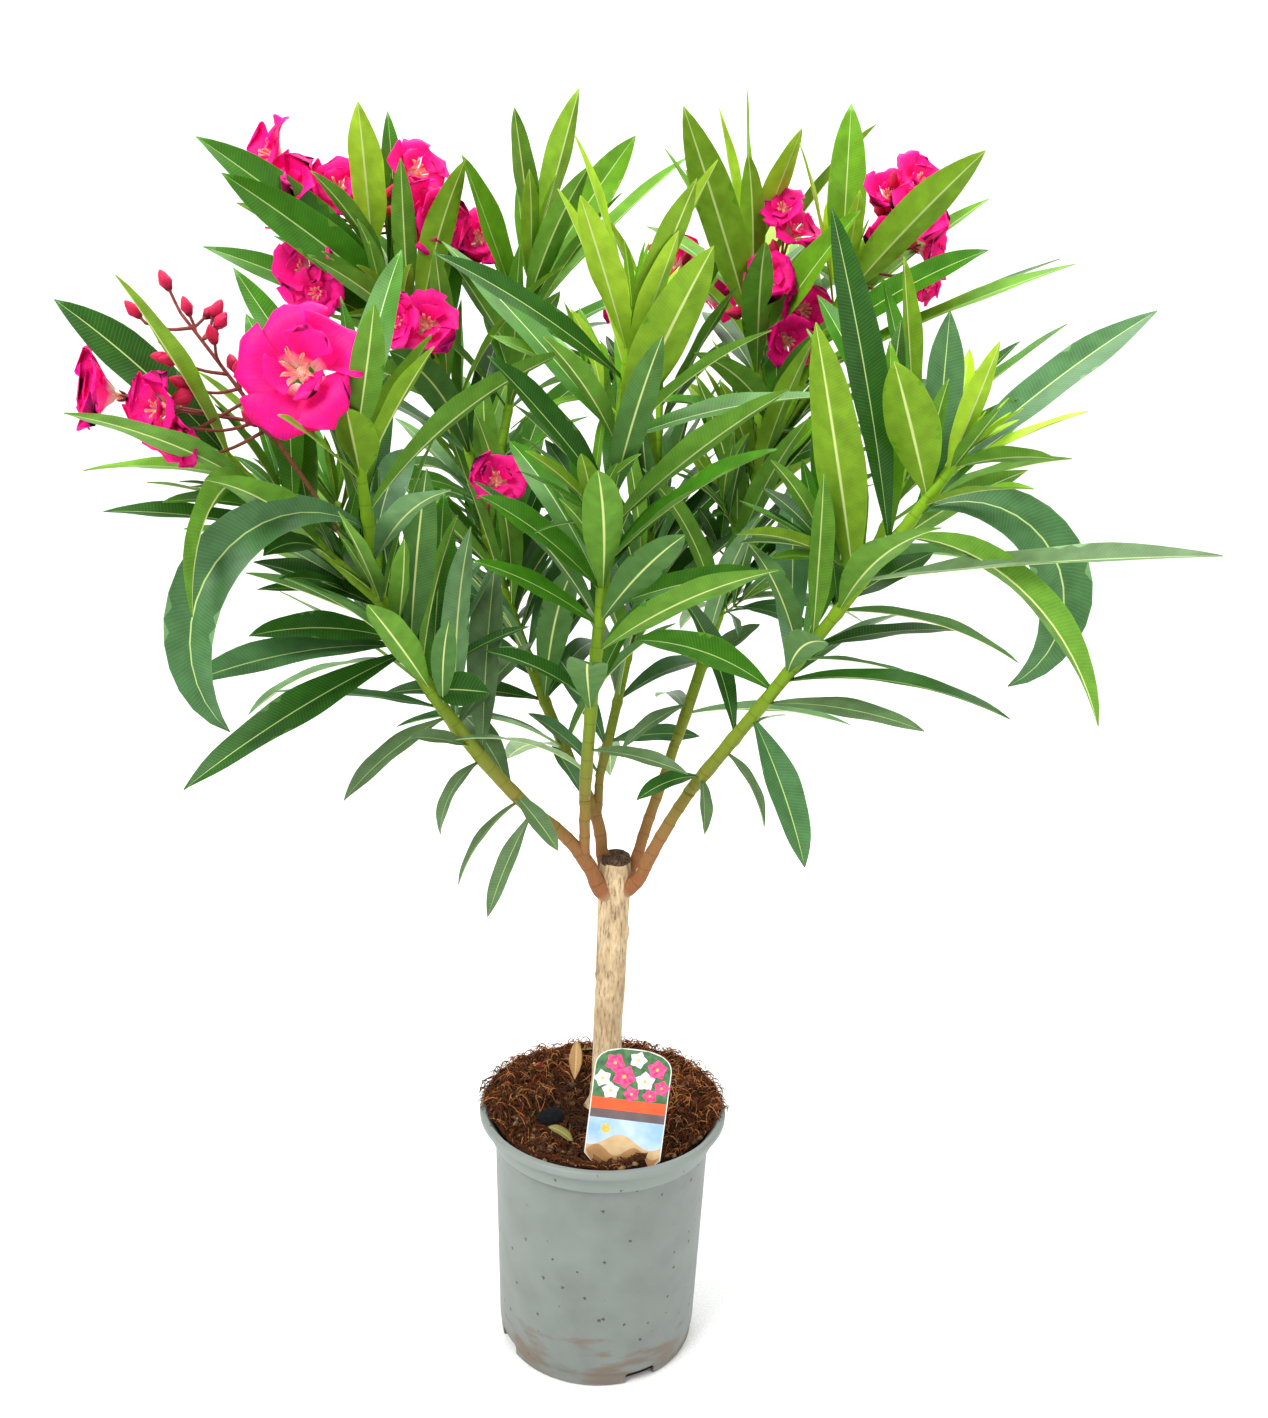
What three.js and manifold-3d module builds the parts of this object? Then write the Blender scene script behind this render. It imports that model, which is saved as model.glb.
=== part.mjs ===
// Potted oleander trained as a small standard: one short trunk in a nursery pot, a fork at
// 0.4 m, leafy shoots above it and pink blossom at their tips.
// Millimetres, +Z up. The origin is the middle of the pot's flat underside, and -Y is the front.
// A heading is in degrees, seen from above, from +X towards +Y. A lean is measured from upright
// and a rise from level.

import * as THREE from "three";
import { mergeVertices } from "three/addons/utils/BufferGeometryUtils.js";
import Module from "manifold-3d";

const wasm = await Module();
wasm.setup();

// Pot: 20 cm across the lip.
const GAP = 0.3;
const SEAT_GAP = 0.35;
const SLOT_GAP = 0.55;
const POT_SIDES = 30;
const POT_HEIGHT = 204;
const LIP_RADIUS = 100;
const LIP_HEIGHT = 7;
const COLLAR_HEIGHT = 24;
const COLLAR_RADIUS = 91;
const WALL_TOP_RADIUS = 87;
const FOOT_RADIUS = 80;
const FOOT_HEIGHT = 11;
const POT_WALL = 2.2;
const FLOOR = 3;
const NOTCH_COUNT = 4;
const NOTCH_HEADING = 208;
const NOTCH_WIDTH = 26;
const NOTCH_HEIGHT = 9;
const NOTCH_DEPTH = 10;

// Soil: level at the trunk, heaped towards the lip at the back and sides.
const SOIL_LEVEL = 199;
const SOIL_SIDES = 24;
const SOIL_ROOM = 1;
const SOIL_SEAT_RADIUS = 22;
const SOIL_RINGS = [22, 40, 58, 74, 86];
const SOIL_HEAP = 10;
const SOIL_HEAP_END = 0.72;
const SOIL_WAVES = [{ count: 3, pitch: 0.21, height: 1.8 }, { count: 7, pitch: -0.33, height: 1.2 }];
const SOIL_BACK = 90;
const SOIL_COVER_END = 122;
const SOIL_COVER_BLEND = 30;
const SOIL_EDGE_LOW = [87.9, 0, 197.2];
const SOIL_EDGE_HIGH = [94, 0, 205];
const SOIL_EDGE_IN = 0.3;
const SOIL_EDGE_UP = 0.5;
const SOIL_LAP_FROM = 0.85;
const SOIL_LAP = 3;

// Plant label: an arched card on a spike, leaning back in front of the trunk.
const LABEL_WIDTH = 58;
const LABEL_HEIGHT = 96;
const LABEL_THICKNESS = 0.8;
const LABEL_ARCH = 16;
const LABEL_CHAMFER = 11;
const SPIKE_WIDTH = 13;
const SPIKE_LENGTH = 20;
const SPIKE_SHOULDER = 0.6;
const LABEL_BASE = [16, -79.5, 194.5];
const LABEL_LEAN = 7;
const LABEL_TILT = 5;

// Trunk: flat cut at the soil, root flare, slight lean, cut stub above the fork.
const TRUNK_BASE = [1, 0, SOIL_LEVEL + GAP];
const TRUNK_TOP = [4, 1, 418];
const TRUNK_SIDES = 12;
const FLARE_RADIUS = 15.5;
const NECK_RADIUS = 12.6;
const TRUNK_RADIUS = 11.8;
const FORK_RADIUS = 13;
const STUB_RADIUS = 11;
const TRUNK_RINGS = [
  [0, FLARE_RADIUS], [0.05, NECK_RADIUS], [0.14, TRUNK_RADIUS], [0.5, TRUNK_RADIUS],
  [0.78, FORK_RADIUS - 0.4], [0.88, FORK_RADIUS], [0.94, FORK_RADIUS - 0.6], [1, STUB_RADIUS],
];

// Boughs: bare tapering limbs that end where the leaves begin. One that leaves the trunk is rooted
// on the trunk's axis at the height in `root`.
const BOUGHS = {
  bough_left: {
    start: [-2, -4, 380], root: 384, heading: 206, turn: -2, lean: 20, endLean: 55,
    length: 104, radius: 7, tip: 5.4,
  },
  bough_centre: {
    start: [-20, -13, 418], heading: 267, turn: 0, lean: 14, endLean: 13, length: 54,
    radius: 5, tip: 4.8,
  },
  bough_back_left: {
    start: [-5, 5, 402], root: 396, heading: 115, turn: 26, lean: 8, endLean: 49,
    length: 80, radius: 5.8, tip: 4.9,
  },
  bough_back: {
    start: [-12, 17, 446], heading: 88, turn: 0, lean: 38, endLean: 38, length: 32,
    radius: 4.4, tip: 4.2,
  },
  bough_back_right: {
    start: [13, 4, 392], root: 386, heading: 62, turn: -12, lean: 36, endLean: 28,
    length: 122, radius: 5.4, tip: 4.8,
  },
  bough_right: {
    start: [15, -2, 384], root: 387, heading: 326, turn: 9, lean: 24, endLean: 30,
    length: 108, radius: 6, tip: 5.4,
  },
};

// Leafy shoots. Each one goes on from a bough's tip or forks from the shoot in `from`, at the
// share `at` of its length. A mass of leaves is all that grows on from one bough.
const SHOOTS = {
  left: {
    mass: "foliage_left", from: "bough_left", at: 1, heading: 206, turn: -1, lean: 45,
    endLean: 24, length: 204, radius: 5.2, tip: 4.8, spacing: 34, first: 20,
  },
  left_tip: {
    mass: "foliage_left", from: "left", at: 1, heading: 262, turn: -10, lean: 17,
    endLean: 17, length: 112, radius: 4.6, tip: 3.4, spacing: 34, first: 50,
  },
  left_side: {
    mass: "foliage_left", from: "left", at: 0.97, heading: 193, turn: -7, lean: 48,
    endLean: 43, length: 140, radius: 4, tip: 2.8, spacing: 36, first: 10,
  },
  left_rear: {
    mass: "foliage_left", from: "left", at: 0.62, heading: 155, turn: -10, lean: 46,
    endLean: 22, length: 150, radius: 4.2, tip: 3, spacing: 40, first: 80,
  },
  centre: {
    mass: "foliage_centre", from: "bough_centre", at: 1, heading: 279, turn: 32, lean: 14,
    endLean: 7, length: 352, radius: 4.7, tip: 3.8, spacing: 46, first: 35,
  },
  back_left: {
    mass: "foliage_back_left", from: "bough_back_left", at: 1, heading: 132, turn: 9,
    lean: 41, endLean: 24, length: 213, radius: 4.7, tip: 4.3, spacing: 41, first: 0,
  },
  outer: {
    mass: "foliage_back_left", from: "back_left", at: 1, heading: 143, turn: 44, lean: 12,
    endLean: 37, length: 236, radius: 4, tip: 3.2, spacing: 38, first: 15,
  },
  inner: {
    mass: "foliage_back_left", from: "back_left", at: 0.98, heading: 83, turn: -36, lean: 27,
    endLean: 10, length: 250, radius: 4.2, tip: 3, spacing: 43, first: 70,
  },
  rear_left: {
    mass: "foliage_back_left", from: "back_left", at: 0.55, heading: 118, turn: 12, lean: 52,
    endLean: 24, length: 190, radius: 4, tip: 2.8, spacing: 42, first: 40,
  },
  back: {
    mass: "foliage_back", from: "bough_back", at: 1, heading: 75, turn: -4, lean: 44,
    endLean: 20, length: 246, radius: 4.1, tip: 3.7, spacing: 40, first: 25,
  },
  back_tip: {
    mass: "foliage_back", from: "back", at: 1, heading: 80, turn: 30, lean: 14, endLean: 8,
    length: 130, radius: 3.5, tip: 2.8, spacing: 36, first: 5,
  },
  back_right: {
    mass: "foliage_back_right", from: "bough_back_right", at: 1, heading: 50, turn: -5,
    lean: 28, endLean: 17, length: 244, radius: 4.7, tip: 4.3, spacing: 40, first: 30,
  },
  upright: {
    mass: "foliage_back_right", from: "back_right", at: 1, heading: 116, turn: 10, lean: 15,
    endLean: 11, length: 165, radius: 4.2, tip: 3, spacing: 38, first: 55,
  },
  leaning: {
    mass: "foliage_back_right", from: "back_right", at: 0.99, heading: 342, turn: 4, lean: 27,
    endLean: 19, length: 155, radius: 4.2, tip: 3, spacing: 36, first: 0,
  },
  rear_right: {
    mass: "foliage_back_right", from: "back_right", at: 0.4, heading: 72, turn: -12, lean: 50,
    endLean: 20, length: 200, radius: 4, tip: 2.8, spacing: 42, first: 20,
  },
  right: {
    mass: "foliage_right", from: "bough_right", at: 1, heading: 335, turn: 9, lean: 36,
    endLean: 33, length: 312, radius: 5.3, tip: 3.8, spacing: 31, first: 45,
  },
  right_rear: {
    mass: "foliage_right", from: "right", at: 0.5, heading: 38, turn: 8, lean: 48,
    endLean: 20, length: 170, radius: 4, tip: 2.8, spacing: 36, first: 10,
  },
};

// Leaves that stand out. Each row: share of the shoot's length, then the leaf's heading, rise,
// droop from root to tip, length, width and roll about its own midrib. A positive roll lifts the
// right edge, as seen from the root.
const MARKED_LEAVES = {
  left: [
    [0.8, 220, 9, 25, 160, 28, 30],
    [0.78, 217, -18, 15, 175, 32, 30],
    [0.82, 218, 22, 30, 110, 28, 35],
    [0.5, 211, -19, 30, 95, 20, 20],
    [0.29, 219, -20, 70, 66, 16, 5],
    [0.62, 355, 5, 10, 42, 26, -70],
    [0.94, 164, 22, 15, 105, 26, 25],
    [0.07, 214, -26, 45, 79, 13, 0],
    [0, 229, -48, 20, 85, 16, 10],
    [0.12, 337, -38, 15, 56, 17, -25],
    [0.35, 225, 24, 15, 64, 15, 35],
    [0.97, 139, 30, 20, 95, 24, 10],
    [0.45, 52, 43, 20, 95, 24, -5],
  ],
  left_tip: [
    [0.41, 249, 17, 105, 212, 36, 0],
    [0.74, 267, 55, 0, 55, 32, 10],
  ],
  left_side: [
    [0.77, 239, 29, 20, 150, 28, -20],
    [0.83, 167, 10, 20, 125, 20, 25],
    [0.77, 263, 27, 120, 150, 26, -85],
    [0.39, 242, 38, 30, 125, 30, -25],
    [0.29, 248, 39, 60, 80, 22, 25],
  ],
  centre: [
    [0.76, 305, 57, 10, 152, 35, 15],
    [0.93, 250, 47, 5, 120, 26, 15],
    [0.94, 293, 47, 5, 130, 24, -15],
    [0.88, 221, 32, 15, 160, 24, 60],
    [0.77, 162, 49, 10, 180, 28, 25],
    [0.65, 224, 46, 10, 140, 28, 70],
    [0.47, 217, 45, 20, 120, 26, 55],
    [0.4, 213, 37, 20, 110, 22, 45],
    [0.77, 6, 23, 20, 150, 26, -30],
    [0.43, 13, 24, 25, 130, 22, -35],
    [0.6, 354, 47, 15, 151, 26, 40],
    [0.23, 182, 40, 30, 86, 20, 20],
    [0.12, 327, 9, 20, 86, 16, -20],
    [0, 122, 38, 20, 60, 16, -10],
    [0.24, 56, 56, 20, 90, 22, 10],
  ],
  outer: [
    [0.87, 207, 37, 8, 180, 36, 80],
    [0.77, 206, 36, 10, 175, 36, 90],
    [0.65, 185, 30, 15, 190, 28, 50],
    [1, 274, 56, 5, 125, 32, 25],
  ],
  inner: [
    [0.73, 244, 55, 5, 150, 32, 90],
    [0.96, 262, 56, 5, 125, 24, 30],
    [0.98, 46, 71, 0, 140, 28, 90],
    [0.83, 27, 61, 5, 165, 32, -60],
    [0.73, 16, 52, 12, 200, 24, -25],
  ],
  back: [
    [0, 213, 46, 20, 90, 18, 45],
    [0.12, 19, 13, 25, 80, 20, -25],
  ],
  back_right: [
    [0.13, 224, -4, 30, 78, 16, 10],
    [0.23, 47, 34, 20, 85, 20, -10],
  ],
  upright: [
    [0.59, 244, 50, 5, 200, 34, -15],
    [0.93, 99, 75, 0, 145, 24, -90],
    [0.93, 292, 52, 5, 120, 24, -10],
    [0.48, 318, 52, 15, 150, 32, -90],
  ],
  leaning: [
    [0.88, 84, 77, 5, 155, 32, -20],
    [0.84, 304, 39, 8, 170, 34, 30],
    [0.73, 13, 44, 10, 165, 22, -15],
    [0.62, 315, 35, 20, 160, 28, -70],
    [0.46, 327, 27, 10, 220, 24, -35],
    [0.41, 350, 34, 12, 215, 22, -20],
  ],
  right: [
    [0.05, 217, 12, 40, 62, 16, 20],
    [0.05, 275, -30, 45, 46, 14, 35],
    [0.63, 235, 67, 5, 190, 35, -15],
    [0.75, 200, 78, 8, 220, 30, 80],
    [0.88, 225, 62, 5, 100, 36, -20],
    [0.9, 77, 78, 5, 120, 30, -30],
    [0.96, 15, 43, 12, 175, 30, -35],
    [0.96, 307, 18, 20, 80, 18, 30],
    [0.95, 294, 43, 0, 62, 16, -5],
    [0.84, 283, 54, 170, 228, 38, -5],
    [0.78, 312, 6, 75, 200, 28, 65],
    [0.66, 315, 17, 6, 240, 28, -15],
    [0.6, 29, 28, 10, 80, 24, -20],
    [0.46, 14, 16, 20, 115, 20, -20],
    [0.36, 330, 17, 35, 165, 24, -15],
    [0.29, 331, 12, 25, 120, 22, -20],
    [0.25, 305, -45, 20, 115, 28, -15],
    [0.33, 177, 38, 40, 108, 30, 40],
    [0.14, 326, -32, 45, 65, 14, -5],
  ],
};

// Blossom. Each cluster has a stalk that leaves its shoot at `at`, and its blooms. A bloom's row:
// share of the stalk, heading and rise and length of its own stalk, petal radius, then the
// heading and rise that the bloom faces.
const CLUSTERS = {
  left_front: {
    from: "left", at: 1, heading: 212, turn: -31, lean: 30, endLean: 38, length: 214,
    radius: 2.1, buds: 6, blooms: [
      [0.62, 316, 37, 55, 37, 268, 12],
      [0.62, 186, 9, 100, 26, 215, 10],
      [0.62, 199, 7, 64, 24, 235, 5],
      [0.7, 214, -29, 48, 17, 240, -20],
    ],
  },
  left_back: {
    from: "outer", at: 0.95, heading: 175, turn: 0, lean: 30, endLean: 10, length: 60,
    radius: 2, buds: 3, blooms: [
      [0.6, 206, 22, 62, 25, 250, 25],
      [0.8, 190, 30, 78, 27, 215, 30],
      [0.2, 213, -14, 60, 26, 255, 0],
      [0.8, 60, 25, 44, 25, 290, 30],
      [0.5, 352, 12, 52, 26, 300, 10],
    ],
  },
  left_low: {
    from: "outer", at: 0.62, heading: 265, turn: 0, lean: 60, endLean: 60, length: 30,
    radius: 1.8, buds: 0, blooms: [
      [0.9, 280, 30, 22, 24, 275, 20],
    ],
  },
  middle_low: {
    from: "back_left", at: 0.95, heading: 270, turn: 0, lean: 30, endLean: 20, length: 62,
    radius: 1.8, buds: 0, blooms: [
      [0.95, 300, 10, 20, 21, 280, 25],
    ],
  },
  right_high: {
    from: "leaning", at: 0.96, heading: 345, turn: 0, lean: 38, endLean: 20, length: 62,
    radius: 2, buds: 3, blooms: [
      [0.85, 5, 50, 36, 26, 300, 35],
      [0.7, 320, 20, 34, 26, 285, 15],
      [0.4, 340, 5, 46, 19, 330, -10],
      [0.2, 334, -12, 58, 15, 320, -25],
    ],
  },
  right_mid: {
    from: "upright", at: 0.6, heading: 310, turn: 0, lean: 42, endLean: 20, length: 52,
    radius: 2, buds: 3, blooms: [
      [0.9, 320, 70, 40, 24, 300, 40],
      [0.8, 250, 15, 26, 22, 270, 15],
      [0.5, 330, -5, 30, 23, 290, 5],
      [0.2, 300, -20, 42, 22, 280, -10],
    ],
  },
  rear: {
    from: "back_tip", at: 0.9, heading: 60, turn: 0, lean: 25, endLean: 15, length: 70,
    radius: 2, buds: 3, blooms: [
      [0.9, 90, 40, 34, 25, 85, 30],
      [0.7, 20, 20, 38, 24, 30, 20],
      [0.6, 150, 15, 40, 25, 140, 10],
    ],
  },
};

// Leaf form.
const LEAF_LENGTH = 154;
const LEAF_SLENDER = 0.205;
const LEAF_THICKNESS = 0.013;
const OUTLINE = [
  [0, 0.13], [0.08, 0.17], [0.25, 0.68], [0.4, 0.94], [0.52, 1], [0.65, 0.92], [0.8, 0.62],
  [0.92, 0.27], [1, 0],
];
const LEAF_STEPS = 12;
const LONG_LEAF = 140;
const CURLED = 70;
const KEEL_SPREAD = Math.sin(Math.PI / 3);
const ROOT_THICKNESS = 1.5;
const WHORL = 3;
const WHORL_TURN = 60;
const FIRST_NODE = 24;
const LAST_NODE = 7;
const SPREAD = [78, 30];
const DROOP = [46, 6];
const JITTER = {
  turn: 14, spread: 12, droop: 12, sweep: 12, roll: 40, length: 0.16, width: 0.12,
};
const GROWN = { least: 0.6, from: 0.1, to: 0.85 };
const ARCH_RISE = 0.35;
const NODE_PITCH = [1.1, 0.72];
const MARKED_REACH = 0.6;
const MARKED_TURN = 55;

// Room that a leaf keeps from its neighbours.
const CLEAR_OTHER = 4.8;
const CLEAR_OWN = 1.2;
const CLEAR_LIMB = 2.6;
const CLEAR_OWN_LIMB = 0.5;
const ROOT_SHARE = 0.12;
const OWN_SHARE = 0.16;
const OWN_ROOT = 15;
const CELLS = 6;
const SHIFTS = [
  [0, 0], [12, 0], [-12, 0], [0, 12], [0, -12], [24, 4], [-24, 4], [12, 16], [-12, 16],
  [36, 0], [-36, 0], [24, -16], [-24, -16],
];
const MARKED_SHIFT = 0.3;
const LOWEST_LEAF = 372;
const SEED = 20117;

// Facets of the limbs.
const BOUGH_STEPS = 6;
const BOUGH_SIDES = 8;
const STEM_STEPS = 6;
const STALK_STEPS = 4;
const STEM_SIDES = 5;

// Blossom form.
const PETALS = 5;
const CALYX_RADIUS = 2.6;
const BLOOM_THROAT = 0.3;
const BLOOM_TUBE = 0.62;
const BLOOM_CORE = 0.6;
const BUD_SIDES = 4;
const BUD_LENGTH = 15;
const BUD_RADIUS = 3.2;
const BUD_SHOULDER = 0.4;
const BUDS_FROM = 0.45;
const BUD_RISE = [15, 65];
const BUD_STALK = [24, 15];
const GOLDEN_TURN = 137.5;
const PEDICEL_RADIUS = 1.1;

// Vectors as plain triples.
const add = (a, b) => [a[0] + b[0], a[1] + b[1], a[2] + b[2]];
const sub = (a, b) => [a[0] - b[0], a[1] - b[1], a[2] - b[2]];
const scale = (a, k) => [a[0] * k, a[1] * k, a[2] * k];
const dot = (a, b) => a[0] * b[0] + a[1] * b[1] + a[2] * b[2];
const cross = (a, b) => [
  a[1] * b[2] - a[2] * b[1],
  a[2] * b[0] - a[0] * b[2],
  a[0] * b[1] - a[1] * b[0],
];
const size = (a) => Math.sqrt(dot(a, a));
const unit = (a) => scale(a, 1 / size(a));
const mix = (a, b, t) => a + (b - a) * t;
const mixPoint = (a, b, t) => add(a, scale(sub(b, a), t));
const radians = (degrees) => (degrees * Math.PI) / 180;
const degrees = (angle) => (angle * 180) / Math.PI;

function direction(heading, rise) {
  const h = radians(heading);
  const e = radians(rise);
  return [Math.cos(e) * Math.cos(h), Math.cos(e) * Math.sin(h), Math.sin(e)];
}

function makeRandom(seed) {
  let state = seed;
  return () => {
    state = (state * 16807) % 2147483647;
    return state / 2147483647;
  };
}

// Paths of limbs.
const PATH_STEPS = 10;

function limbPath(limb) {
  const points = [limb.start];
  const step = limb.length / PATH_STEPS;
  for (let i = 0; i < PATH_STEPS; i += 1) {
    const t = (i + 0.5) / PATH_STEPS;
    const lean = mix(limb.lean, limb.endLean, t);
    const heading = limb.heading + limb.turn * t;
    points.push(add(points[i], scale(direction(heading, 90 - lean), step)));
  }
  return points;
}

function pathPoint(path, share) {
  const place = Math.min(Math.max(share, 0), 1) * (path.length - 1);
  const index = Math.min(Math.floor(place), path.length - 2);
  return mixPoint(path[index], path[index + 1], place - index);
}

function pathTangent(path, share) {
  const index = Math.min(Math.floor(share * (path.length - 1)), path.length - 2);
  return unit(sub(path[index + 1], path[index]));
}

const AXIS_Y = [0, 1, 0];
const UP = [0, 0, 1];

function limbFrame(position, tangent) {
  const side = unit(cross(AXIS_Y, tangent));
  return { position, tangent, side, normal: cross(side, tangent) };
}

// Leaf geometry: a centre line that bends down along its length.
function leafDirection(leaf, share) {
  return direction(leaf.heading + leaf.sweep * share, leaf.rise - leaf.droop * share);
}

function leafWidth(share) {
  for (let i = 1; i < OUTLINE.length; i += 1) {
    if (share <= OUTLINE[i][0]) {
      const span = OUTLINE[i][0] - OUTLINE[i - 1][0];
      return mix(OUTLINE[i - 1][1], OUTLINE[i][1], (share - OUTLINE[i - 1][0]) / span);
    }
  }
  return 0;
}

function leafFrame(leaf, share, position) {
  const tangent = leafDirection(leaf, share);
  const h = radians(leaf.heading + leaf.sweep * share);
  const level = [Math.sin(h), -Math.cos(h), 0];
  const over = cross(level, tangent);
  const roll = radians(leaf.roll);
  const side = add(scale(level, Math.cos(roll)), scale(over, Math.sin(roll)));
  return {
    position,
    tangent,
    side,
    normal: cross(side, tangent),
    half: (leaf.width / 2) * leafWidth(share),
  };
}

function leafFrames(leaf) {
  const frames = [];
  let position = leaf.base;
  for (let i = 0; i <= LEAF_STEPS; i += 1) {
    frames.push(leafFrame(leaf, i / LEAF_STEPS, position));
    const middle = (i + 0.5) / LEAF_STEPS;
    position = add(position, scale(leafDirection(leaf, middle), leaf.length / LEAF_STEPS));
  }
  return frames;
}

// A leaf's place in the crown: sample points on it, flat cells that cover it and a ball round it.
function leafPlace(leaf) {
  const frames = leafFrames(leaf);
  const samples = [];
  frames.forEach((frame, i) => {
    const share = i / LEAF_STEPS;
    [-1, 0, 1].forEach((edge) => {
      samples.push({ share, point: add(frame.position, scale(frame.side, edge * frame.half)) });
    });
  });
  const cells = [];
  const stride = LEAF_STEPS / CELLS;
  for (let i = 0; i < CELLS; i += 1) {
    const a = frames[i * stride];
    const b = frames[(i + 1) * stride];
    const middle = frames[i * stride + stride / 2];
    cells.push({
      centre: scale(add(a.position, b.position), 0.5),
      tangent: unit(sub(b.position, a.position)),
      side: middle.side,
      normal: cross(middle.side, middle.tangent),
      along: size(sub(b.position, a.position)) / 2,
      across: middle.half,
      share: (i + 0.5) / CELLS,
    });
  }
  const centre = frames[LEAF_STEPS / 2].position;
  const reach = Math.max(...samples.map((sample) => size(sub(sample.point, centre))));
  return { samples, cells, centre, reach };
}

function cellDistance(point, cell) {
  const offset = sub(point, cell.centre);
  const along = Math.max(Math.abs(dot(offset, cell.tangent)) - cell.along, 0);
  const across = Math.max(Math.abs(dot(offset, cell.side)) - cell.across, 0);
  const away = dot(offset, cell.normal);
  return Math.sqrt(along * along + across * across + away * away);
}

function samplesMeetCells(place, other, from, room) {
  return place.samples.some(
    (sample) =>
      sample.share >= from &&
      other.cells.some((cell) => cell.share >= from && cellDistance(sample.point, cell) < room),
  );
}

function leavesMeet(leaf, other) {
  const own = leaf.mass === other.mass;
  if (own && leaf.node === other.node) {
    return false;
  }
  const room = own ? CLEAR_OWN : CLEAR_OTHER;
  const from = own ? OWN_SHARE : 0;
  const apart = size(sub(leaf.place.centre, other.place.centre));
  if (apart > leaf.place.reach + other.place.reach + room) {
    return false;
  }
  return (
    samplesMeetCells(leaf.place, other.place, from, room) ||
    samplesMeetCells(other.place, leaf.place, from, room)
  );
}

function segmentDistance(point, start, end) {
  const span = sub(end, start);
  const along = dot(sub(point, start), span) / dot(span, span);
  return size(sub(point, mixPoint(start, end, Math.min(Math.max(along, 0), 1))));
}

function leafMeetsLimb(leaf, limb) {
  const own = leaf.mass === limb.mass;
  const room = own ? CLEAR_OWN_LIMB : CLEAR_LIMB;
  const from = own ? Math.max(OWN_SHARE, OWN_ROOT / leaf.length) : ROOT_SHARE;
  const { path, radius } = limb;
  return leaf.place.samples.some((sample) => {
    if (sample.share < from) {
      return false;
    }
    for (let i = 1; i < path.length; i += 1) {
      if (segmentDistance(sample.point, path[i - 1], path[i]) < radius + room) {
        return true;
      }
    }
    return false;
  });
}

function leafMeetsBloom(leaf, bloom) {
  const own = leaf.mass === bloom.mass;
  const reach = bloom.radius * (own ? BLOOM_CORE : 1) + (own ? 0 : CLEAR_OTHER);
  return leaf.place.samples.some((sample) => size(sub(sample.point, bloom.centre)) < reach);
}

// The skeleton: trunk, boughs, shoots and flower stalks, each with its path.
function trunkPath() {
  const points = [];
  for (let i = 0; i <= PATH_STEPS; i += 1) {
    points.push(mixPoint(TRUNK_BASE, TRUNK_TOP, i / PATH_STEPS));
  }
  return points;
}

function growSkeleton() {
  const limbs = {};
  limbs.trunk = { name: "trunk", mass: "trunk", radius: TRUNK_RADIUS, path: trunkPath() };
  Object.entries(BOUGHS).forEach(([name, bough]) => {
    limbs[name] = { ...bough, name, mass: name, path: limbPath(bough) };
  });
  Object.entries(SHOOTS).forEach(([name, shoot]) => {
    const parent = limbs[shoot.from];
    const fork = parent.mass === shoot.mass;
    const tangent = direction(shoot.heading, 90 - shoot.lean);
    const meet = pathPoint(parent.path, shoot.at);
    const start = fork ? meet : add(meet, scale(tangent, GAP));
    limbs[name] = { ...shoot, name, path: limbPath({ ...shoot, start }) };
  });
  return limbs;
}

function growClusters(limbs) {
  const blooms = [];
  const stalks = [];
  Object.entries(CLUSTERS).forEach(([name, cluster]) => {
    const parent = limbs[cluster.from];
    const start = pathPoint(parent.path, cluster.at);
    const path = limbPath({ ...cluster, start });
    const mass = parent.mass;
    stalks.push({ name, mass, path, radius: cluster.radius, tip: PEDICEL_RADIUS });
    cluster.blooms.forEach(([along, heading, rise, reach, radius, faceHeading, faceRise]) => {
      const foot = pathPoint(path, along);
      const centre = add(foot, scale(direction(heading, rise), reach));
      const facing = direction(faceHeading, faceRise);
      blooms.push({ mass, foot, centre, radius, facing });
    });
    growBuds(cluster, path).forEach((bud) => stalks.push({ ...bud, mass, bud: true }));
  });
  return { blooms, stalks };
}

function growBuds(cluster, path) {
  const buds = [];
  for (let i = 0; i < cluster.buds; i += 1) {
    const share = mix(BUDS_FROM, 1, (i + 1) / cluster.buds);
    const foot = pathPoint(path, share);
    const heading = cluster.heading + GOLDEN_TURN * i;
    const toward = direction(heading, mix(BUD_RISE[0], BUD_RISE[1], share));
    const reach = mix(BUD_STALK[0], BUD_STALK[1], share);
    buds.push({ path: [foot, add(foot, scale(toward, reach))], toward });
  }
  return buds;
}

// Shoots in full leaf: whorls of three, each turned against the one below.
function shootNodes(shoot) {
  const nodes = [];
  const end = shoot.length - LAST_NODE;
  let along = FIRST_NODE;
  while (along < end - shoot.spacing / 2) {
    nodes.push(along / shoot.length);
    along += shoot.spacing * mix(NODE_PITCH[0], NODE_PITCH[1], along / shoot.length);
  }
  nodes.push(end / shoot.length);
  return nodes;
}

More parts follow.
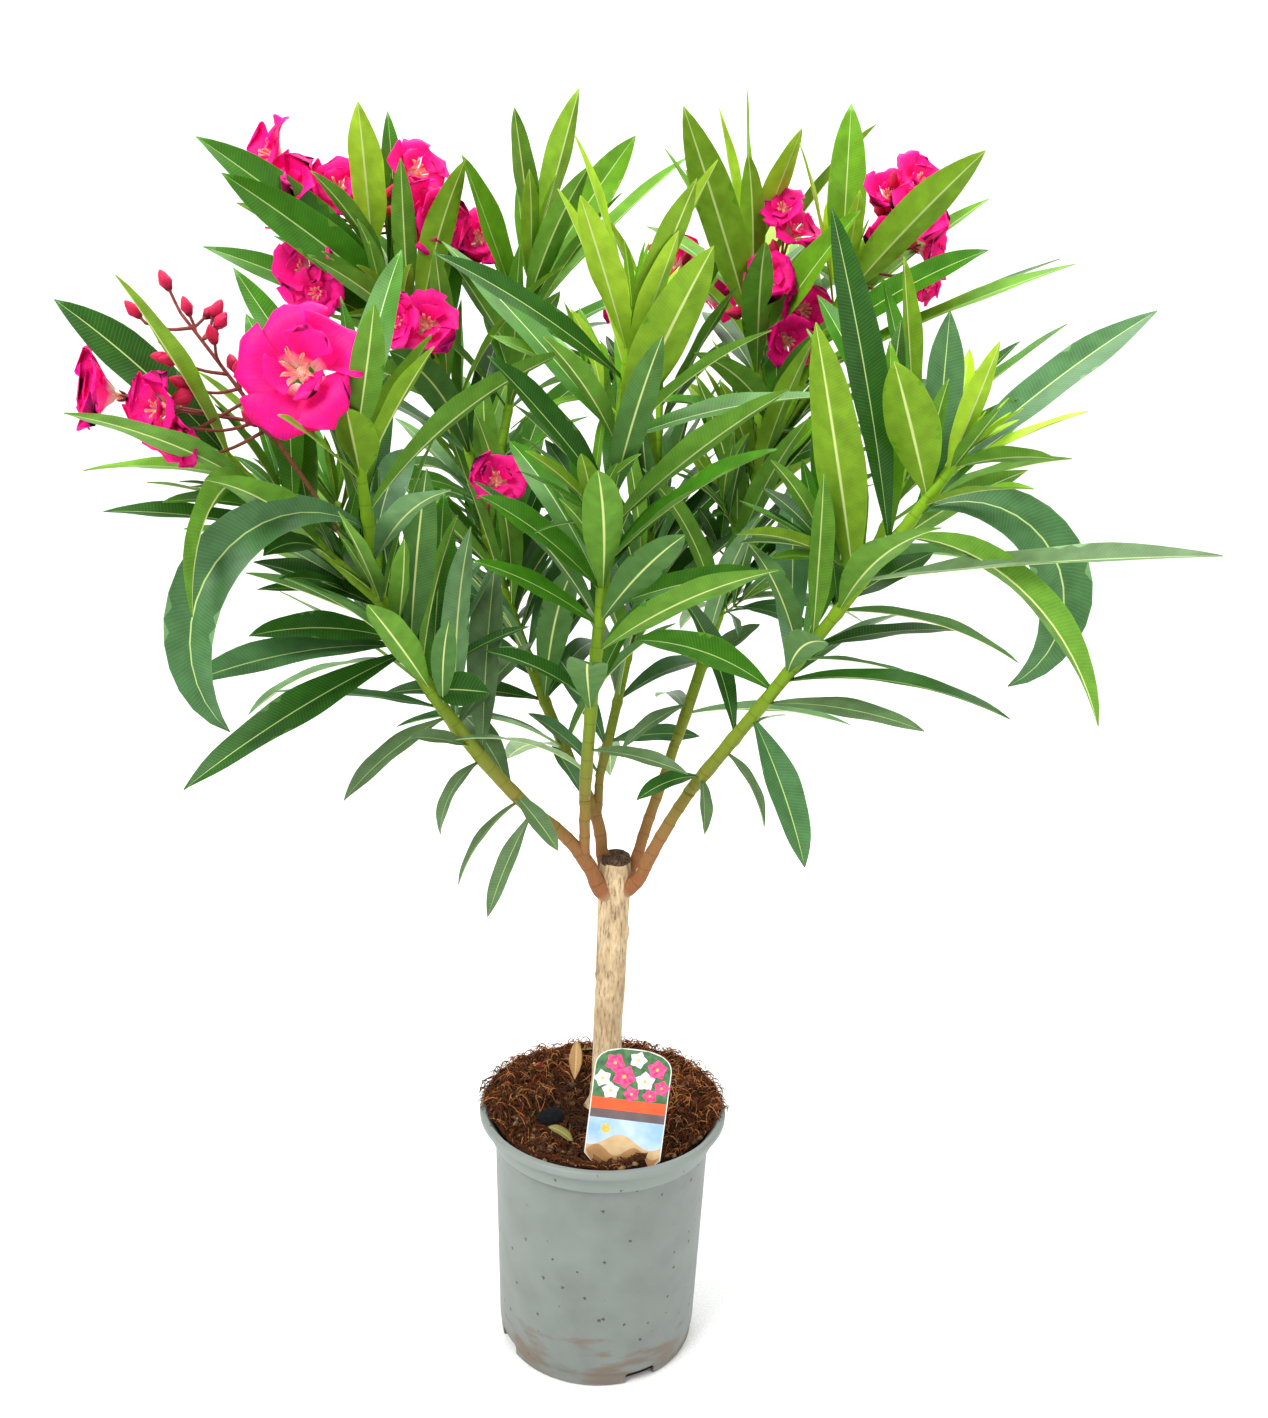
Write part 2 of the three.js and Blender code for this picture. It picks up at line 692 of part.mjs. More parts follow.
function whorlLeaf(shoot, node, turn, random) {
  const share = node.share;
  const frame = limbFrame(pathPoint(shoot.path, share), pathTangent(shoot.path, share));
  const around = radians(turn + (random() - 0.5) * 2 * JITTER.turn);
  const radial = add(scale(frame.side, Math.cos(around)), scale(frame.normal, Math.sin(around)));
  const jitter = () => (random() - 0.5) * 2;
  const spread = mix(SPREAD[0], SPREAD[1], Math.sqrt(share)) + jitter() * JITTER.spread;
  const toward = add(
    scale(frame.tangent, Math.cos(radians(spread))),
    scale(radial, Math.sin(radians(spread))),
  );
  const droop = mix(DROOP[0], DROOP[1], share) + jitter() * JITTER.droop;
  const grown = Math.sin(Math.PI * mix(GROWN.from, GROWN.to, share));
  const length = LEAF_LENGTH * mix(GROWN.least, 1, grown) * (1 + jitter() * JITTER.length);
  const sweep = jitter() * JITTER.sweep;
  const roll = jitter() * JITTER.roll;
  const width = length * LEAF_SLENDER * (1 + jitter() * JITTER.width);
  return {
    mass: shoot.mass,
    shoot: shoot.name,
    node: `${shoot.name}${node.index}`,
    share,
    base: frame.position,
    heading: degrees(Math.atan2(toward[1], toward[0])),
    rise: degrees(Math.asin(toward[2])) + droop * ARCH_RISE,
    droop,
    sweep,
    roll,
    length,
    width,
  };
}

function markedLeaf(shoot, row, index) {
  const [share, heading, rise, droop, length, width, roll] = row;
  return {
    mass: shoot.mass,
    shoot: shoot.name,
    node: `${shoot.name}-marked${index}`,
    share,
    marked: true,
    base: pathPoint(shoot.path, share),
    heading,
    rise,
    droop,
    sweep: 0,
    roll,
    length,
    width,
  };
}

const turnBetween = (a, b) => Math.abs(((((a - b) % 360) + 540) % 360) - 180);

function besideMarked(leaf, shoot, rows) {
  return rows.some((row) => {
    const apart = Math.abs(row[0] - leaf.share) * shoot.length;
    return (
      apart < shoot.spacing * MARKED_REACH && turnBetween(row[1], leaf.heading) < MARKED_TURN
    );
  });
}

function leafFits(leaf, leaves, limbs, blooms) {
  const lowest = Math.min(...leaf.place.samples.map((sample) => sample.point[2]));
  return (
    lowest > LOWEST_LEAF &&
    !limbs.some((limb) => leafMeetsLimb(leaf, limb)) &&
    !blooms.some((bloom) => leafMeetsBloom(leaf, bloom)) &&
    !leaves.some((other) => leavesMeet(leaf, other))
  );
}

// Tries the leaf as it grows, then a little turned or raised, and skips it when it never fits.
function placeLeaf(leaf, leaves, limbs, blooms) {
  const share = leaf.marked ? MARKED_SHIFT : 1;
  for (const [turn, raise] of SHIFTS) {
    const tried = {
      ...leaf,
      heading: leaf.heading + turn * share,
      rise: leaf.rise + raise * share,
    };
    tried.place = leafPlace(tried);
    if (leafFits(tried, leaves, limbs, blooms)) {
      leaves.push(tried);
      return true;
    }
  }
  return false;
}

function growLeaves(limbs, clusters) {
  const leaves = [];
  const skipped = [];
  const random = makeRandom(SEED);
  const inTheWay = [...Object.values(limbs), ...clusters.stalks];
  const put = (leaf) => {
    if (!placeLeaf(leaf, leaves, inTheWay, clusters.blooms)) {
      skipped.push(leaf);
    }
  };
  Object.entries(MARKED_LEAVES).forEach(([name, rows]) => {
    rows.forEach((row, index) => put(markedLeaf(limbs[name], row, index)));
  });
  Object.keys(SHOOTS).forEach((name) => {
    const shoot = limbs[name];
    const rows = MARKED_LEAVES[name] || [];
    shootNodes(shoot).forEach((share, index) => {
      for (let i = 0; i < WHORL; i += 1) {
        const turn = shoot.first + index * WHORL_TURN + (i * 360) / WHORL;
        const leaf = whorlLeaf(shoot, { share, index }, turn, random);
        if (!besideMarked(leaf, shoot, rows)) {
          put(leaf);
        }
      }
    });
  });
  return { leaves, skipped };
}

// Solids. A unit cylinder is bent ring by ring: y runs along the limb, x across, z out of it.
function bend(sides, segments, pointed, place) {
  const form = new THREE.CylinderGeometry(pointed ? 0 : 1, 1, 1, sides, segments);
  const positions = form.attributes.position;
  for (let i = 0; i < positions.count; i += 1) {
    const share = positions.getY(i) + 0.5;
    const taper = pointed ? 1 - share : 1;
    const ring = Math.round(share * segments);
    const x = taper > 0 ? positions.getX(i) / taper : 0;
    const z = taper > 0 ? positions.getZ(i) / taper : 0;
    const point = place(ring, x, z);
    positions.setXYZ(i, point[0], point[1], point[2]);
  }
  return form;
}

function sweepLimb(frames, radii, sides, pointed = false) {
  return bend(sides, frames.length - 1, pointed, (ring, x, z) => {
    const frame = frames[ring];
    const offset = add(scale(frame.side, x * radii[ring]), scale(frame.normal, z * radii[ring]));
    return add(frame.position, offset);
  });
}

function pathFrames(path) {
  return path.map((point, i) => {
    const before = path[Math.max(i - 1, 0)];
    const after = path[Math.min(i + 1, path.length - 1)];
    return limbFrame(point, unit(sub(after, before)));
  });
}

function thin(path, count) {
  const points = [];
  for (let i = 0; i <= count; i += 1) {
    points.push(pathPoint(path, i / count));
  }
  return points;
}

function ringsOf(leaf) {
  if (leaf.droop > CURLED) {
    return [0, 3, 5, 7, 9, 11, 12];
  }
  return leaf.length < LONG_LEAF ? [0, 4, 8, 12] : [0, 3, 6, 9, 12];
}

// Two edges and a keel under the midrib.
function leafForm(leaf) {
  const all = leafFrames(leaf);
  const rings = ringsOf(leaf);
  const thickness = leaf.length * LEAF_THICKNESS;
  const last = rings.length - 1;
  return bend(3, last, true, (ring, x, z) => {
    const frame = all[rings[ring]];
    const wide = ring === last ? 0 : Math.max(frame.half, thickness) / KEEL_SPREAD;
    const high = ring === last ? 0 : thickness * (ring === 0 ? ROOT_THICKNESS : 1);
    const offset = add(scale(frame.side, -x * wide), scale(frame.normal, -z * high));
    return add(frame.position, offset);
  });
}

// A bloom and its own stalk: a funnel that opens to five petal tips round a sunk throat.
function bloomForm(bloom) {
  const neck = sub(bloom.centre, scale(bloom.facing, bloom.radius * BLOOM_TUBE));
  const stalk = limbFrame(bloom.foot, unit(sub(neck, bloom.foot)));
  const calyx = limbFrame(neck, bloom.facing);
  const rim = limbFrame(bloom.centre, bloom.facing);
  const frames = [stalk, calyx, rim];
  const radii = [PEDICEL_RADIUS, CALYX_RADIUS, bloom.radius];
  return bend(PETALS, 2, false, (ring, x, z) => {
    const frame = frames[ring];
    const middle = Math.hypot(x, z) < 0.5;
    const sink = ring === 2 && middle ? BLOOM_THROAT * bloom.radius : 0;
    const across = add(scale(frame.side, x * radii[ring]), scale(frame.normal, z * radii[ring]));
    return add(add(frame.position, across), scale(frame.tangent, -sink));
  });
}

function budForm(bud) {
  const [foot, neck] = bud.path;
  const path = [foot, neck];
  path.push(add(neck, scale(bud.toward, BUD_LENGTH * BUD_SHOULDER)));
  path.push(add(neck, scale(bud.toward, BUD_LENGTH)));
  return sweepLimb(pathFrames(path), [PEDICEL_RADIUS, PEDICEL_RADIUS, BUD_RADIUS, 0], BUD_SIDES, true);
}

// Joins and cuts.
const SLIVER = 0.01;
const FLATNESS = 0.006;
const SAME_WAY = 0.98;

function solid(geometry) {
  const bare = geometry.clone();
  bare.deleteAttribute("normal");
  bare.deleteAttribute("uv");
  const merged = mergeVertices(bare, 1e-4);
  const mesh = new wasm.Mesh({
    numProp: 3,
    vertProperties: new Float32Array(merged.attributes.position.array),
    triVerts: new Uint32Array(merged.index.array),
  });
  return new wasm.Manifold(mesh);
}

function join(solids) {
  let pending = solids;
  while (pending.length > 1) {
    const next = [];
    for (let i = 0; i < pending.length; i += 2) {
      next.push(i + 1 < pending.length ? pending[i].add(pending[i + 1]) : pending[i]);
    }
    pending = next;
  }
  return pending[0];
}

function bodiesOf(corners, triangles) {
  const parent = corners.map((unused, i) => i);
  const root = (i) => {
    let at = i;
    while (parent[at] !== at) {
      parent[at] = parent[parent[at]];
      at = parent[at];
    }
    return at;
  };
  triangles.forEach(([a, b, c]) => {
    parent[root(a)] = root(b);
    parent[root(b)] = root(c);
  });
  const bodies = new Map();
  triangles.forEach((triangle) => {
    const key = root(triangle[0]);
    bodies.set(key, [...(bodies.get(key) || []), triangle]);
  });
  return [...bodies.values()];
}

function faceOf(corners, triangle) {
  const [a, b, c] = triangle.map((index) => corners[index]);
  const product = cross(sub(b, a), sub(c, a));
  const longest = Math.max(size(sub(b, a)), size(sub(c, b)), size(sub(a, c)));
  const area = size(product);
  const flat = area / longest < SLIVER;
  return { flat, normal: flat ? [0, 0, 0] : scale(product, 1 / area), point: a };
}

function swapCorner(triangle, from, to) {
  return triangle.map((index) => (index === from ? to : index));
}

// True when corner `from` can slide to `to` and leave every face round it in its own plane.
function canSlide(corners, triangles, around, from, to) {
  const rim = (index) => new Set([...around[index]].flatMap((face) => triangles[face]));
  const near = rim(from);
  const shared = [...rim(to)].filter((index) => near.has(index) && index !== from && index !== to);
  if (shared.length !== 2) {
    return false;
  }
  const faces = [...around[from]].map((face) => triangles[face]);
  const planes = faces.map((face) => faceOf(corners, face));
  const solidPlanes = planes.filter((plane) => !plane.flat);
  const level = solidPlanes.every(
    (plane) => Math.abs(dot(sub(corners[to], plane.point), plane.normal)) < FLATNESS,
  );
  if (!level || solidPlanes.length === 0) {
    return false;
  }
  return faces.every((face, i) => {
    if (face.includes(to)) {
      return true;
    }
    const moved = faceOf(corners, swapCorner(face, from, to));
    const wanted = planes[i].flat ? solidPlanes : [planes[i]];
    return !moved.flat && wanted.some((plane) => dot(plane.normal, moved.normal) > SAME_WAY);
  });
}

// Joining leaves spare corners inside flat faces and along straight edges: they are slid away.
function tidyFaces(corners, triangles) {
  const around = corners.map(() => new Set());
  triangles.forEach((triangle, face) => triangle.forEach((index) => around[index].add(face)));
  let changed = true;
  while (changed) {
    changed = false;
    for (let from = 0; from < corners.length; from += 1) {
      const next = new Set([...around[from]].flatMap((face) => triangles[face]));
      next.delete(from);
      const to = [...next].find((other) => canSlide(corners, triangles, around, from, other));
      if (to !== undefined) {
        slide(triangles, around, from, to);
        changed = true;
      }
    }
  }
  return triangles.filter((triangle) => triangle.length > 0);
}

function slide(triangles, around, from, to) {
  [...around[from]].forEach((face) => {
    if (triangles[face].includes(to)) {
      triangles[face].forEach((index) => around[index].delete(face));
      triangles[face] = [];
    } else {
      triangles[face] = swapCorner(triangles[face], from, to);
      around[to].add(face);
    }
  });
  around[from].clear();
}

// The largest closed skin of a joined solid: a loose scrap or the skin of a sealed hollow goes.
function mainBody(manifold) {
  const mesh = manifold.getMesh();
  const corners = [];
  for (let i = 0; i < mesh.vertProperties.length; i += 3) {
    corners.push(Array.from(mesh.vertProperties.slice(i, i + 3)));
  }
  const triangles = [];
  for (let i = 0; i < mesh.triVerts.length; i += 3) {
    triangles.push(Array.from(mesh.triVerts.slice(i, i + 3)));
  }
  const bodies = bodiesOf(corners, triangles);
  bodies.sort((a, b) => b.length - a.length);
  const faces = tidyFaces(corners, bodies[0]);
  const positions = new Float32Array(faces.flat().flatMap((index) => corners[index]));
  const geometry = new THREE.BufferGeometry();
  geometry.setAttribute("position", new THREE.BufferAttribute(positions, 3));
  const merged = mergeVertices(geometry, 1e-5);
  merged.computeVertexNormals();
  return merged;
}

function node(name, geometry, colour, roughness = 0.8) {
  const material = new THREE.MeshStandardMaterial({ color: colour, roughness });
  material.name = `${name}_material`;
  const mesh = new THREE.Mesh(geometry, material);
  mesh.name = name;
  return mesh;
}

// Pot.
function potForm() {
  const collarBase = POT_HEIGHT - COLLAR_HEIGHT;
  const lipBase = POT_HEIGHT - LIP_HEIGHT;
  const outline = [
    [0, 0],
    [FOOT_RADIUS - 2, 0],
    [FOOT_RADIUS, 2],
    [FOOT_RADIUS + 0.4, FOOT_HEIGHT],
    [FOOT_RADIUS + 1.4, FOOT_HEIGHT + 1.5],
    [WALL_TOP_RADIUS, collarBase],
    [COLLAR_RADIUS, collarBase + 2.5],
    [COLLAR_RADIUS + 2, lipBase],
    [LIP_RADIUS - 1.5, lipBase + 0.5],
    [LIP_RADIUS, lipBase + 2.5],
    [LIP_RADIUS - 0.6, POT_HEIGHT - 1.5],
    [LIP_RADIUS - 2.4, POT_HEIGHT],
    [LIP_RADIUS - 4.6, POT_HEIGHT],
    [COLLAR_RADIUS - POT_WALL + 1, lipBase],
    [WALL_TOP_RADIUS - POT_WALL, collarBase],
    [FOOT_RADIUS - POT_WALL, FLOOR],
    [0, FLOOR],
  ];
  const profile = outline.map(([radius, height]) => new THREE.Vector2(radius, height));
  const form = new THREE.LatheGeometry(profile, POT_SIDES);
  form.rotateX(Math.PI / 2);
  return form;
}

function notchForm(heading) {
  const form = new THREE.BoxGeometry(NOTCH_DEPTH * 2, NOTCH_WIDTH, NOTCH_HEIGHT * 2);
  form.translate(FOOT_RADIUS, 0, 0);
  form.rotateZ(radians(heading));
  return form;
}

function potSolid() {
  let pot = solid(potForm());
  for (let i = 0; i < NOTCH_COUNT; i += 1) {
    pot = pot.subtract(solid(notchForm(NOTCH_HEADING + (i * 360) / NOTCH_COUNT)));
  }
  return pot;
}

// Soil: fills the pot, rises in lumps towards its lip and laps over it at the back and sides.
function soilCover(heading) {
  const away = turnBetween(heading, SOIL_BACK);
  const t = Math.min(Math.max((SOIL_COVER_END - away) / SOIL_COVER_BLEND, 0), 1);
  return t * t * (3 - 2 * t);
}

function soilHeight(radius, heading) {
  if (radius <= SOIL_SEAT_RADIUS) {
    return SOIL_LEVEL;
  }
  const out = (radius - SOIL_SEAT_RADIUS) / (SOIL_RINGS.at(-1) - SOIL_SEAT_RADIUS);
  const heap = SOIL_HEAP * soilCover(heading) * Math.sin(Math.PI * out * SOIL_HEAP_END);
  const lumps = SOIL_WAVES.map(
    (wave) => wave.height * Math.sin(wave.count * radians(heading) + wave.pitch * radius),
  );
  return SOIL_LEVEL + heap + out * lumps.reduce((total, lump) => total + lump, 0);
}

// The two outermost rings follow the lip's inner slope as far up as the soil reaches.
function soilEdge(ring, heading) {
  const cover = soilCover(heading);
  const slope = mixPoint(SOIL_EDGE_LOW, SOIL_EDGE_HIGH, cover);
  if (ring === 0) {
    return slope;
  }
  const over = Math.max(cover - SOIL_LAP_FROM, 0) / (1 - SOIL_LAP_FROM);
  return [slope[0] - SOIL_EDGE_IN + SOIL_LAP * over, 0, slope[2] + SOIL_EDGE_UP];
}

function soilForm() {
  const inset = POT_WALL + SOIL_ROOM;
  const base = [
    [0, FLOOR + GAP],
    [FOOT_RADIUS - inset, FLOOR + GAP],
    [WALL_TOP_RADIUS - inset, POT_HEIGHT - COLLAR_HEIGHT],
    [SOIL_EDGE_LOW[0], SOIL_EDGE_LOW[2] - 1],
  ];
  const edge = [SOIL_EDGE_LOW[0] + 1, SOIL_EDGE_LOW[0]];
  const top = [...edge, ...[...SOIL_RINGS].reverse(), 0];
  const outline = [...base, ...top.map((radius) => [radius, SOIL_LEVEL])];
  const profile = outline.map(([radius, height]) => new THREE.Vector2(radius, height));
  const form = new THREE.LatheGeometry(profile, SOIL_SIDES);
  form.rotateX(Math.PI / 2);
  const positions = form.attributes.position;
  for (let i = 0; i < positions.count; i += 1) {
    const ring = (i % outline.length) - base.length;
    const x = positions.getX(i);
    const y = positions.getY(i);
    const heading = degrees(Math.atan2(y, x));
    if (ring >= edge.length) {
      positions.setZ(i, soilHeight(Math.hypot(x, y), heading));
    } else if (ring >= 0) {
      const [radius, , height] = soilEdge(ring, heading);
      const around = direction(heading, 0);
      positions.setXYZ(i, radius * around[0], radius * around[1], height);
    }
  }
  return form;
}

// Label.
function labelForm(room = 0) {
  const half = LABEL_WIDTH / 2 + room;
  const spike = SPIKE_WIDTH / 2 + room;
  const narrow = spike * 0.8;
  const card = new THREE.Shape();
  card.moveTo(-spike, -room);
  card.lineTo(LABEL_CHAMFER - half, -room);
  card.lineTo(-half, LABEL_CHAMFER);
  card.lineTo(-half, LABEL_HEIGHT - LABEL_ARCH);
  card.quadraticCurveTo(-half, LABEL_HEIGHT, 0, LABEL_HEIGHT);
  card.quadraticCurveTo(half, LABEL_HEIGHT, half, LABEL_HEIGHT - LABEL_ARCH);
  card.lineTo(half, LABEL_CHAMFER);
  card.lineTo(half - LABEL_CHAMFER, -room);
  card.lineTo(spike, -room);
  card.lineTo(narrow, -SPIKE_LENGTH * SPIKE_SHOULDER);
  card.lineTo(0, -SPIKE_LENGTH - room);
  card.lineTo(-narrow, -SPIKE_LENGTH * SPIKE_SHOULDER);
  const depth = LABEL_THICKNESS + room * 2;
  const form = new THREE.ExtrudeGeometry(card, { depth, bevelEnabled: false, curveSegments: 6 });
  form.translate(0, 0, -depth / 2);
  form.rotateX(Math.PI / 2);
  form.rotateY(radians(LABEL_TILT));
  form.rotateX(-radians(LABEL_LEAN));
  form.translate(LABEL_BASE[0], LABEL_BASE[1], LABEL_BASE[2]);
  return form;
}

// Trunk and boughs.
function trunkForm(room = 0) {
  const radii = TRUNK_RINGS.map(([, radius]) => radius + room);
  const path = TRUNK_RINGS.map(([share]) => mixPoint(TRUNK_BASE, TRUNK_TOP, share));
  const frames = path.map((point) => limbFrame(point, UP));
  frames[frames.length - 1].position = add(path.at(-1), [0, 0, room]);
  return sweepLimb(frames, radii, TRUNK_SIDES);
}

function trunkPoint(height) {
  const share = (height - TRUNK_BASE[2]) / (TRUNK_TOP[2] - TRUNK_BASE[2]);
  return mixPoint(TRUNK_BASE, TRUNK_TOP, share);
}

function boughForm(limb, room = 0) {
  const path = thin(limb.path, BOUGH_STEPS);
  const radii = path.map((point, i) => mix(limb.radius, limb.tip, i / BOUGH_STEPS) + room);
  if (limb.root) {
    path[0] = trunkPoint(limb.root);
  }
  path[0] = add(path[0], scale(unit(sub(path[0], path[1])), room));
  path[BOUGH_STEPS] = add(path[BOUGH_STEPS], scale(pathTangent(limb.path, 1), room));
  return sweepLimb(pathFrames(path), radii, BOUGH_SIDES);
}

function stemForm(limb, steps) {
  const path = thin(limb.path, steps);
  const radii = path.map((point, i) => mix(limb.radius, limb.tip, i / steps));
  return sweepLimb(pathFrames(path), radii, STEM_SIDES);
}

// A mass: its shoots joined with their leaves, stalks, buds and blooms, clear of every limb.
function massSolid(mass, limbs, clusters, leaves, keepOut) {
  const shoots = Object.values(limbs).filter((limb) => limb.mass === mass);
  const parts = shoots.map((shoot) => solid(stemForm(shoot, STEM_STEPS)));
  leaves.filter((leaf) => leaf.mass === mass).forEach((leaf) => parts.push(solid(leafForm(leaf))));
  clusters.stalks
    .filter((stalk) => stalk.mass === mass)
    .forEach((stalk) => {
      if (stalk.bud) {
        parts.push(solid(budForm(stalk)));
      } else {
        parts.push(solid(stemForm(stalk, STALK_STEPS)));
      }
    });
  clusters.blooms
    .filter((bloom) => bloom.mass === mass)
    .forEach((bloom) => {
      parts.push(solid(bloomForm(bloom)));
    });
  return keepOut.reduce((whole, limb) => whole.subtract(limb), join(parts));
}

const COLOURS = {
  pot: "#8d9c99",
  soil: "#4a2f1e",
  label: "#d8cfc8",
  trunk: "#c2a578",
  bough: "#8f6a48",
  foliage: "#3f8a2c",
};

const limbs = growSkeleton();
const clusters = growClusters(limbs);
const grown = growLeaves(limbs, clusters);

const group = new THREE.Group();
group.name = "potted_oleander";
group.add(node("pot", mainBody(potSolid()), COLOURS.pot, 0.7));
group.add(node("soil", mainBody(solid(soilForm()).subtract(solid(labelForm(SLOT_GAP)))), COLOURS.soil));
group.add(node("label", mainBody(solid(labelForm())), COLOURS.label, 0.4));
group.add(node("trunk", mainBody(solid(trunkForm())), COLOURS.trunk));

const keepOut = [solid(trunkForm(SEAT_GAP))];
Object.keys(BOUGHS).forEach((name) => {
  const bough = keepOut.reduce((whole, limb) => whole.subtract(limb), solid(boughForm(limbs[name])));
  group.add(node(name, mainBody(bough), COLOURS.bough));
  keepOut.push(solid(boughForm(limbs[name], SEAT_GAP)));
});

const masses = [...new Set(Object.values(SHOOTS).map((shoot) => shoot.mass))];
masses.forEach((mass) => {
  const whole = massSolid(mass, limbs, clusters, grown.leaves, keepOut);
  group.add(node(mass, mainBody(whole), COLOURS.foliage));
});

export default group;
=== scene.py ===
"""Looks of a potted oleander: one short trunk in a nursery pot, leafy shoots and pink blossom.

Growth is worked out in millimetres by the same rule as the solids, and meshes are made in metres.
The origin is the middle of the pot's underside, +Z is up and -Y is the front. A heading is in
degrees from +X towards +Y. A lean is measured from upright and a rise from level.
"""

import math
from functools import partial

import bpy
import numpy as np
from mathutils import Matrix, Vector


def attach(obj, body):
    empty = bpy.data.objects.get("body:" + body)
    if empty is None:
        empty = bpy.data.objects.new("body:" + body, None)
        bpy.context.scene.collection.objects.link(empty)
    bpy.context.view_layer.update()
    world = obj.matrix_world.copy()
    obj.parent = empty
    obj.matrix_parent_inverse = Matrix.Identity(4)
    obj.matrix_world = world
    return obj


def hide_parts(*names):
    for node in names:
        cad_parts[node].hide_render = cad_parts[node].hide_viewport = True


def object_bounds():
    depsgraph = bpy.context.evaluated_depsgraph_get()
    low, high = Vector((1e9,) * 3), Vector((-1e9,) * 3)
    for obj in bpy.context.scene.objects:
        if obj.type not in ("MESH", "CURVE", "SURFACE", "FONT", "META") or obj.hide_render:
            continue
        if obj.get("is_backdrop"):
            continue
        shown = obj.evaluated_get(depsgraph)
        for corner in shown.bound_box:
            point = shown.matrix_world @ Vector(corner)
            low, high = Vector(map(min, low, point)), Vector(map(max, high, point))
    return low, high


bl_info = {
    "name": "Potted oleander",
    "version": (1, 0, 0),
    "blender": (4, 5, 0),
    "location": "View3D > Sidebar > Oleander",
    "description": "Pot, soil, label, bark, leaves, twigs and blossom of a potted oleander",
    "category": "Object",
}

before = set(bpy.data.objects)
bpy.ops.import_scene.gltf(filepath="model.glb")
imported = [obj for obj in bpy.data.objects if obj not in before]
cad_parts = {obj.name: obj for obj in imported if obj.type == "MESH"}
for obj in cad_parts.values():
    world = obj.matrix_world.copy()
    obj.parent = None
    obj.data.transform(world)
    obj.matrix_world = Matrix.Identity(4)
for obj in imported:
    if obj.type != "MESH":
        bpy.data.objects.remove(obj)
CAD_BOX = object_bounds()
MM = 0.001
TURN = 2 * math.pi
LIMB_KEYS = ("heading", "turn", "lean", "endLean", "length", "radius")


def with_keys(table, *keys):
    """A table whose rows are given their keys."""
    return {name: dict(zip(keys, row)) for name, row in table.items()}


# Pot, in millimetres.
POT_HEIGHT = 204
LIP_RADIUS = 100
LIP_HEIGHT = 7
COLLAR_HEIGHT = 24
COLLAR_RADIUS = 91
WALL_TOP_RADIUS = 87
FOOT_RADIUS = 80
FOOT_HEIGHT = 11
POT_WALL = 2.2
FLOOR = 3
NOTCH_COUNT = 4
NOTCH_HEADING = 208
NOTCH_WIDTH = 26
NOTCH_HEIGHT = 9
NOTCH_DEPTH = 10
NOTCH_ROUNDING = 2.5

# Soil.
SOIL_LEVEL = 199
SOIL_SEAT_RADIUS = 22
SOIL_OUTER_RING = 86
SOIL_HEAP = 10
SOIL_HEAP_END = 0.72
SOIL_WAVES = ((3, 0.21, 1.8), (7, -0.33, 1.2))
SOIL_BACK = 90
SOIL_COVER_END = 122
SOIL_COVER_BLEND = 30
SOIL_EDGE_LOW = (87.9, 197.2)
SOIL_EDGE_HIGH = (94, 205)
SOIL_LAP_FROM = 0.85
SOIL_LAP = 3

# Plant label.
LABEL_WIDTH = 58
LABEL_HEIGHT = 96
LABEL_THICKNESS = 0.8
LABEL_ARCH = 16
LABEL_CHAMFER = 11
SPIKE_WIDTH = 13
SPIKE_LENGTH = 20
LABEL_BASE = (16, -79.5, 194.5)
LABEL_LEAN = 7
LABEL_TILT = 5

# Trunk. Its rings hold shares of its height and radii.
TRUNK_BASE = np.array((1, 0, 199.3))
TRUNK_TOP = np.array((4, 1, 418.0))
TRUNK_RADIUS = 11.8
TRUNK_RINGS = (
    (0, 15.5), (0.05, 12.6), (0.14, TRUNK_RADIUS), (0.5, TRUNK_RADIUS), (0.78, 12.6), (0.88, 13),
    (0.94, 12.4), (1, 11),
)

# Boughs: bare tapering limbs. One that leaves the trunk is rooted on its axis at height `root`.
BOUGHS = {
    "bough_left": ((-2, -4, 380), 384, 206, -2, 20, 55, 104, 7, 5.4),
    "bough_centre": ((-20, -13, 418), None, 267, 0, 14, 13, 54, 5, 4.8),
    "bough_back_left": ((-5, 5, 402), 396, 115, 26, 8, 49, 80, 5.8, 4.9),
    "bough_back": ((-12, 17, 446), None, 88, 0, 38, 38, 32, 4.4, 4.2),
    "bough_back_right": ((13, 4, 392), 386, 62, -12, 36, 28, 122, 5.4, 4.8),
    "bough_right": ((15, -2, 384), 387, 326, 9, 24, 30, 108, 6, 5.4),
}
BOUGHS = with_keys(BOUGHS, "start", "root", *LIMB_KEYS, "tip")
MASSES = sorted(name.replace("bough", "foliage") for name in BOUGHS)

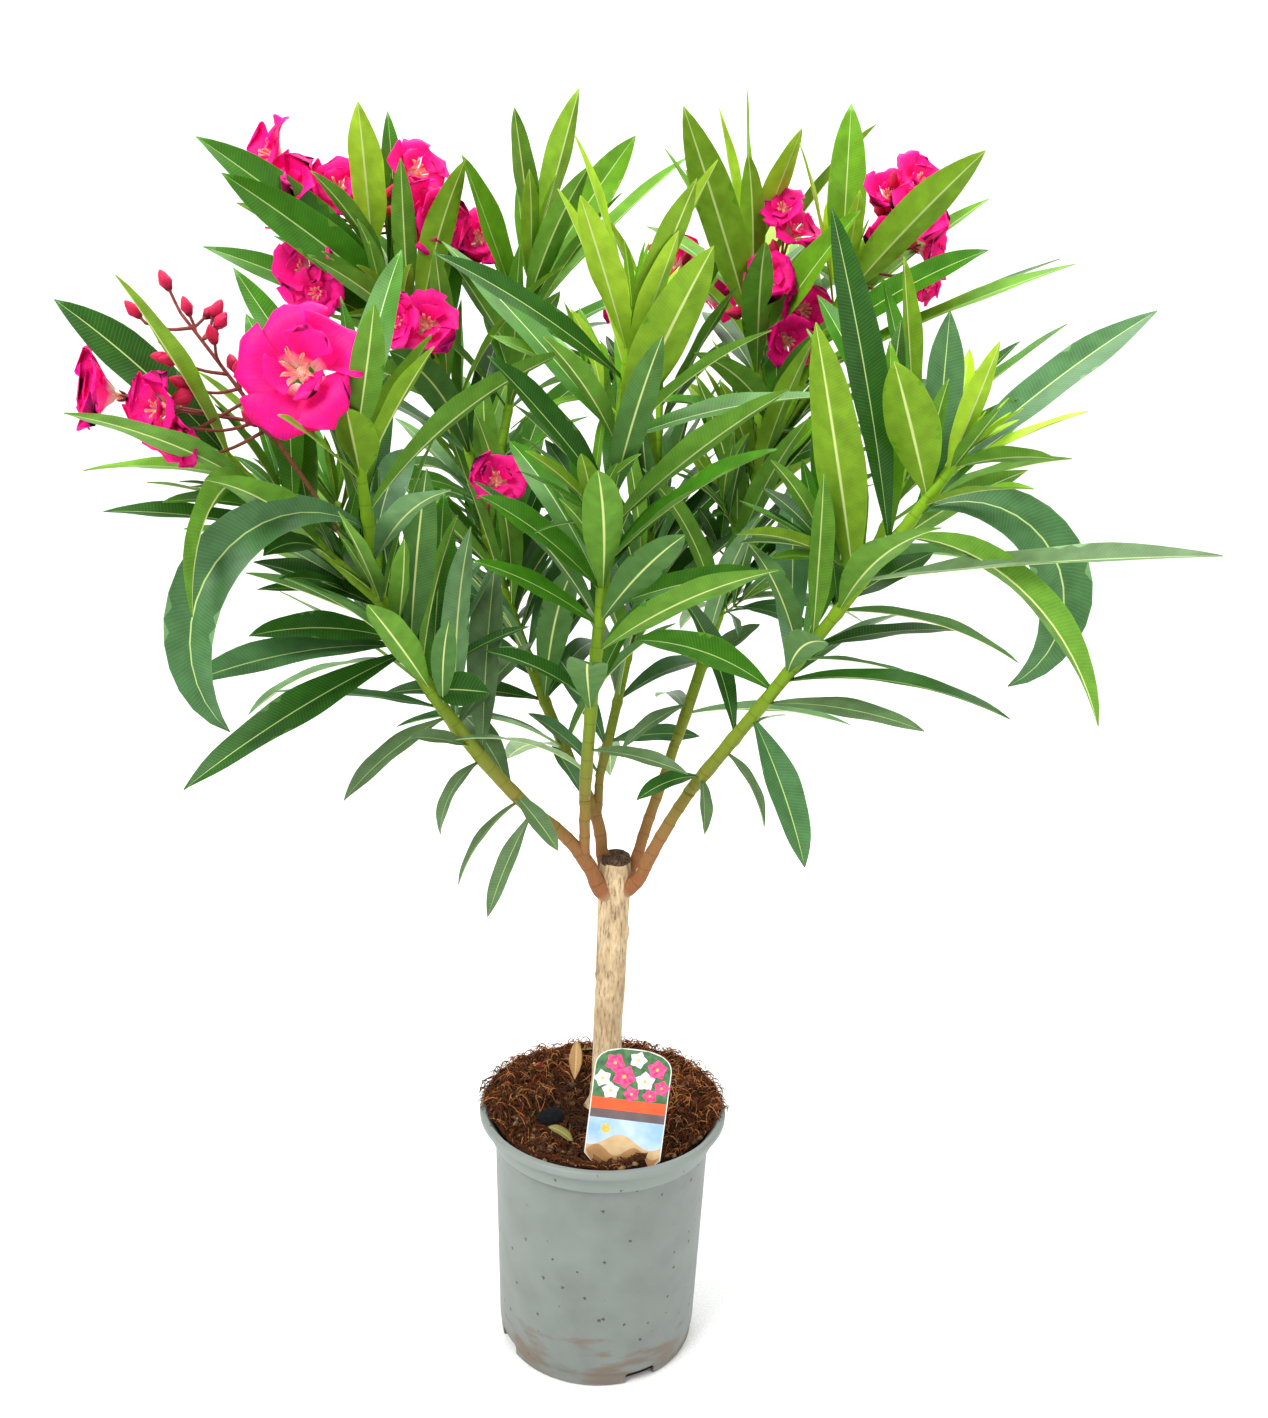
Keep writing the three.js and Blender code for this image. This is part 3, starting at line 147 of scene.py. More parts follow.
# Leafy shoots. Each goes on from a bough's tip or forks from the shoot in `from`.
SHOOTS = {
    "left": ("bough_left", 1, 206, -1, 45, 24, 204, 5.2, 4.8, 34, 20),
    "left_tip": ("left", 1, 262, -10, 17, 17, 112, 4.6, 3.4, 34, 50),
    "left_side": ("left", 0.97, 193, -7, 48, 43, 140, 4, 2.8, 36, 10),
    "left_rear": ("left", 0.62, 155, -10, 46, 22, 150, 4.2, 3, 40, 80),
    "centre": ("bough_centre", 1, 279, 32, 14, 7, 352, 4.7, 3.8, 46, 35),
    "back_left": ("bough_back_left", 1, 132, 9, 41, 24, 213, 4.7, 4.3, 41, 0),
    "outer": ("back_left", 1, 143, 44, 12, 37, 236, 4, 3.2, 38, 15),
    "inner": ("back_left", 0.98, 83, -36, 27, 10, 250, 4.2, 3, 43, 70),
    "rear_left": ("back_left", 0.55, 118, 12, 52, 24, 190, 4, 2.8, 42, 40),
    "back": ("bough_back", 1, 75, -4, 44, 20, 246, 4.1, 3.7, 40, 25),
    "back_tip": ("back", 1, 80, 30, 14, 8, 130, 3.5, 2.8, 36, 5),
    "back_right": ("bough_back_right", 1, 50, -5, 28, 17, 244, 4.7, 4.3, 40, 30),
    "upright": ("back_right", 1, 116, 10, 15, 11, 165, 4.2, 3, 38, 55),
    "leaning": ("back_right", 0.99, 342, 4, 27, 19, 155, 4.2, 3, 36, 0),
    "rear_right": ("back_right", 0.4, 72, -12, 50, 20, 200, 4, 2.8, 42, 20),
    "right": ("bough_right", 1, 335, 9, 36, 33, 312, 5.3, 3.8, 31, 45),
    "right_rear": ("right", 0.5, 38, 8, 48, 20, 170, 4, 2.8, 36, 10),
}
SHOOTS = with_keys(SHOOTS, "from", "at", *LIMB_KEYS, "tip", "spacing", "first")

# Leaves that stand out, by the shoot that bears them.
LEAF_KEYS = ("share", "heading", "rise", "droop", "length", "width", "roll")
MARKED_LEAVES = {
    "left": (
        (0.8, 220, 9, 25, 160, 28, 30), (0.78, 217, -18, 15, 175, 32, 30),
        (0.82, 218, 22, 30, 110, 28, 35), (0.5, 211, -19, 30, 95, 20, 20),
        (0.29, 219, -20, 70, 66, 16, 5), (0.62, 355, 5, 10, 42, 26, -70),
        (0.94, 164, 22, 15, 105, 26, 25), (0.07, 214, -26, 45, 79, 13, 0),
        (0, 229, -48, 20, 85, 16, 10), (0.12, 337, -38, 15, 56, 17, -25),
        (0.35, 225, 24, 15, 64, 15, 35), (0.97, 139, 30, 20, 95, 24, 10),
        (0.45, 52, 43, 20, 95, 24, -5),
    ),
    "left_tip": ((0.41, 249, 17, 105, 212, 36, 0), (0.74, 267, 55, 0, 55, 32, 10)),
    "left_side": (
        (0.77, 239, 29, 20, 150, 28, -20), (0.83, 167, 10, 20, 125, 20, 25),
        (0.77, 263, 27, 120, 150, 26, -85), (0.39, 242, 38, 30, 125, 30, -25),
        (0.29, 248, 39, 60, 80, 22, 25),
    ),
    "centre": (
        (0.76, 305, 57, 10, 152, 35, 15), (0.93, 250, 47, 5, 120, 26, 15),
        (0.94, 293, 47, 5, 130, 24, -15), (0.88, 221, 32, 15, 160, 24, 60),
        (0.77, 162, 49, 10, 180, 28, 25), (0.65, 224, 46, 10, 140, 28, 70),
        (0.47, 217, 45, 20, 120, 26, 55), (0.4, 213, 37, 20, 110, 22, 45),
        (0.77, 6, 23, 20, 150, 26, -30), (0.43, 13, 24, 25, 130, 22, -35),
        (0.6, 354, 47, 15, 151, 26, 40), (0.23, 182, 40, 30, 86, 20, 20),
        (0.12, 327, 9, 20, 86, 16, -20), (0, 122, 38, 20, 60, 16, -10), (0.24, 56, 56, 20, 90, 22, 10),
    ),
    "outer": (
        (0.87, 207, 37, 8, 180, 36, 80), (0.77, 206, 36, 10, 175, 36, 90),
        (0.65, 185, 30, 15, 190, 28, 50), (1, 274, 56, 5, 125, 32, 25),
    ),
    "inner": (
        (0.73, 244, 55, 5, 150, 32, 90), (0.96, 262, 56, 5, 125, 24, 30),
        (0.98, 46, 71, 0, 140, 28, 90), (0.83, 27, 61, 5, 165, 32, -60),
        (0.73, 16, 52, 12, 200, 24, -25),
    ),
    "back": ((0, 213, 46, 20, 90, 18, 45), (0.12, 19, 13, 25, 80, 20, -25)),
    "back_right": ((0.13, 224, -4, 30, 78, 16, 10), (0.23, 47, 34, 20, 85, 20, -10)),
    "upright": (
        (0.59, 244, 50, 5, 200, 34, -15), (0.93, 99, 75, 0, 145, 24, -90),
        (0.93, 292, 52, 5, 120, 24, -10), (0.48, 318, 52, 15, 150, 32, -90),
    ),
    "leaning": (
        (0.88, 84, 77, 5, 155, 32, -20), (0.84, 304, 39, 8, 170, 34, 30),
        (0.73, 13, 44, 10, 165, 22, -15), (0.62, 315, 35, 20, 160, 28, -70),
        (0.46, 327, 27, 10, 220, 24, -35), (0.41, 350, 34, 12, 215, 22, -20),
    ),
    "right": (
        (0.05, 217, 12, 40, 62, 16, 20), (0.05, 275, -30, 45, 46, 14, 35),
        (0.63, 235, 67, 5, 190, 35, -15), (0.75, 200, 78, 8, 220, 30, 80),
        (0.88, 225, 62, 5, 100, 36, -20), (0.9, 77, 78, 5, 120, 30, -30),
        (0.96, 15, 43, 12, 175, 30, -35), (0.96, 307, 18, 20, 80, 18, 30),
        (0.95, 294, 43, 0, 62, 16, -5), (0.84, 283, 54, 170, 228, 38, -5),
        (0.78, 312, 6, 75, 200, 28, 65), (0.66, 315, 17, 6, 240, 28, -15),
        (0.6, 29, 28, 10, 80, 24, -20), (0.46, 14, 16, 20, 115, 20, -20),
        (0.36, 330, 17, 35, 165, 24, -15), (0.29, 331, 12, 25, 120, 22, -20),
        (0.25, 305, -45, 20, 115, 28, -15), (0.33, 177, 38, 40, 108, 30, 40),
        (0.14, 326, -32, 45, 65, 14, -5),
    ),
}

# Blossom clusters. A bloom: share of the stalk, heading, rise and length of its own stalk,
# petal radius, then the heading and rise that it faces.
CLUSTERS = {
    "left_front": ("left", 1, 212, -31, 30, 38, 214, 2.1, 6),
    "left_back": ("outer", 0.95, 175, 0, 30, 10, 60, 2, 3),
    "left_low": ("outer", 0.62, 265, 0, 60, 60, 30, 1.8, 0),
    "middle_low": ("back_left", 0.95, 270, 0, 30, 20, 62, 1.8, 0),
    "right_high": ("leaning", 0.96, 345, 0, 38, 20, 62, 2, 3),
    "right_mid": ("upright", 0.6, 310, 0, 42, 20, 52, 2, 3),
    "rear": ("back_tip", 0.9, 60, 0, 25, 15, 70, 2, 3),
}
CLUSTERS = with_keys(CLUSTERS, "from", "at", *LIMB_KEYS, "buds")
BLOOMS = {
    "left_front": (
        (0.62, 316, 37, 55, 37, 268, 12), (0.62, 186, 9, 100, 26, 215, 10),
        (0.62, 199, 7, 64, 24, 235, 5), (0.7, 214, -29, 48, 17, 240, -20),
    ),
    "left_back": (
        (0.6, 206, 22, 62, 25, 250, 25), (0.8, 190, 30, 78, 27, 215, 30),
        (0.2, 213, -14, 60, 26, 255, 0), (0.8, 60, 25, 44, 25, 290, 30),
        (0.5, 352, 12, 52, 26, 300, 10),
    ),
    "left_low": ((0.9, 280, 30, 22, 24, 275, 20),),
    "middle_low": ((0.95, 300, 10, 20, 21, 280, 25),),
    "right_high": (
        (0.85, 5, 50, 36, 26, 300, 35), (0.7, 320, 20, 34, 26, 285, 15),
        (0.4, 340, 5, 46, 19, 330, -10), (0.2, 334, -12, 58, 15, 320, -25),
    ),
    "right_mid": (
        (0.9, 320, 70, 40, 24, 300, 40), (0.8, 250, 15, 26, 22, 270, 15),
        (0.5, 330, -5, 30, 23, 290, 5), (0.2, 300, -20, 42, 22, 280, -10),
    ),
    "rear": (
        (0.9, 90, 40, 34, 25, 85, 30), (0.7, 20, 20, 38, 24, 30, 20), (0.6, 150, 15, 40, 25, 140, 10),
    ),
}

# Blooms that only the looks carry, in the same form and on the same stalks.
MORE_BLOOMS = {
    "left_back": (
        (0.9, 232, 25, 21, 22, 270, 20), (0.5, 210, 17, 68, 20, 230, 0), (0.9, 8, 30, 54, 23, 300, 20),
        (0.6, 355, 5, 61, 21, 310, 0), (0.3, 226, -35, 62, 19, 265, -10),
        (0.8, 10, -9, 95, 20, 280, 10),
    ),
    "left_low": ((0.8, 231, 25, 33, 20, 250, 10),),
    "right_high": ((0.5, 295, 14, 20, 18, 260, -5), (0.9, 254, 66, 17, 21, 270, 30)),
    "right_mid": ((0.9, 267, 79, 54, 19, 250, 30),),
}

# Side branches of the flower stalks: share of the stalk, heading, rise, length and buds.
BRANCHES = {
    "left_front": (
        (0.95, 193, 3, 27, 1), (0.91, 0, 30, 9, 2), (0.79, 210, 17, 36, 3), (0.74, 204, -4, 25, 2),
        (0.63, 212, -6, 48, 1), (0.6, 204, -19, 56, 1),
    ),
    "left_back": ((0.7, 330, 20, 24, 2),),
    "right_high": ((0.05, 335, -8, 50, 3), (0.5, 20, 20, 30, 2)),
    "right_mid": ((0.3, 240, 10, 26, 2),),
}

# Leaves that only the looks carry, written as the marked ones.
MORE_LEAVES = {
    "left_side": ((0.97, 203, 51, 15, 135, 32, 65),),
}

# Hanging leaves that the looks arch more widely.
ARCHED_LEAVES = {
    "left_tip-marked0": (222, 35, 170, 236, 60),
    "right-marked9": (336, 33, 180, 204, -62),
}
ARCHED_LEAVES = with_keys(ARCHED_LEAVES, "heading", "rise", "droop", "length", "roll")

# Share of the finer growth on shoots that stand open to the sky.
OPEN_SHOOTS = {"right": 0.3, "right_rear": 0.15, "left_side": 0.5, "upright": 0.6, "leaning": 0.6}

# Leaf form and growth, as in the solids.
LEAF_LENGTH = 154
LEAF_SLENDER = 0.205
OUTLINE = (
    (0, 0.13), (0.08, 0.17), (0.25, 0.68), (0.4, 0.94), (0.52, 1), (0.65, 0.92), (0.8, 0.62),
    (0.92, 0.27), (1, 0),
)
LEAF_STEPS = 12
WHORL = 3
WHORL_TURN = 60
FIRST_NODE = 24
LAST_NODE = 7
SPREAD = (78, 30)
DROOP = (46, 6)
JITTER = {
    "turn": 14, "spread": 12, "droop": 12, "sweep": 12, "roll": 40, "length": 0.16, "width": 0.12,
}
GROWN = {"least": 0.6, "from": 0.1, "to": 0.85}
ARCH_RISE = 0.35
NODE_PITCH = (1.1, 0.72)
MARKED_REACH = 0.6
MARKED_TURN = 55
CLEAR_OTHER = 4.8
CLEAR_OWN = 1.2
CLEAR_LIMB = 2.6
CLEAR_OWN_LIMB = 0.5
ROOT_SHARE = 0.12
OWN_SHARE = 0.16
OWN_ROOT = 15
CELLS = 6
SHIFTS = (
    (0, 0), (12, 0), (-12, 0), (0, 12), (0, -12), (24, 4), (-24, 4), (12, 16), (-12, 16),
    (36, 0), (-36, 0), (24, -16), (-24, -16),
)
MARKED_SHIFT = 0.3
LOWEST_LEAF = 372
SEED = 20117
GAP = 0.3
PATH_STEPS = 10
PETALS = 5
BLOOM_THROAT = 0.3
BLOOM_TUBE = 0.62
BLOOM_CORE = 0.6
BUD_LENGTH = 15
BUD_RADIUS = 3.2
BUDS_FROM = 0.45
BUD_RISE = (15, 65)
BUD_STALK = (24, 15)
GOLDEN_TURN = 137.5
PEDICEL_RADIUS = 1.1
CALYX_RADIUS = 2.6
MOST_LEAVES = 2000
SAMPLE_SHARES = np.repeat(np.arange(LEAF_STEPS + 1) / LEAF_STEPS, 3)
CELL_SHARES = (np.arange(CELLS) + 0.5) / CELLS
AXIS_X = np.array((1.0, 0.0, 0.0))
AXIS_Y = np.array((0.0, 1.0, 0.0))


def mix(a, b, t):
    return a + (b - a) * t


def turned(radius, turn, height):
    """Points at a radius and a turn in radians about the +Z axis, at a height."""
    parts = np.broadcast_arrays(radius * np.cos(turn), radius * np.sin(turn), height)
    return np.stack(parts, axis=-1)


def direction(heading, rise):
    """Unit vectors of headings and rises in degrees."""
    rise = np.radians(rise)
    return turned(np.cos(rise), np.radians(heading), np.sin(rise))


def unit(vectors):
    return vectors / np.linalg.norm(vectors, axis=-1, keepdims=True)


def swing(start, toward, angle):
    """A vector turned by an angle in radians towards another that stands square to it."""
    return start * math.cos(angle) + toward * math.sin(angle)


def bearing(toward):
    """Heading and rise of a unit vector in degrees."""
    return math.degrees(math.atan2(toward[1], toward[0])), math.degrees(math.asin(toward[2]))


def make_random(seed):
    state = [seed]

    def draw():
        state[0] = (state[0] * 16807) % 2147483647
        return state[0] / 2147483647

    return draw


def limb_path(limb, start, steps=PATH_STEPS):
    """Points along a limb whose lean and heading change evenly."""
    shares = (np.arange(steps) + 0.5) / steps
    lean = mix(limb["lean"], limb["endLean"], shares)
    heading = limb["heading"] + limb["turn"] * shares
    moves = direction(heading, 90 - lean) * (limb["length"] / steps)
    return np.vstack((start, start + np.cumsum(moves, axis=0)))


def path_point(path, share):
    place = min(max(share, 0), 1) * (len(path) - 1)
    index = min(int(place), len(path) - 2)
    return mix(path[index], path[index + 1], place - index)


def path_tangent(path, share):
    index = min(int(share * (len(path) - 1)), len(path) - 2)
    return unit(path[index + 1] - path[index])


def frame_of(tangent, limit=0.9):
    """Two unit vectors square to a direction, found from +X where it runs close to the Y axis."""
    side = unit(np.cross(AXIS_Y if abs(tangent[1]) < limit else AXIS_X, tangent))
    return side, np.cross(side, tangent)


def leaf_direction(leaf, shares):
    heading = leaf["heading"] + leaf["sweep"] * shares
    return direction(heading, leaf["rise"] - leaf["droop"] * shares)


def read_table(table, shares):
    """Values between the rows (share, value) of a table."""
    return np.interp(shares, *np.transpose(table))


def leaf_frames(leaf, steps=LEAF_STEPS):
    """Positions, tangents, sides and normals along a leaf's midrib, and its half widths."""
    shares = np.arange(steps + 1) / steps
    tangent = leaf_direction(leaf, shares)
    moves = leaf_direction(leaf, (np.arange(steps) + 0.5) / steps) * (leaf["length"] / steps)
    position = np.vstack((leaf["base"], leaf["base"] + np.cumsum(moves, axis=0)))
    h = np.radians(leaf["heading"] + leaf["sweep"] * shares)
    level = np.stack((np.sin(h), -np.cos(h), np.zeros_like(h)), axis=1)
    side = swing(level, np.cross(level, tangent), math.radians(leaf["roll"]))
    half = leaf["width"] / 2 * read_table(OUTLINE, shares)
    return {
        "shares": shares, "position": position, "tangent": tangent, "side": side,
        "normal": np.cross(side, tangent), "half": half,
    }


def leaf_place(leaf):
    """A leaf's place in the crown: samples on it, flat cells that cover it and a ball round it."""
    f = leaf_frames(leaf)
    edges = np.array((-1.0, 0.0, 1.0))[None, :, None]
    samples = f["position"][:, None] + f["side"][:, None] * f["half"][:, None, None] * edges
    stride = LEAF_STEPS // CELLS
    a, b = f["position"][:-1:stride], f["position"][stride::stride]
    middle = slice(stride // 2, None, stride)
    centre = f["position"][LEAF_STEPS // 2]
    points = samples.reshape(-1, 3)
    cells = (
        (a + b) / 2, unit(b - a), f["side"][middle], f["normal"][middle],
        np.linalg.norm(b - a, axis=1) / 2, f["half"][middle],
    )
    return {
        "samples": points,
        "cells": cells,
        "middle": tuple(centre),
        "reach": np.linalg.norm(points - centre, axis=1).max(),
    }


def samples_meet_cells(samples, cells, room):
    """True where a sample lies within room of a flat cell; `cells` holds its six arrays."""
    centre, tangent, side, normal, along, across = cells
    offset = samples[:, None] - centre[None]
    away_along = np.abs(np.einsum("sck,ck->sc", offset, tangent)) - along
    away_across = np.abs(np.einsum("sck,ck->sc", offset, side)) - across
    away = np.einsum("sck,ck->sc", offset, normal)
    gap = np.maximum(away_along, 0) ** 2 + np.maximum(away_across, 0) ** 2 + away**2
    return bool((gap < room**2).any())


class Standing:
    """The leaves that stand, in arrays, so that a new leaf is tested against all of them at once."""

    def __init__(self):
        self.count = 0
        sizes = ((3,), (), (len(SAMPLE_SHARES), 3), *[(CELLS, 3)] * 4, *[(CELLS,)] * 2)
        self.stores = [np.empty((MOST_LEAVES, *size)) for size in sizes]
        self.stores += [np.empty(MOST_LEAVES, object) for _ in ("mass", "node")]

    def add(self, leaf):
        place = leaf["place"]
        row = (place["middle"], place["reach"], place["samples"], *place["cells"])
        for store, values in zip(self.stores, (*row, leaf["mass"], leaf["node"])):
            store[self.count] = values
        self.count += 1

    def meets(self, leaf, clear_other, clear_own):
        """True where the leaf comes too near another that isn't of its own whorl."""
        place = leaf["place"]
        stores = (store[: self.count] for store in self.stores)
        middle, reach, samples, *cells, mass, node = stores
        own = mass == leaf["mass"]
        apart = np.linalg.norm(middle - place["middle"], axis=1)
        room = np.where(own, clear_own, clear_other)
        near = (apart <= reach + place["reach"] + room) & (node != leaf["node"])
        for chosen, start, room in ((own, OWN_SHARE, clear_own), (~own, 0, clear_other)):
            ids = np.flatnonzero(near & chosen)
            if not len(ids):
                continue
            of_samples, of_cells = SAMPLE_SHARES >= start, CELL_SHARES >= start
            theirs = [joined((values[ids][:, of_cells],), *values.shape[2:]) for values in cells]
            if samples_meet_cells(place["samples"][of_samples], theirs, room):
                return True
            mine = [values[of_cells] for values in place["cells"]]
            if samples_meet_cells(samples[ids][:, of_samples].reshape(-1, 3), mine, room):
                return True
        return False


def segment_distances(points, start, end):
    """Distances of points from each of several segments."""
    span = end - start
    along = np.einsum("psk,sk->ps", points[:, None] - start[None], span)
    along = np.clip(along / (span * span).sum(axis=1), 0, 1)
    nearest = start[None] + along[..., None] * span[None]
    return np.linalg.norm(points[:, None] - nearest, axis=2)


def leaf_meets_limb(leaf, limb):
    own = leaf["mass"] == limb["mass"]
    room = CLEAR_OWN_LIMB if own else CLEAR_LIMB
    start = max(OWN_SHARE, OWN_ROOT / leaf["length"]) if own else ROOT_SHARE
    place = leaf["place"]
    far = math.dist(place["middle"], limb["middle"])
    if far > place["reach"] + limb["reach"] + limb["radius"] + room:
        return False
    samples = place["samples"][SAMPLE_SHARES >= start]
    path = limb["path"]
    return bool((segment_distances(samples, path[:-1], path[1:]) < limb["radius"] + room).any())


def leaf_meets_bloom(leaf, bloom):
    own = leaf["mass"] == bloom["mass"]
    reach = bloom["radius"] * (BLOOM_CORE if own else 1) + (0 if own else CLEAR_OTHER)
    samples = leaf["place"]["samples"]
    return bool((np.linalg.norm(samples - bloom["centre"], axis=1) < reach).any())


def grow_skeleton():
    """Trunk, boughs and shoots, each with its path."""
    shares = np.arange(PATH_STEPS + 1)[:, None] / PATH_STEPS
    path = mix(TRUNK_BASE, TRUNK_TOP, shares)
    limbs = {"trunk": {"name": "trunk", "mass": "trunk", "radius": TRUNK_RADIUS, "path": path}}
    for name, bough in BOUGHS.items():
        path = limb_path(bough, np.array(bough["start"], float))
        limbs[name] = {**bough, "name": name, "mass": name, "path": path}
    for name, shoot in SHOOTS.items():
        parent = limbs[shoot["from"]]
        start = path_point(parent["path"], shoot["at"])
        if shoot["from"] in BOUGHS:
            start = start + direction(shoot["heading"], 90 - shoot["lean"]) * GAP
        mass = parent["mass"].replace("bough", "foliage")
        limbs[name] = {**shoot, "name": name, "mass": mass, "path": limb_path(shoot, start)}
    return limbs


def bloom_of(mass, path, row):
    along, heading, rise, reach, radius, face_heading, face_rise = row
    foot = path_point(path, along)
    centre = foot + direction(heading, rise) * reach
    facing = direction(face_heading, face_rise)
    return {"mass": mass, "foot": foot, "centre": centre, "radius": radius, "facing": facing}


def grow_clusters(limbs):
    """Blooms, and the stalks of clusters and buds."""
    blooms, stalks = [], []
    for name, cluster in CLUSTERS.items():
        parent = limbs[cluster["from"]]
        mass = parent["mass"]
        path = limb_path(cluster, path_point(parent["path"], cluster["at"]))
        stalks.append({"name": name, "mass": mass, "path": path, "radius": cluster["radius"]})
        blooms += [bloom_of(mass, path, row) for row in BLOOMS[name]]
        for i in range(cluster["buds"]):
            share = mix(BUDS_FROM, 1, (i + 1) / cluster["buds"])
            foot = path_point(path, share)
            heading = cluster["heading"] + GOLDEN_TURN * i
            toward = direction(heading, mix(*BUD_RISE, share))
            end = foot + toward * mix(*BUD_STALK, share)
            bud_path = np.array((foot, end))
            stalks.append({"mass": mass, "path": bud_path, "toward": toward, "radius": PEDICEL_RADIUS})
    return blooms, stalks


def shoot_nodes(shoot):
    nodes = []
    end = shoot["length"] - LAST_NODE
    along = FIRST_NODE
    while along < end - shoot["spacing"] / 2:
        nodes.append(along / shoot["length"])
        along += shoot["spacing"] * mix(*NODE_PITCH, along / shoot["length"])
    nodes.append(end / shoot["length"])
    return nodes


def leaf_of(shoot, node, row, sweep=0, marked=False):
    """A leaf on a shoot, from a row in the form of the marked ones."""
    leaf = dict(zip(LEAF_KEYS, row))
    base = path_point(shoot["path"], leaf["share"])
    return {
        **leaf, "mass": shoot["mass"], "shoot": shoot["name"], "node": f"{shoot['name']}{node}",
        "base": base, "sweep": sweep, "marked": marked,
    }


def away_from(shoot, share, around, spread):
    """A direction off a shoot: an angle round it and one away from it, both in radians."""
    tangent = path_tangent(shoot["path"], share)
    return swing(tangent, swing(*frame_of(tangent), around), spread)


def whorl_leaf(shoot, share, node, turn, random):
    """One leaf of a whorl, with all its random numbers drawn before any test."""

    def jitter(key):
        return (random() - 0.5) * 2 * JITTER[key]

    around = math.radians(turn + jitter("turn"))
    spread = math.radians(mix(*SPREAD, math.sqrt(share)) + jitter("spread"))
    heading, rise = bearing(away_from(shoot, share, around, spread))
    droop = mix(*DROOP, share) + jitter("droop")
    grown = math.sin(math.pi * mix(GROWN["from"], GROWN["to"], share))
    length = LEAF_LENGTH * mix(GROWN["least"], 1, grown) * (1 + jitter("length"))
    sweep = jitter("sweep")
    roll = jitter("roll")
    width = length * LEAF_SLENDER * (1 + jitter("width"))
    row = (share, heading, rise + droop * ARCH_RISE, droop, length, width, roll)
    return leaf_of(shoot, node, row, sweep)


def whorl(shoot, share, place, node, random):
    """The leaves of a whorl one by one, as its place along the shoot turns them."""
    for i in range(WHORL):
        turn = shoot["first"] + place * WHORL_TURN + i * 360 / WHORL
        yield whorl_leaf(shoot, share, node, turn, random)


def beside_marked(leaf, shoot, rows):
    for row in rows:
        apart = abs(row[0] - leaf["share"]) * shoot["length"]
        turn = abs((row[1] - leaf["heading"] + 540) % 360 - 180)
        if apart < shoot["spacing"] * MARKED_REACH and turn < MARKED_TURN:
            return True
    return False


def leaf_fits(leaf, crown, clear_other, clear_own, box):
    samples = leaf["place"]["samples"]
    if samples[:, 2].min() <= LOWEST_LEAF:
        return False
    if box is not None and ((samples < box[0]).any() or (samples > box[1]).any()):
        return False
    if any(leaf_meets_limb(leaf, limb) for limb in crown["in_way"]):
        return False
    if any(leaf_meets_bloom(leaf, bloom) for bloom in crown["blooms"]):
        return False
    return not crown["standing"].meets(leaf, clear_other, clear_own)


def place_leaf(leaf, crown, clear_other=CLEAR_OTHER, clear_own=CLEAR_OWN, box=None):
    """Tries the leaf as it grows, then a little turned or raised; it is skipped if none fits."""
    share = MARKED_SHIFT if leaf["marked"] else 1
    for turn, lift in SHIFTS:
        tried = {**leaf, "heading": leaf["heading"] + turn * share, "rise": leaf["rise"] + lift * share}
        tried["place"] = leaf_place(tried)
        if leaf_fits(tried, crown, clear_other, clear_own, box):
            crown["leaves"].append(tried)
            crown["standing"].add(tried)
            return True
    return False


def ball_round(limb):
    """Adds the middle and the reach of a ball round a limb, which rule out far pairs quickly."""
    middle = limb["path"].mean(axis=0)
    limb["middle"] = tuple(middle)
    limb["reach"] = np.linalg.norm(limb["path"] - middle, axis=1).max()
    return limb


def grow_crown():
    """The limbs, leaves, stalks and blooms that the solids have too."""
    limbs = grow_skeleton()
    blooms, stalks = grow_clusters(limbs)
    in_way = [ball_round(limb) for limb in (*limbs.values(), *stalks)]
    crown = {"limbs": limbs, "blooms": blooms, "stalks": stalks, "leaves": [], "in_way": in_way}
    crown["standing"] = Standing()
    random = make_random(SEED)
    for name, rows in MARKED_LEAVES.items():
        for index, row in enumerate(rows):
            place_leaf(leaf_of(limbs[name], f"-marked{index}", row, marked=True), crown)
    for name in SHOOTS:
        shoot = limbs[name]
        rows = MARKED_LEAVES.get(name, [])
        for index, share in enumerate(shoot_nodes(shoot)):
            for leaf in whorl(shoot, share, index, index, random):
                if not beside_marked(leaf, shoot, rows):
                    place_leaf(leaf, crown)
    return crown


# Finer growth, which only the looks carry: leaves between the whorls, side sprigs and tip tufts.
FINE_SEED = 40961
FINE_CLEAR = 1.8
FINE_CLEAR_OWN = 1.0
FINE_LENGTH = (0.6, 0.9)
SPRIG_LENGTH = (24, 52)
SPRIG_RADIUS = 1.3
SPRIG_LEAN = 62
SPRIG_LEAF = (0.36, 0.58)
SPRIG_NODES = (0.45, 0.75, 1)
SPRIG_KEPT = (0, 0.6)
BETWEEN_FROM = 0.38
TUFT_LEAVES = 6
TUFT_LENGTH = (26, 64)
TUFT_SPREAD = (6, 26)
TUFT_DROOP = 8
TUFT_SLENDER = 0.8
BOX_MARGIN = 4


def solid_box():
    """The box of the whole solid model in millimetres, a little inside."""
    return np.array(CAD_BOX[0]) / MM + BOX_MARGIN, np.array(CAD_BOX[1]) / MM - BOX_MARGIN


def scale_leaf(leaf, share):
    return {**leaf, "length": leaf["length"] * share, "width": leaf["width"] * share}


def add_fine_leaf(leaf, crown):
    place_leaf(leaf, crown, FINE_CLEAR, FINE_CLEAR_OWN, solid_box())


def grow_between(shoot, crown, random):
    """Smaller leaves halfway between the whorls."""
    nodes = shoot_nodes(shoot)
    for index in range(len(nodes) - 1):
        share = (nodes[index] + nodes[index + 1]) / 2
        if share < BETWEEN_FROM or random() > OPEN_SHOOTS.get(shoot["name"], 1):
            continue
        for leaf in whorl(shoot, share, index + 0.5, f"{index}-between", random):
            add_fine_leaf(scale_leaf(leaf, mix(*FINE_LENGTH, random())), crown)


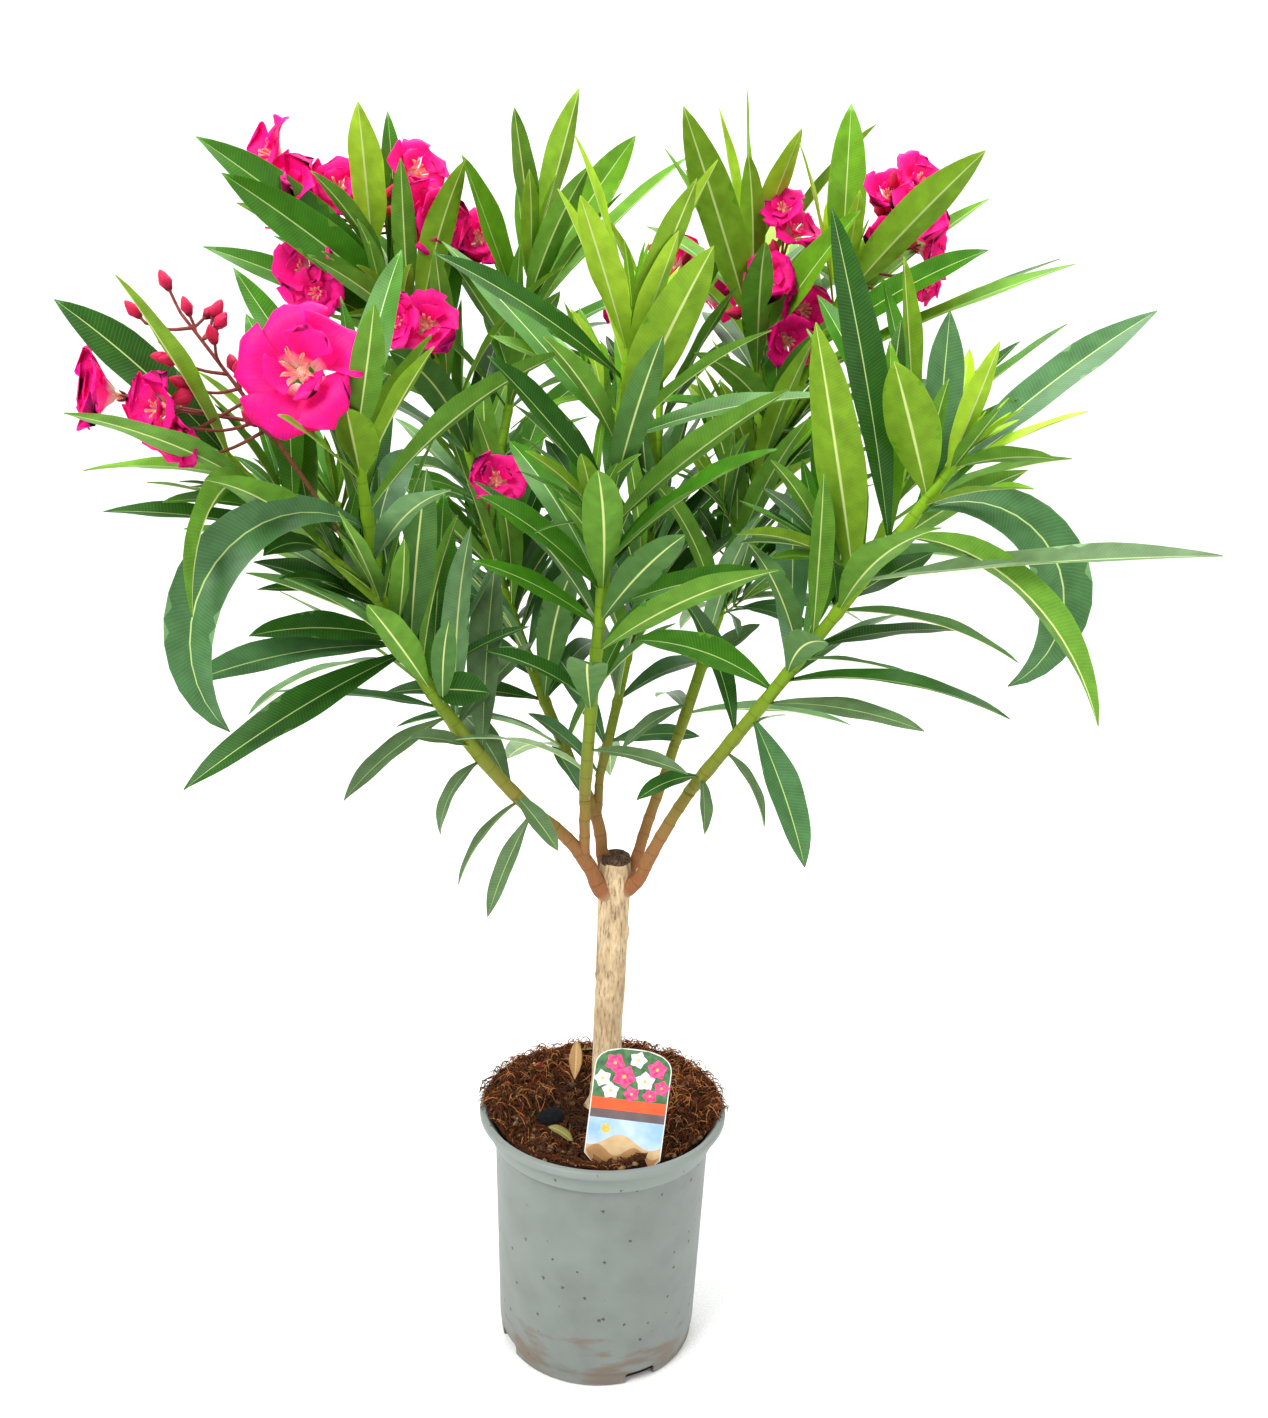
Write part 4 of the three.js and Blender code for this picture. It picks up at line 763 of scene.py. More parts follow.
def grow_sprig(shoot, share, heading, name, crown, random):
    """A short side twig with a few small leaves."""
    sprig = {
        "name": name, "mass": shoot["mass"], "heading": heading, "turn": (random() - 0.5) * 40,
        "lean": SPRIG_LEAN, "endLean": SPRIG_LEAN * random(), "first": 360 * random(),
        "length": mix(*SPRIG_LENGTH, random()), "radius": SPRIG_RADIUS, "tip": SPRIG_RADIUS / 2,
    }
    sprig["path"] = limb_path(sprig, path_point(shoot["path"], share))
    grown = len(crown["leaves"])
    for index, place in enumerate(SPRIG_NODES):
        for leaf in whorl(sprig, place, index, index, random):
            leaf["share"] = share
            add_fine_leaf(scale_leaf(leaf, mix(*SPRIG_LEAF, random())), crown)
    if len(crown["leaves"]) > grown:
        crown["sprigs"].append(ball_round(sprig))
        crown["in_way"].append(sprig)


def grow_tuft(shoot, crown, random):
    """The young upright leaves that close a shoot's tip."""
    for i in range(TUFT_LEAVES):
        turn = i * GOLDEN_TURN
        leaf = whorl_leaf(shoot, 1, "-tuft", turn, random)
        spread = math.radians(mix(*TUFT_SPREAD, random()))
        heading, rise = bearing(away_from(shoot, 1, math.radians(turn), spread))
        length = mix(*TUFT_LENGTH, random())
        width = length * LEAF_SLENDER * TUFT_SLENDER
        form = {"heading": heading, "rise": rise, "length": length, "width": width}
        add_fine_leaf({**leaf, **form, "droop": TUFT_DROOP, "tuft": True}, crown)


def grow_fine(crown):
    random = make_random(FINE_SEED)
    crown["sprigs"] = []
    stalks = {stalk["name"]: stalk for stalk in crown["stalks"] if "name" in stalk}
    for name, rows in MORE_BLOOMS.items():
        stalk = stalks[name]
        crown["blooms"] += [bloom_of(stalk["mass"], stalk["path"], row) for row in rows]
    for leaf in crown["leaves"]:
        if leaf["node"] in ARCHED_LEAVES:
            leaf.update(ARCHED_LEAVES[leaf["node"]])
            leaf["place"] = leaf_place(leaf)
            crown["standing"].add(leaf)
    for name, rows in MORE_LEAVES.items():
        for index, row in enumerate(rows):
            node = f"-marked-more{index}"
            add_fine_leaf(leaf_of(crown["limbs"][name], node, row, marked=True), crown)
    shoots = [crown["limbs"][name] for name in SHOOTS]
    for shoot in shoots:
        grow_tuft(shoot, crown, random)
    for shoot in shoots:
        grow_between(shoot, crown, random)
    for shoot in shoots:
        for index, share in enumerate(shoot_nodes(shoot)[:-1]):
            heading = shoot["first"] + index * GOLDEN_TURN
            if random() < mix(*SPRIG_KEPT, share) * OPEN_SHOOTS.get(shoot["name"], 1):
                name = f"{shoot['name']}-sprig{index}"
                grow_sprig(shoot, share, heading, name, crown, random)


# Mesh making. Meshes are gathered in millimetres and written in metres.
class Gathering:
    """Points, faces, slots and two UV maps of the parts that become one mesh.

    The map `blade` holds shares, such as across and along a leaf, and `real` holds millimetres.
    """

    def __init__(self):
        self.parts, self.sharp = [], []
        self.count = 0

    def take(self, points, corners, *faces):
        """Adds points and their faces: corners, sizes, slots and the maps `blade` and `real`."""
        self.parts.append((points, corners + self.count, *faces))
        self.count += len(points)

    def tubes(self, points, blade, real, slots=0, sharp=()):
        """Closed tubes (tube, row, around), capped at both ends; the maps have one column more."""
        tubes, rows, around = points.shape[:3]
        index = np.arange(tubes * rows * around).reshape(tubes, rows, around)
        for column in sharp:
            line = index[:, :, column]
            pairs = np.stack((line[:, :-1], line[:, 1:]), axis=-1).reshape(-1, 2)
            self.sharp.append(pairs + self.count)
        ring = np.concatenate((index, index[:, :, :1]), axis=2)
        slots = np.broadcast_to(slots, (tubes, rows - 1, around))
        maps = [(quads_of(values), values[:, 0, -2::-1], values[:, -1, :-1]) for values in (blade, real)]
        self.take(
            points.reshape(-1, 3),
            joined((quads_of(ring), index[:, 0, ::-1], index[:, -1])),
            np.repeat((4, around), (tubes * (rows - 1) * around, 2 * tubes)),
            joined((slots, slots[:, 0, 0], slots[:, -1, 0])),
            *(joined(parts, 2) for parts in maps),
        )

    def grid(self, points, girth=1.0, slots=0, along=None):
        """One closed tube (row, around); `along` holds its rows' places in millimetres."""
        rows, around = points.shape[:2]
        if along is None:
            along = lengths_along(points[:, 0])
        share = round_map(rows, around, along / along[-1])
        self.tubes(points[None], share, round_map(rows, around, along, girth), slots)

    def plate(self, outline, place, thickness, slot):
        """A flat form with an outline (x, z); `place` puts (x, y, z) with y as its depth."""
        count = len(outline)
        front = np.insert(outline, 1, 0.0, axis=1)
        back = np.insert(outline, 1, thickness, axis=1)
        points = place(np.vstack((front, back)))
        sides = np.arange(count)
        after = (sides + 1) % count
        walls = np.stack((after, sides, sides + count, after + count), axis=-1).reshape(-1)
        corners = np.concatenate((sides, sides[::-1] + count, walls))
        sizes = np.array([count, count, *[4] * count])
        flat = np.vstack((outline, outline))[corners]
        self.take(points, corners, sizes, np.full(len(sizes), slot), flat, flat)

    def build(self, name, materials):
        """The mesh object, smooth but for its sharp lines."""
        points, corners, sizes, slots, *maps = (np.concatenate(rows) for rows in zip(*self.parts))
        mesh = bpy.data.meshes.new(name)
        mesh.vertices.add(len(points))
        mesh.vertices.foreach_set("co", (points * MM).astype(np.float32).ravel())
        mesh.loops.add(len(corners))
        mesh.loops.foreach_set("vertex_index", corners.astype(np.int32))
        mesh.polygons.add(len(sizes))
        starts = np.concatenate(((0,), np.cumsum(sizes)[:-1]))
        mesh.polygons.foreach_set("loop_start", starts.astype(np.int32))
        mesh.polygons.foreach_set("material_index", slots.astype(np.int32))
        mesh.update(calc_edges=True)
        for map_name, values in zip(("blade", "real"), maps):
            layer = mesh.uv_layers.new(name=map_name)
            layer.data.foreach_set("uv", values.astype(np.float32).ravel())
        mesh.polygons.foreach_set("use_smooth", np.ones(len(sizes), bool))
        if self.sharp:
            mark_sharp(mesh, np.concatenate(self.sharp), len(points))
        for material in materials:
            mesh.materials.append(material)
        if mesh.validate(verbose=False):
            raise RuntimeError(f"{name}: the mesh had faults")
        obj = bpy.data.objects.new(name, mesh)
        bpy.context.scene.collection.objects.link(obj)
        return obj


def joined(parts, *columns):
    """Arrays laid out flat, or in rows of so many columns, and joined."""
    return np.concatenate([part.reshape(-1, *columns) for part in parts])


def quads_of(values):
    """Corner values of the quads between neighbours of a grid (tube, row, column, ...)."""
    corners = (values[:, :-1, :-1], values[:, :-1, 1:], values[:, 1:, 1:], values[:, 1:, :-1])
    return np.stack(corners, axis=3)


def mark_sharp(mesh, pairs, count):
    keys = np.sort(pairs, axis=1) @ (count, 1)
    ends = np.zeros(len(mesh.edges) * 2, np.int32)
    mesh.edges.foreach_get("vertices", ends)
    edges = np.sort(ends.reshape(-1, 2).astype(np.int64), axis=1) @ (count, 1)
    marked = mesh.attributes.new("sharp_edge", "BOOLEAN", "EDGE")
    marked.data.foreach_set("value", np.isin(edges, keys))


def shell(sheet, thickness):
    """Rings round thin solids whose tops are sheets of points (sheet, row, column, 3)."""
    normal = unit(np.cross(np.gradient(sheet, axis=2), np.gradient(sheet, axis=1)))
    under = (sheet - normal * thickness)[:, :, 1:-1]
    return np.concatenate((sheet, under[:, :, ::-1]), axis=2)


def lengths_along(path):
    """How far along a path each of its points stands."""
    steps = np.linalg.norm(np.diff(path, axis=0), axis=1)
    return np.concatenate(((0,), np.cumsum(steps)))


def round_map(rows, around, along, girth=1.0):
    """UV columns round a tube: shares round or millimetres of `girth`, and values along it."""
    turn = np.linspace(0, 1, around + 1) * girth
    return np.stack(np.broadcast_arrays(turn[None], np.reshape(along, (rows, 1))), axis=-1)[None]


def path_frames(path):
    """Sides and normals along a path, turned as little as can be."""
    tangents = unit(np.gradient(path, axis=0))
    side = frame_of(tangents[0])[0]
    sides = []
    for tangent in tangents:
        side = unit(side - tangent * (side @ tangent))
        sides.append(side)
    return np.array(sides), np.cross(sides, tangents)


def add_tube(form, path, radii, around, slot=0):
    """A round limb along a path, with one radius, one for each row or one for each point."""
    side, normal = path_frames(path)
    angle = np.arange(around) / around * TURN
    radii = np.reshape(radii, (-1, 1)) if np.ndim(radii) < 2 else radii
    radii = np.broadcast_to(radii, (len(path), around))[..., None]
    ring = side[:, None] * np.cos(angle)[:, None] - normal[:, None] * np.sin(angle)[:, None]
    girth = TURN * float(radii.mean())
    form.grid(path[:, None] + ring * radii, girth, slot, lengths_along(path))


def curve_through(points, steps):
    """A smooth line through points, with `steps` places to each stretch."""
    points = np.asarray(points, float)
    before = np.vstack((2 * points[0] - points[1], points[:-2]))
    after = np.vstack((points[2:], 2 * points[-1] - points[-2]))
    t = (np.arange(steps) / steps)[None, :, None]
    a, b, c, d = (values[:, None] for values in (before, points[:-1], points[1:], after))
    line = 0.5 * (
        2 * b + (c - a) * t + (2 * a - 5 * b + 4 * c - d) * t**2 + (3 * b - a - 3 * c + d) * t**3
    )
    return np.vstack((line.reshape(-1, points.shape[1]), points[-1:]))


def lattice(i, j, seed):
    """A number in 0..1 for each lattice place."""
    mixed = (i * 374761393 + j * 668265263 + seed * 974634777) & 0x7FFFFFFF
    mixed = ((mixed ^ (mixed >> 13)) * 1274126177) & 0x7FFFFFFF
    return ((mixed ^ (mixed >> 16)) & 0xFFFFFF) / 0xFFFFFF


def relief(x, y, seed, around=None):
    """Smooth noise in -1..1 with one lump to a unit; `around` units make it repeat along x."""
    x, y = np.broadcast_arrays(x, y)
    x0, y0 = np.floor(x).astype(np.int64), np.floor(y).astype(np.int64)
    u, v = x - x0, y - y0
    u, v = u * u * (3 - 2 * u), v * v * (3 - 2 * v)
    x1 = x0 + 1
    if around:
        x0, x1 = x0 % around, x1 % around
    low = mix(lattice(x0, y0, seed), lattice(x1, y0, seed), u)
    high = mix(lattice(x0, y0 + 1, seed), lattice(x1, y0 + 1, seed), u)
    return mix(low, high, v) * 2 - 1


# Materials.
def linear(hex_colour):
    """An sRGB hex colour as linear red, green, blue."""
    parts = [int(hex_colour[i : i + 2], 16) / 255 for i in (0, 2, 4)]
    return tuple(c / 12.92 if c <= 0.04045 else ((c + 0.055) / 1.055) ** 2.4 for c in parts)


def tone(colour, strength=1.0):
    """A hex or linear colour for a socket, made lighter or darker by a factor."""
    parts = linear(colour) if isinstance(colour, str) else colour[:3]
    return (*(min(c * strength, 1.0) for c in parts), 1.0)


def fill_sockets(node, inputs):
    """Sets a node's inputs; a value that is a node or a socket is linked."""
    for name, value in inputs.items():
        if isinstance(value, bpy.types.Node):
            value = next(socket for socket in value.outputs if socket.enabled)
        if isinstance(value, bpy.types.NodeSocket):
            node.id_data.links.new(value, node.inputs[name])
        else:
            node.inputs[name].default_value = value


def add_node(tree, kind, inputs=None, stops=(), **settings):
    """Adds a shader node with its settings, its links and, on a colour ramp, its stops."""
    node = tree.nodes.new("ShaderNode" + kind)
    for name, value in settings.items():
        setattr(node, name, value)
    for index, (place, colour) in enumerate(stops):
        elements = node.color_ramp.elements
        element = elements[index] if index < len(elements) else elements.new(1.0)
        element.position = place
        element.color = colour
    fill_sockets(node, inputs or {})
    return node


def start_material(name, gloss, index, specular=0.5, **surface):
    """A material whose uniform values stand on its shader's own sockets."""
    material = bpy.data.materials.new(name)
    material.use_nodes = True
    tree = material.node_tree
    tree.nodes.clear()
    surface = {"Roughness": gloss, "IOR": index, "Specular IOR Level": specular, **surface}
    shader = add_node(tree, "BsdfPrincipled", surface)
    add_node(tree, "OutputMaterial", {"Surface": shader})
    return material, partial(add_node, tree)


def between(value, low, high, start=0.0, end=1.0):
    """Inputs of a node that spreads one range over another."""
    return {"Value": value, "From Min": low, "From Max": high, "To Min": start, "To Max": end}


def grain(add, place, size, detail=2.0, rough=0.5):
    """Noise with soft grains of a size, or of one along each axis."""
    scale = tuple(1 / np.broadcast_to(size, 3))
    place = add("Mapping", {"Vector": place, "Scale": scale})
    return add("TexNoise", {"Vector": place, "Scale": 1.0, "Detail": detail, "Roughness": rough})


def finish_material(material, colour, height, strength=0.4, depth=0.0006):
    """Gives a material's shader its colour and its fine bumps."""
    tree = material.node_tree
    bump = add_node(tree, "Bump", {"Strength": strength, "Distance": depth, "Height": height})
    fill_sockets(tree.nodes["Principled BSDF"], {"Base Color": colour, "Normal": bump})
    return material


# Finishes. Sizes of grains are in metres, or in millimetres on the map `real`.
# Side veins stand under 1 mm apart on a real leaf and are drawn coarser, so that they show.
VEIN_PITCH = 2.3
VEIN_SLANT = -0.42
LEAF_MOTTLE = 14
PETAL_STREAK = (1.3, 16, 1)
STEM_STREAK = (0.0018, 0.0018, 0.01)
SCAR_SHADE = (0.45, 0.4, 0.36, 1)
COLLAR_FADE = (7, 15)
SPECK_PITCH = 0.013
SMEAR_SIZE = (1 / 30, 1 / 30, 1 / 95)


def leaf_finish(name, blade, rib, margin, gloss, rib_width, veins):
    """A laminated leathery leaf: pale rib and margin, fine slanting veins and a soft mottle."""
    material, add = start_material(name, gloss, 1.45, 0.35 * (1 - gloss))
    share = add("SeparateXYZ", {"Vector": add("UVMap", uv_map="blade")})
    across = add("Math", {0: share.outputs["X"]}, operation="ABSOLUTE")
    real = add("UVMap", uv_map="real")
    size = add("SeparateXYZ", {"Vector": real})
    away = add("Math", {0: size.outputs["X"]}, operation="ABSOLUTE")
    slant = {0: away, 1: VEIN_SLANT, 2: size.outputs["Y"]}
    slant = add("Math", slant, operation="MULTIPLY_ADD")
    turns = add("Math", {0: slant, 1: TURN / VEIN_PITCH}, operation="MULTIPLY")
    wave = add("Math", {0: turns}, operation="SINE")
    vein = add("MapRange", between(wave, 0.55, 1.0, end=veins))
    mottle = grain(add, real, LEAF_MOTTLE, 3.0)
    base = add("ValToRGB", {"Fac": mottle}, [(0.3, tone(blade, 0.8)), (0.7, tone(blade, 1.16))])
    veined = add("Mix", {0: vein, 6: base, 7: tone(rib)}, data_type="RGBA")
    white, black = tone((1, 1, 1)), tone((0, 0, 0))
    bands = [(0, white), (rib_width, white), (rib_width * 1.9, black), (0.93, black)]
    bands = add("ValToRGB", {"Fac": across}, [*bands, (1, tone(white, 0.4))])
    pale = add("ValToRGB", {"Fac": across}, [(0.5, tone(rib)), (0.6, tone(margin))])
    colour = add("Mix", {0: bands, 6: veined, 7: pale}, data_type="RGBA")
    height = add("Math", {0: mottle, 1: vein}, operation="SUBTRACT")
    return finish_material(material, colour, height, 0.35)


def bark_finish(name, pale, dark, gloss, streak):
    """Weathered bark: corky and matt, with dark upright cracks that follow the relief."""
    material, add = start_material(name, gloss, 1.5)
    place = add("TexCoord").outputs["Object"]
    streaks = grain(add, place, streak, 4.0, 0.65)
    stops = [(0.34, tone(dark)), (0.44, tone(pale, 0.72)), (0.56, tone(pale))]
    dashes = add("ValToRGB", {"Fac": streaks}, [*stops, (0.75, tone(pale, 1.25))])
    patches = grain(add, place, 0.018)
    shift = add("MapRange", between(patches, 0.35, 0.7, end=0.55))
    colour = add("Mix", {0: shift, 6: dashes, 7: tone(dark, 1.6)}, data_type="RGBA")
    return finish_material(material, colour, streaks, 0.6, 0.001)


def stem_finish(name, stops, gloss, foot=None):
    """Stem skin that goes by height: brown and faintly ringed low down, waxy green above."""
    material, add = start_material(name, gloss, 1.45, 0.22)
    place = add("TexCoord").outputs["Object"]
    height = add("SeparateXYZ", {"Vector": place}).outputs["Z"]
    low, high = stops[0][0], stops[-1][0]
    age = add("MapRange", between(height, low * MM, high * MM))
    streaks = grain(add, place, STEM_STREAK, 3.0)
    uneven = add("Math", {0: streaks, 1: 0.3, 2: -0.15}, operation="MULTIPLY_ADD")
    share = add("Math", {0: age, 1: uneven}, operation="ADD")
    stops = [((z - low) / (high - low), tone(hex_colour)) for z, hex_colour in stops]
    skin = add("ValToRGB", {"Fac": share}, stops)
    along = add("SeparateXYZ", {"Vector": add("UVMap", uv_map="real")}).outputs["Y"]
    pitch = add("Math", {0: along, 1: TURN / SCAR_PITCH}, operation="MULTIPLY")
    wave = add("Math", {0: pitch}, operation="COSINE")
    scar = add("MapRange", between(wave, -0.99, -0.93, 0.35, 0))
    ring = {0: scar, 6: skin, 7: SCAR_SHADE}
    colour = add("Mix", ring, data_type="RGBA", blend_type="MULTIPLY")
    if foot:
        merge = add("MapRange", between(along, *COLLAR_FADE, 0.8, 0))
        colour = add("Mix", {0: merge, 6: colour, 7: tone(foot)}, data_type="RGBA")
    return finish_material(material, colour, streaks)


def petal_finish(name, petal, claw, gloss):
    """Thin soft petal: a velvety hot pink with fine streaks that run along it from a pale claw."""
    depth = {
        "Subsurface Weight": 0.45, "Subsurface Radius": (1.0, 0.15, 0.4), "Subsurface Scale": 0.004,
    }
    material, add = start_material(name, gloss, 1.4, 0.2, **depth)
    streaks = grain(add, add("UVMap", uv_map="real"), PETAL_STREAK, 3.0)
    along = add("SeparateXYZ", {"Vector": add("UVMap", uv_map="blade")}).outputs["Y"]
    stops = [(0.32, tone(petal, 0.8)), (0.5, tone(petal)), (0.68, tone(petal, 1.2))]
    deep = add("ValToRGB", {"Fac": streaks}, stops)
    pale = add("MapRange", between(along, 0.04, 0.26, 1.7, 0.0))
    pale = add("Math", {0: pale, 1: streaks}, operation="MULTIPLY", use_clamp=True)
    colour = add("Mix", {0: pale, 6: deep, 7: tone(claw)}, data_type="RGBA")
    return finish_material(material, colour, streaks)


def speckled_finish(name, base, speck, size, share, gloss, depth, blotch=0.0):
    """A dull broken colour: grains of `size` metres over a base, with soft darker blotches."""
    material, add = start_material(name, gloss, 1.48, 0.15)
    place = add("TexCoord").outputs["Object"]
    grains = grain(add, place, size, 4.0, 0.6)
    stops = [(share - 0.06, tone(speck)), (share + 0.02, tone(base, 0.85)), (0.75, tone(base, 1.2))]
    mixed = add("ValToRGB", {"Fac": grains}, stops)
    cloud = grain(add, place, size * 12)
    amount = add("MapRange", between(cloud, 0.4, 0.7, end=blotch))
    colour = add("Mix", {0: amount, 6: mixed, 7: tone(speck)}, data_type="RGBA")
    return finish_material(material, colour, grains, 0.7, depth)


def pot_finish(name, base, rim_highlight, scuff):
    """Moulded polypropylene: satin, faintly mottled, fine dark specks and earthy scuffs low down, with a
    painted highlight on the collar and lip.
    """
    material, add = start_material(name, 0.5, 1.49)
    place = add("TexCoord").outputs["Object"]
    height = add("SeparateXYZ", {"Vector": place}).outputs["Z"]
    mottle = grain(add, place, 0.03, 4.0)
    stops = [(0.3, tone(base, 0.88)), (0.52, tone(base)), (0.75, tone(base, 1.1))]
    shade = add("ValToRGB", {"Fac": mottle}, stops)
    # The collar and lip are painted lighter: a painted highlight where they catch the light.
    edge = (POT_HEIGHT - COLLAR_HEIGHT) * MM
    high = add("MapRange", between(height, edge - MM, edge + 2 * MM, end=0.75))
    lipped = add("Mix", {0: high, 6: shade, 7: tone(rim_highlight)}, data_type="RGBA")
    ragged = add("TexNoise", {"Vector": place, "Scale": 1 / 0.0016})
    shaken = {0: ragged.outputs["Color"], 1: (0.003, 0.003, 0.003), 2: place}
    shaken = add("VectorMath", shaken, operation="MULTIPLY_ADD")
    specks = add("TexVoronoi", {"Vector": shaken, "Scale": 1 / SPECK_PITCH})
    speck = add("MapRange", between(specks, 0.1, 0.125, 0.9, 0))
    speckled = add("Mix", {0: speck, 6: lipped, 7: tone(scuff, 0.3)}, data_type="RGBA")
    smears = grain(add, place, SMEAR_SIZE, 6.0)
    low = add("MapRange", between(height, 0.07, 0.0, -0.12, 0.19))
    earthy = add("Math", {0: smears, 1: low}, operation="ADD")
    dirt = add("MapRange", between(earthy, 0.58, 0.74, end=0.75))
    colour = add("Mix", {0: dirt, 6: speckled, 7: tone(scuff)}, data_type="RGBA")
    return finish_material(material, colour, smears, 0.15)


def ink_finish(name, ink, second, size):
    """Offset print on coated card: a smooth satin ink with a faint change of tone."""
    material, add = start_material(name, 0.42, 1.5)
    tones = grain(add, add("UVMap", uv_map="real"), size, 3.0)
    colour = add("ValToRGB", {"Fac": tones}, [(0.35, tone(ink)), (0.65, tone(second))])
    return finish_material(material, colour, tones, 0.05, 0.0001)


# Leaves.
LEAF_ROWS = 18
LEAF_COLUMNS = np.array((-1, -0.62, -0.1, 0, 0.1, 0.62, 1))
BLADE_STRIPS = 6
LEAF_FOLD = (6, 26)
LEAF_TWIST = 24
TWIST_FROM = 0.25
LEAF_WAVE = 0.07
RIPPLES = (15, 1.5)
RIB_HEIGHT = (0.9, 0.2)
TIP_WIDTH = 0.02
# Leaf shades dealt by height in the crown. The yellow-green at the top is partly the young leaves' own
# colour and partly painted light shining through them; the deep and bluish shades lower down and inside
# are partly the older leaves' own colour and partly painted shade.
SHADES = ("young", "bright", "green", "deep", "blue", "dull")
SHADE_STEPS = (0.93, 0.72, 0.47, 0.27, 0.12)
CROWN_FOOT = 430
CROWN_HEIGHT = 500
SHADE_BY_SHARE = 0.3
SHADE_SPREAD = 0.34
OWN_SPREAD = 0.3
TUFT_SHADE = 0.4
SHADE_BIAS = {
    "right": 0.05, "centre": 0.06, "leaning": 0.05, "left": -0.1, "outer": -0.12, "inner": -0.1,
    "back": -0.12, "back_left": -0.12,
}
NAMED_SHADES = {
    "bright": ("centre-marked0", "right-marked2", "right-marked4"),
    "green": ("centre-marked4", "left_side-marked0", "right-marked10"),
    "deep": (
        "centre-marked3", "centre-marked5", "left-marked1", "left_side-marked-more0", "right-marked3",
    ),
    "blue": (
        "left-marked0", "left_tip-marked0", "right-marked5", "right-marked6", "right-marked9",
        "right-marked16",
    ),
    "dull": ("right-marked11",),
}
LEAF_NARROW = 0.84
BLADE_OUTLINE = (
    (0, 0.12), (0.06, 0.17), (0.16, 0.46), (0.28, 0.78), (0.42, 0.97), (0.54, 1), (0.68, 0.93),
    (0.8, 0.74), (0.9, 0.46), (0.96, 0.22), (1, 0),
)
LOOK_SEED = 77431


def smooth_outline(samples=240, reach=9):
    """The leaf's outline with its corners rounded off."""
    t = np.linspace(0, 1, samples)
    padded = np.pad(read_table(BLADE_OUTLINE, t), reach, mode="reflect", reflect_type="odd")
    window = np.ones(2 * reach + 1) / (2 * reach + 1)
    return np.stack((t, np.maximum(np.convolve(padded, window, mode="valid"), 0)), axis=1)


SMOOTH_OUTLINE = smooth_outline()


def shade_of(leaf, spray, own):
    """Which of the shades a leaf has: yellowish at the top and the tips, bluish below, partly their own
    colour and partly painted light through the upper leaves and painted shade on the lower ones.
    """
    for shade, nodes in NAMED_SHADES.items():
        if leaf["node"] in nodes:
            return SHADES.index(shade)
    height = (leaf["place"]["middle"][2] - CROWN_FOOT) / CROWN_HEIGHT
    place = mix(height, leaf["share"], SHADE_BY_SHARE) + (spray - 0.5) * SHADE_SPREAD
    place += (own - 0.5) * OWN_SPREAD + SHADE_BIAS.get(leaf["shoot"].split("-")[0], 0)
    if leaf.get("tuft") and leaf["mass"] == "foliage_right":
        place += TUFT_SHADE
    for index, step in enumerate(SHADE_STEPS):
        if place > step:
            return index
    return len(SHADES) - 1


def leaf_sheets(leaves, random):
    """Upper faces of leaves as sheets, with both maps."""
    sheets, shares, reals = [], [], []
    for leaf in leaves:
        f = leaf_frames(leaf, LEAF_ROWS)
        share = np.maximum(read_table(SMOOTH_OUTLINE, f["shares"]), TIP_WIDTH)[:, None, None]
        half = leaf["width"] / 2 * share * (1 if leaf["marked"] else LEAF_NARROW)
        fold = math.radians(mix(*LEAF_FOLD, random()))
        twist = math.radians(LEAF_TWIST * (random() - 0.5) * 2) * (f["shares"] - TWIST_FROM)
        phase = random() * TURN
        side = f["side"] * np.cos(twist)[:, None] + f["normal"] * np.sin(twist)[:, None]
        normal = np.cross(side, f["tangent"])
        x = LEAF_COLUMNS[None, :, None]
        ripple = np.sin(phase + f["shares"][:, None, None] * RIPPLES[0] + x * RIPPLES[1])
        rise = np.abs(x) * math.sin(fold) + LEAF_WAVE * x**2 * ripple
        sheet = f["position"][:, None] + side[:, None] * half * x * math.cos(fold)
        sheets.append(sheet + normal[:, None] * half * rise)
        across = np.broadcast_to(LEAF_COLUMNS, sheet.shape[:2])
        along = np.broadcast_to(f["shares"][:, None], sheet.shape[:2])
        shares.append(np.stack((across, along), axis=-1))
        reals.append(np.stack((across * half[..., 0], along * leaf["length"]), axis=-1))
    return np.array(sheets), np.array(shares), np.array(reals)


def ring_map(values):
    """A sheet's map carried round its shell: over the top, back underneath and closed."""
    return np.concatenate((values, values[:, :, -2:0:-1], values[:, :, :1]), axis=2)


def gather_leaves(mass, crown, thickness):
    form = Gathering()
    random = make_random(LOOK_SEED + len(mass))
    leaves = [leaf for leaf in crown["leaves"] if leaf["mass"] == mass]
    sheets, shares, reals = leaf_sheets(leaves, random)
    rings = shell(sheets, thickness)
    middle = len(LEAF_COLUMNS) // 2
    under_rib = rings.shape[2] - middle
    along = np.linspace(*RIB_HEIGHT, LEAF_ROWS + 1)[None, :, None]
    down = unit(rings[:, :, under_rib] - rings[:, :, middle])
    rings[:, :, under_rib] += down * along
    sprays = {}
    shades = []
    for leaf in leaves:
        if leaf["node"] not in sprays:
            sprays[leaf["node"]] = random()
        shades.append(shade_of(leaf, sprays[leaf["node"]], random()))
    strips = np.arange(rings.shape[2])
    under = (strips >= BLADE_STRIPS).astype(int)
    slots = np.array(shades)[:, None, None] * 2 + under[None, None, :]
    slots = np.broadcast_to(slots, (len(leaves), LEAF_ROWS, len(strips)))
    edges = (0, len(LEAF_COLUMNS) - 1)
    form.tubes(rings, ring_map(shares), ring_map(reals), slots, sharp=edges)
    return form


# Twigs.
STEM_AROUND = 14
STEM_STEP = 5
NODE_SWELL = 0.7
NODE_REACH = 2.6
SEAT_SINK = 2
SEAT_EASE = 16
STALK_AROUND = 7


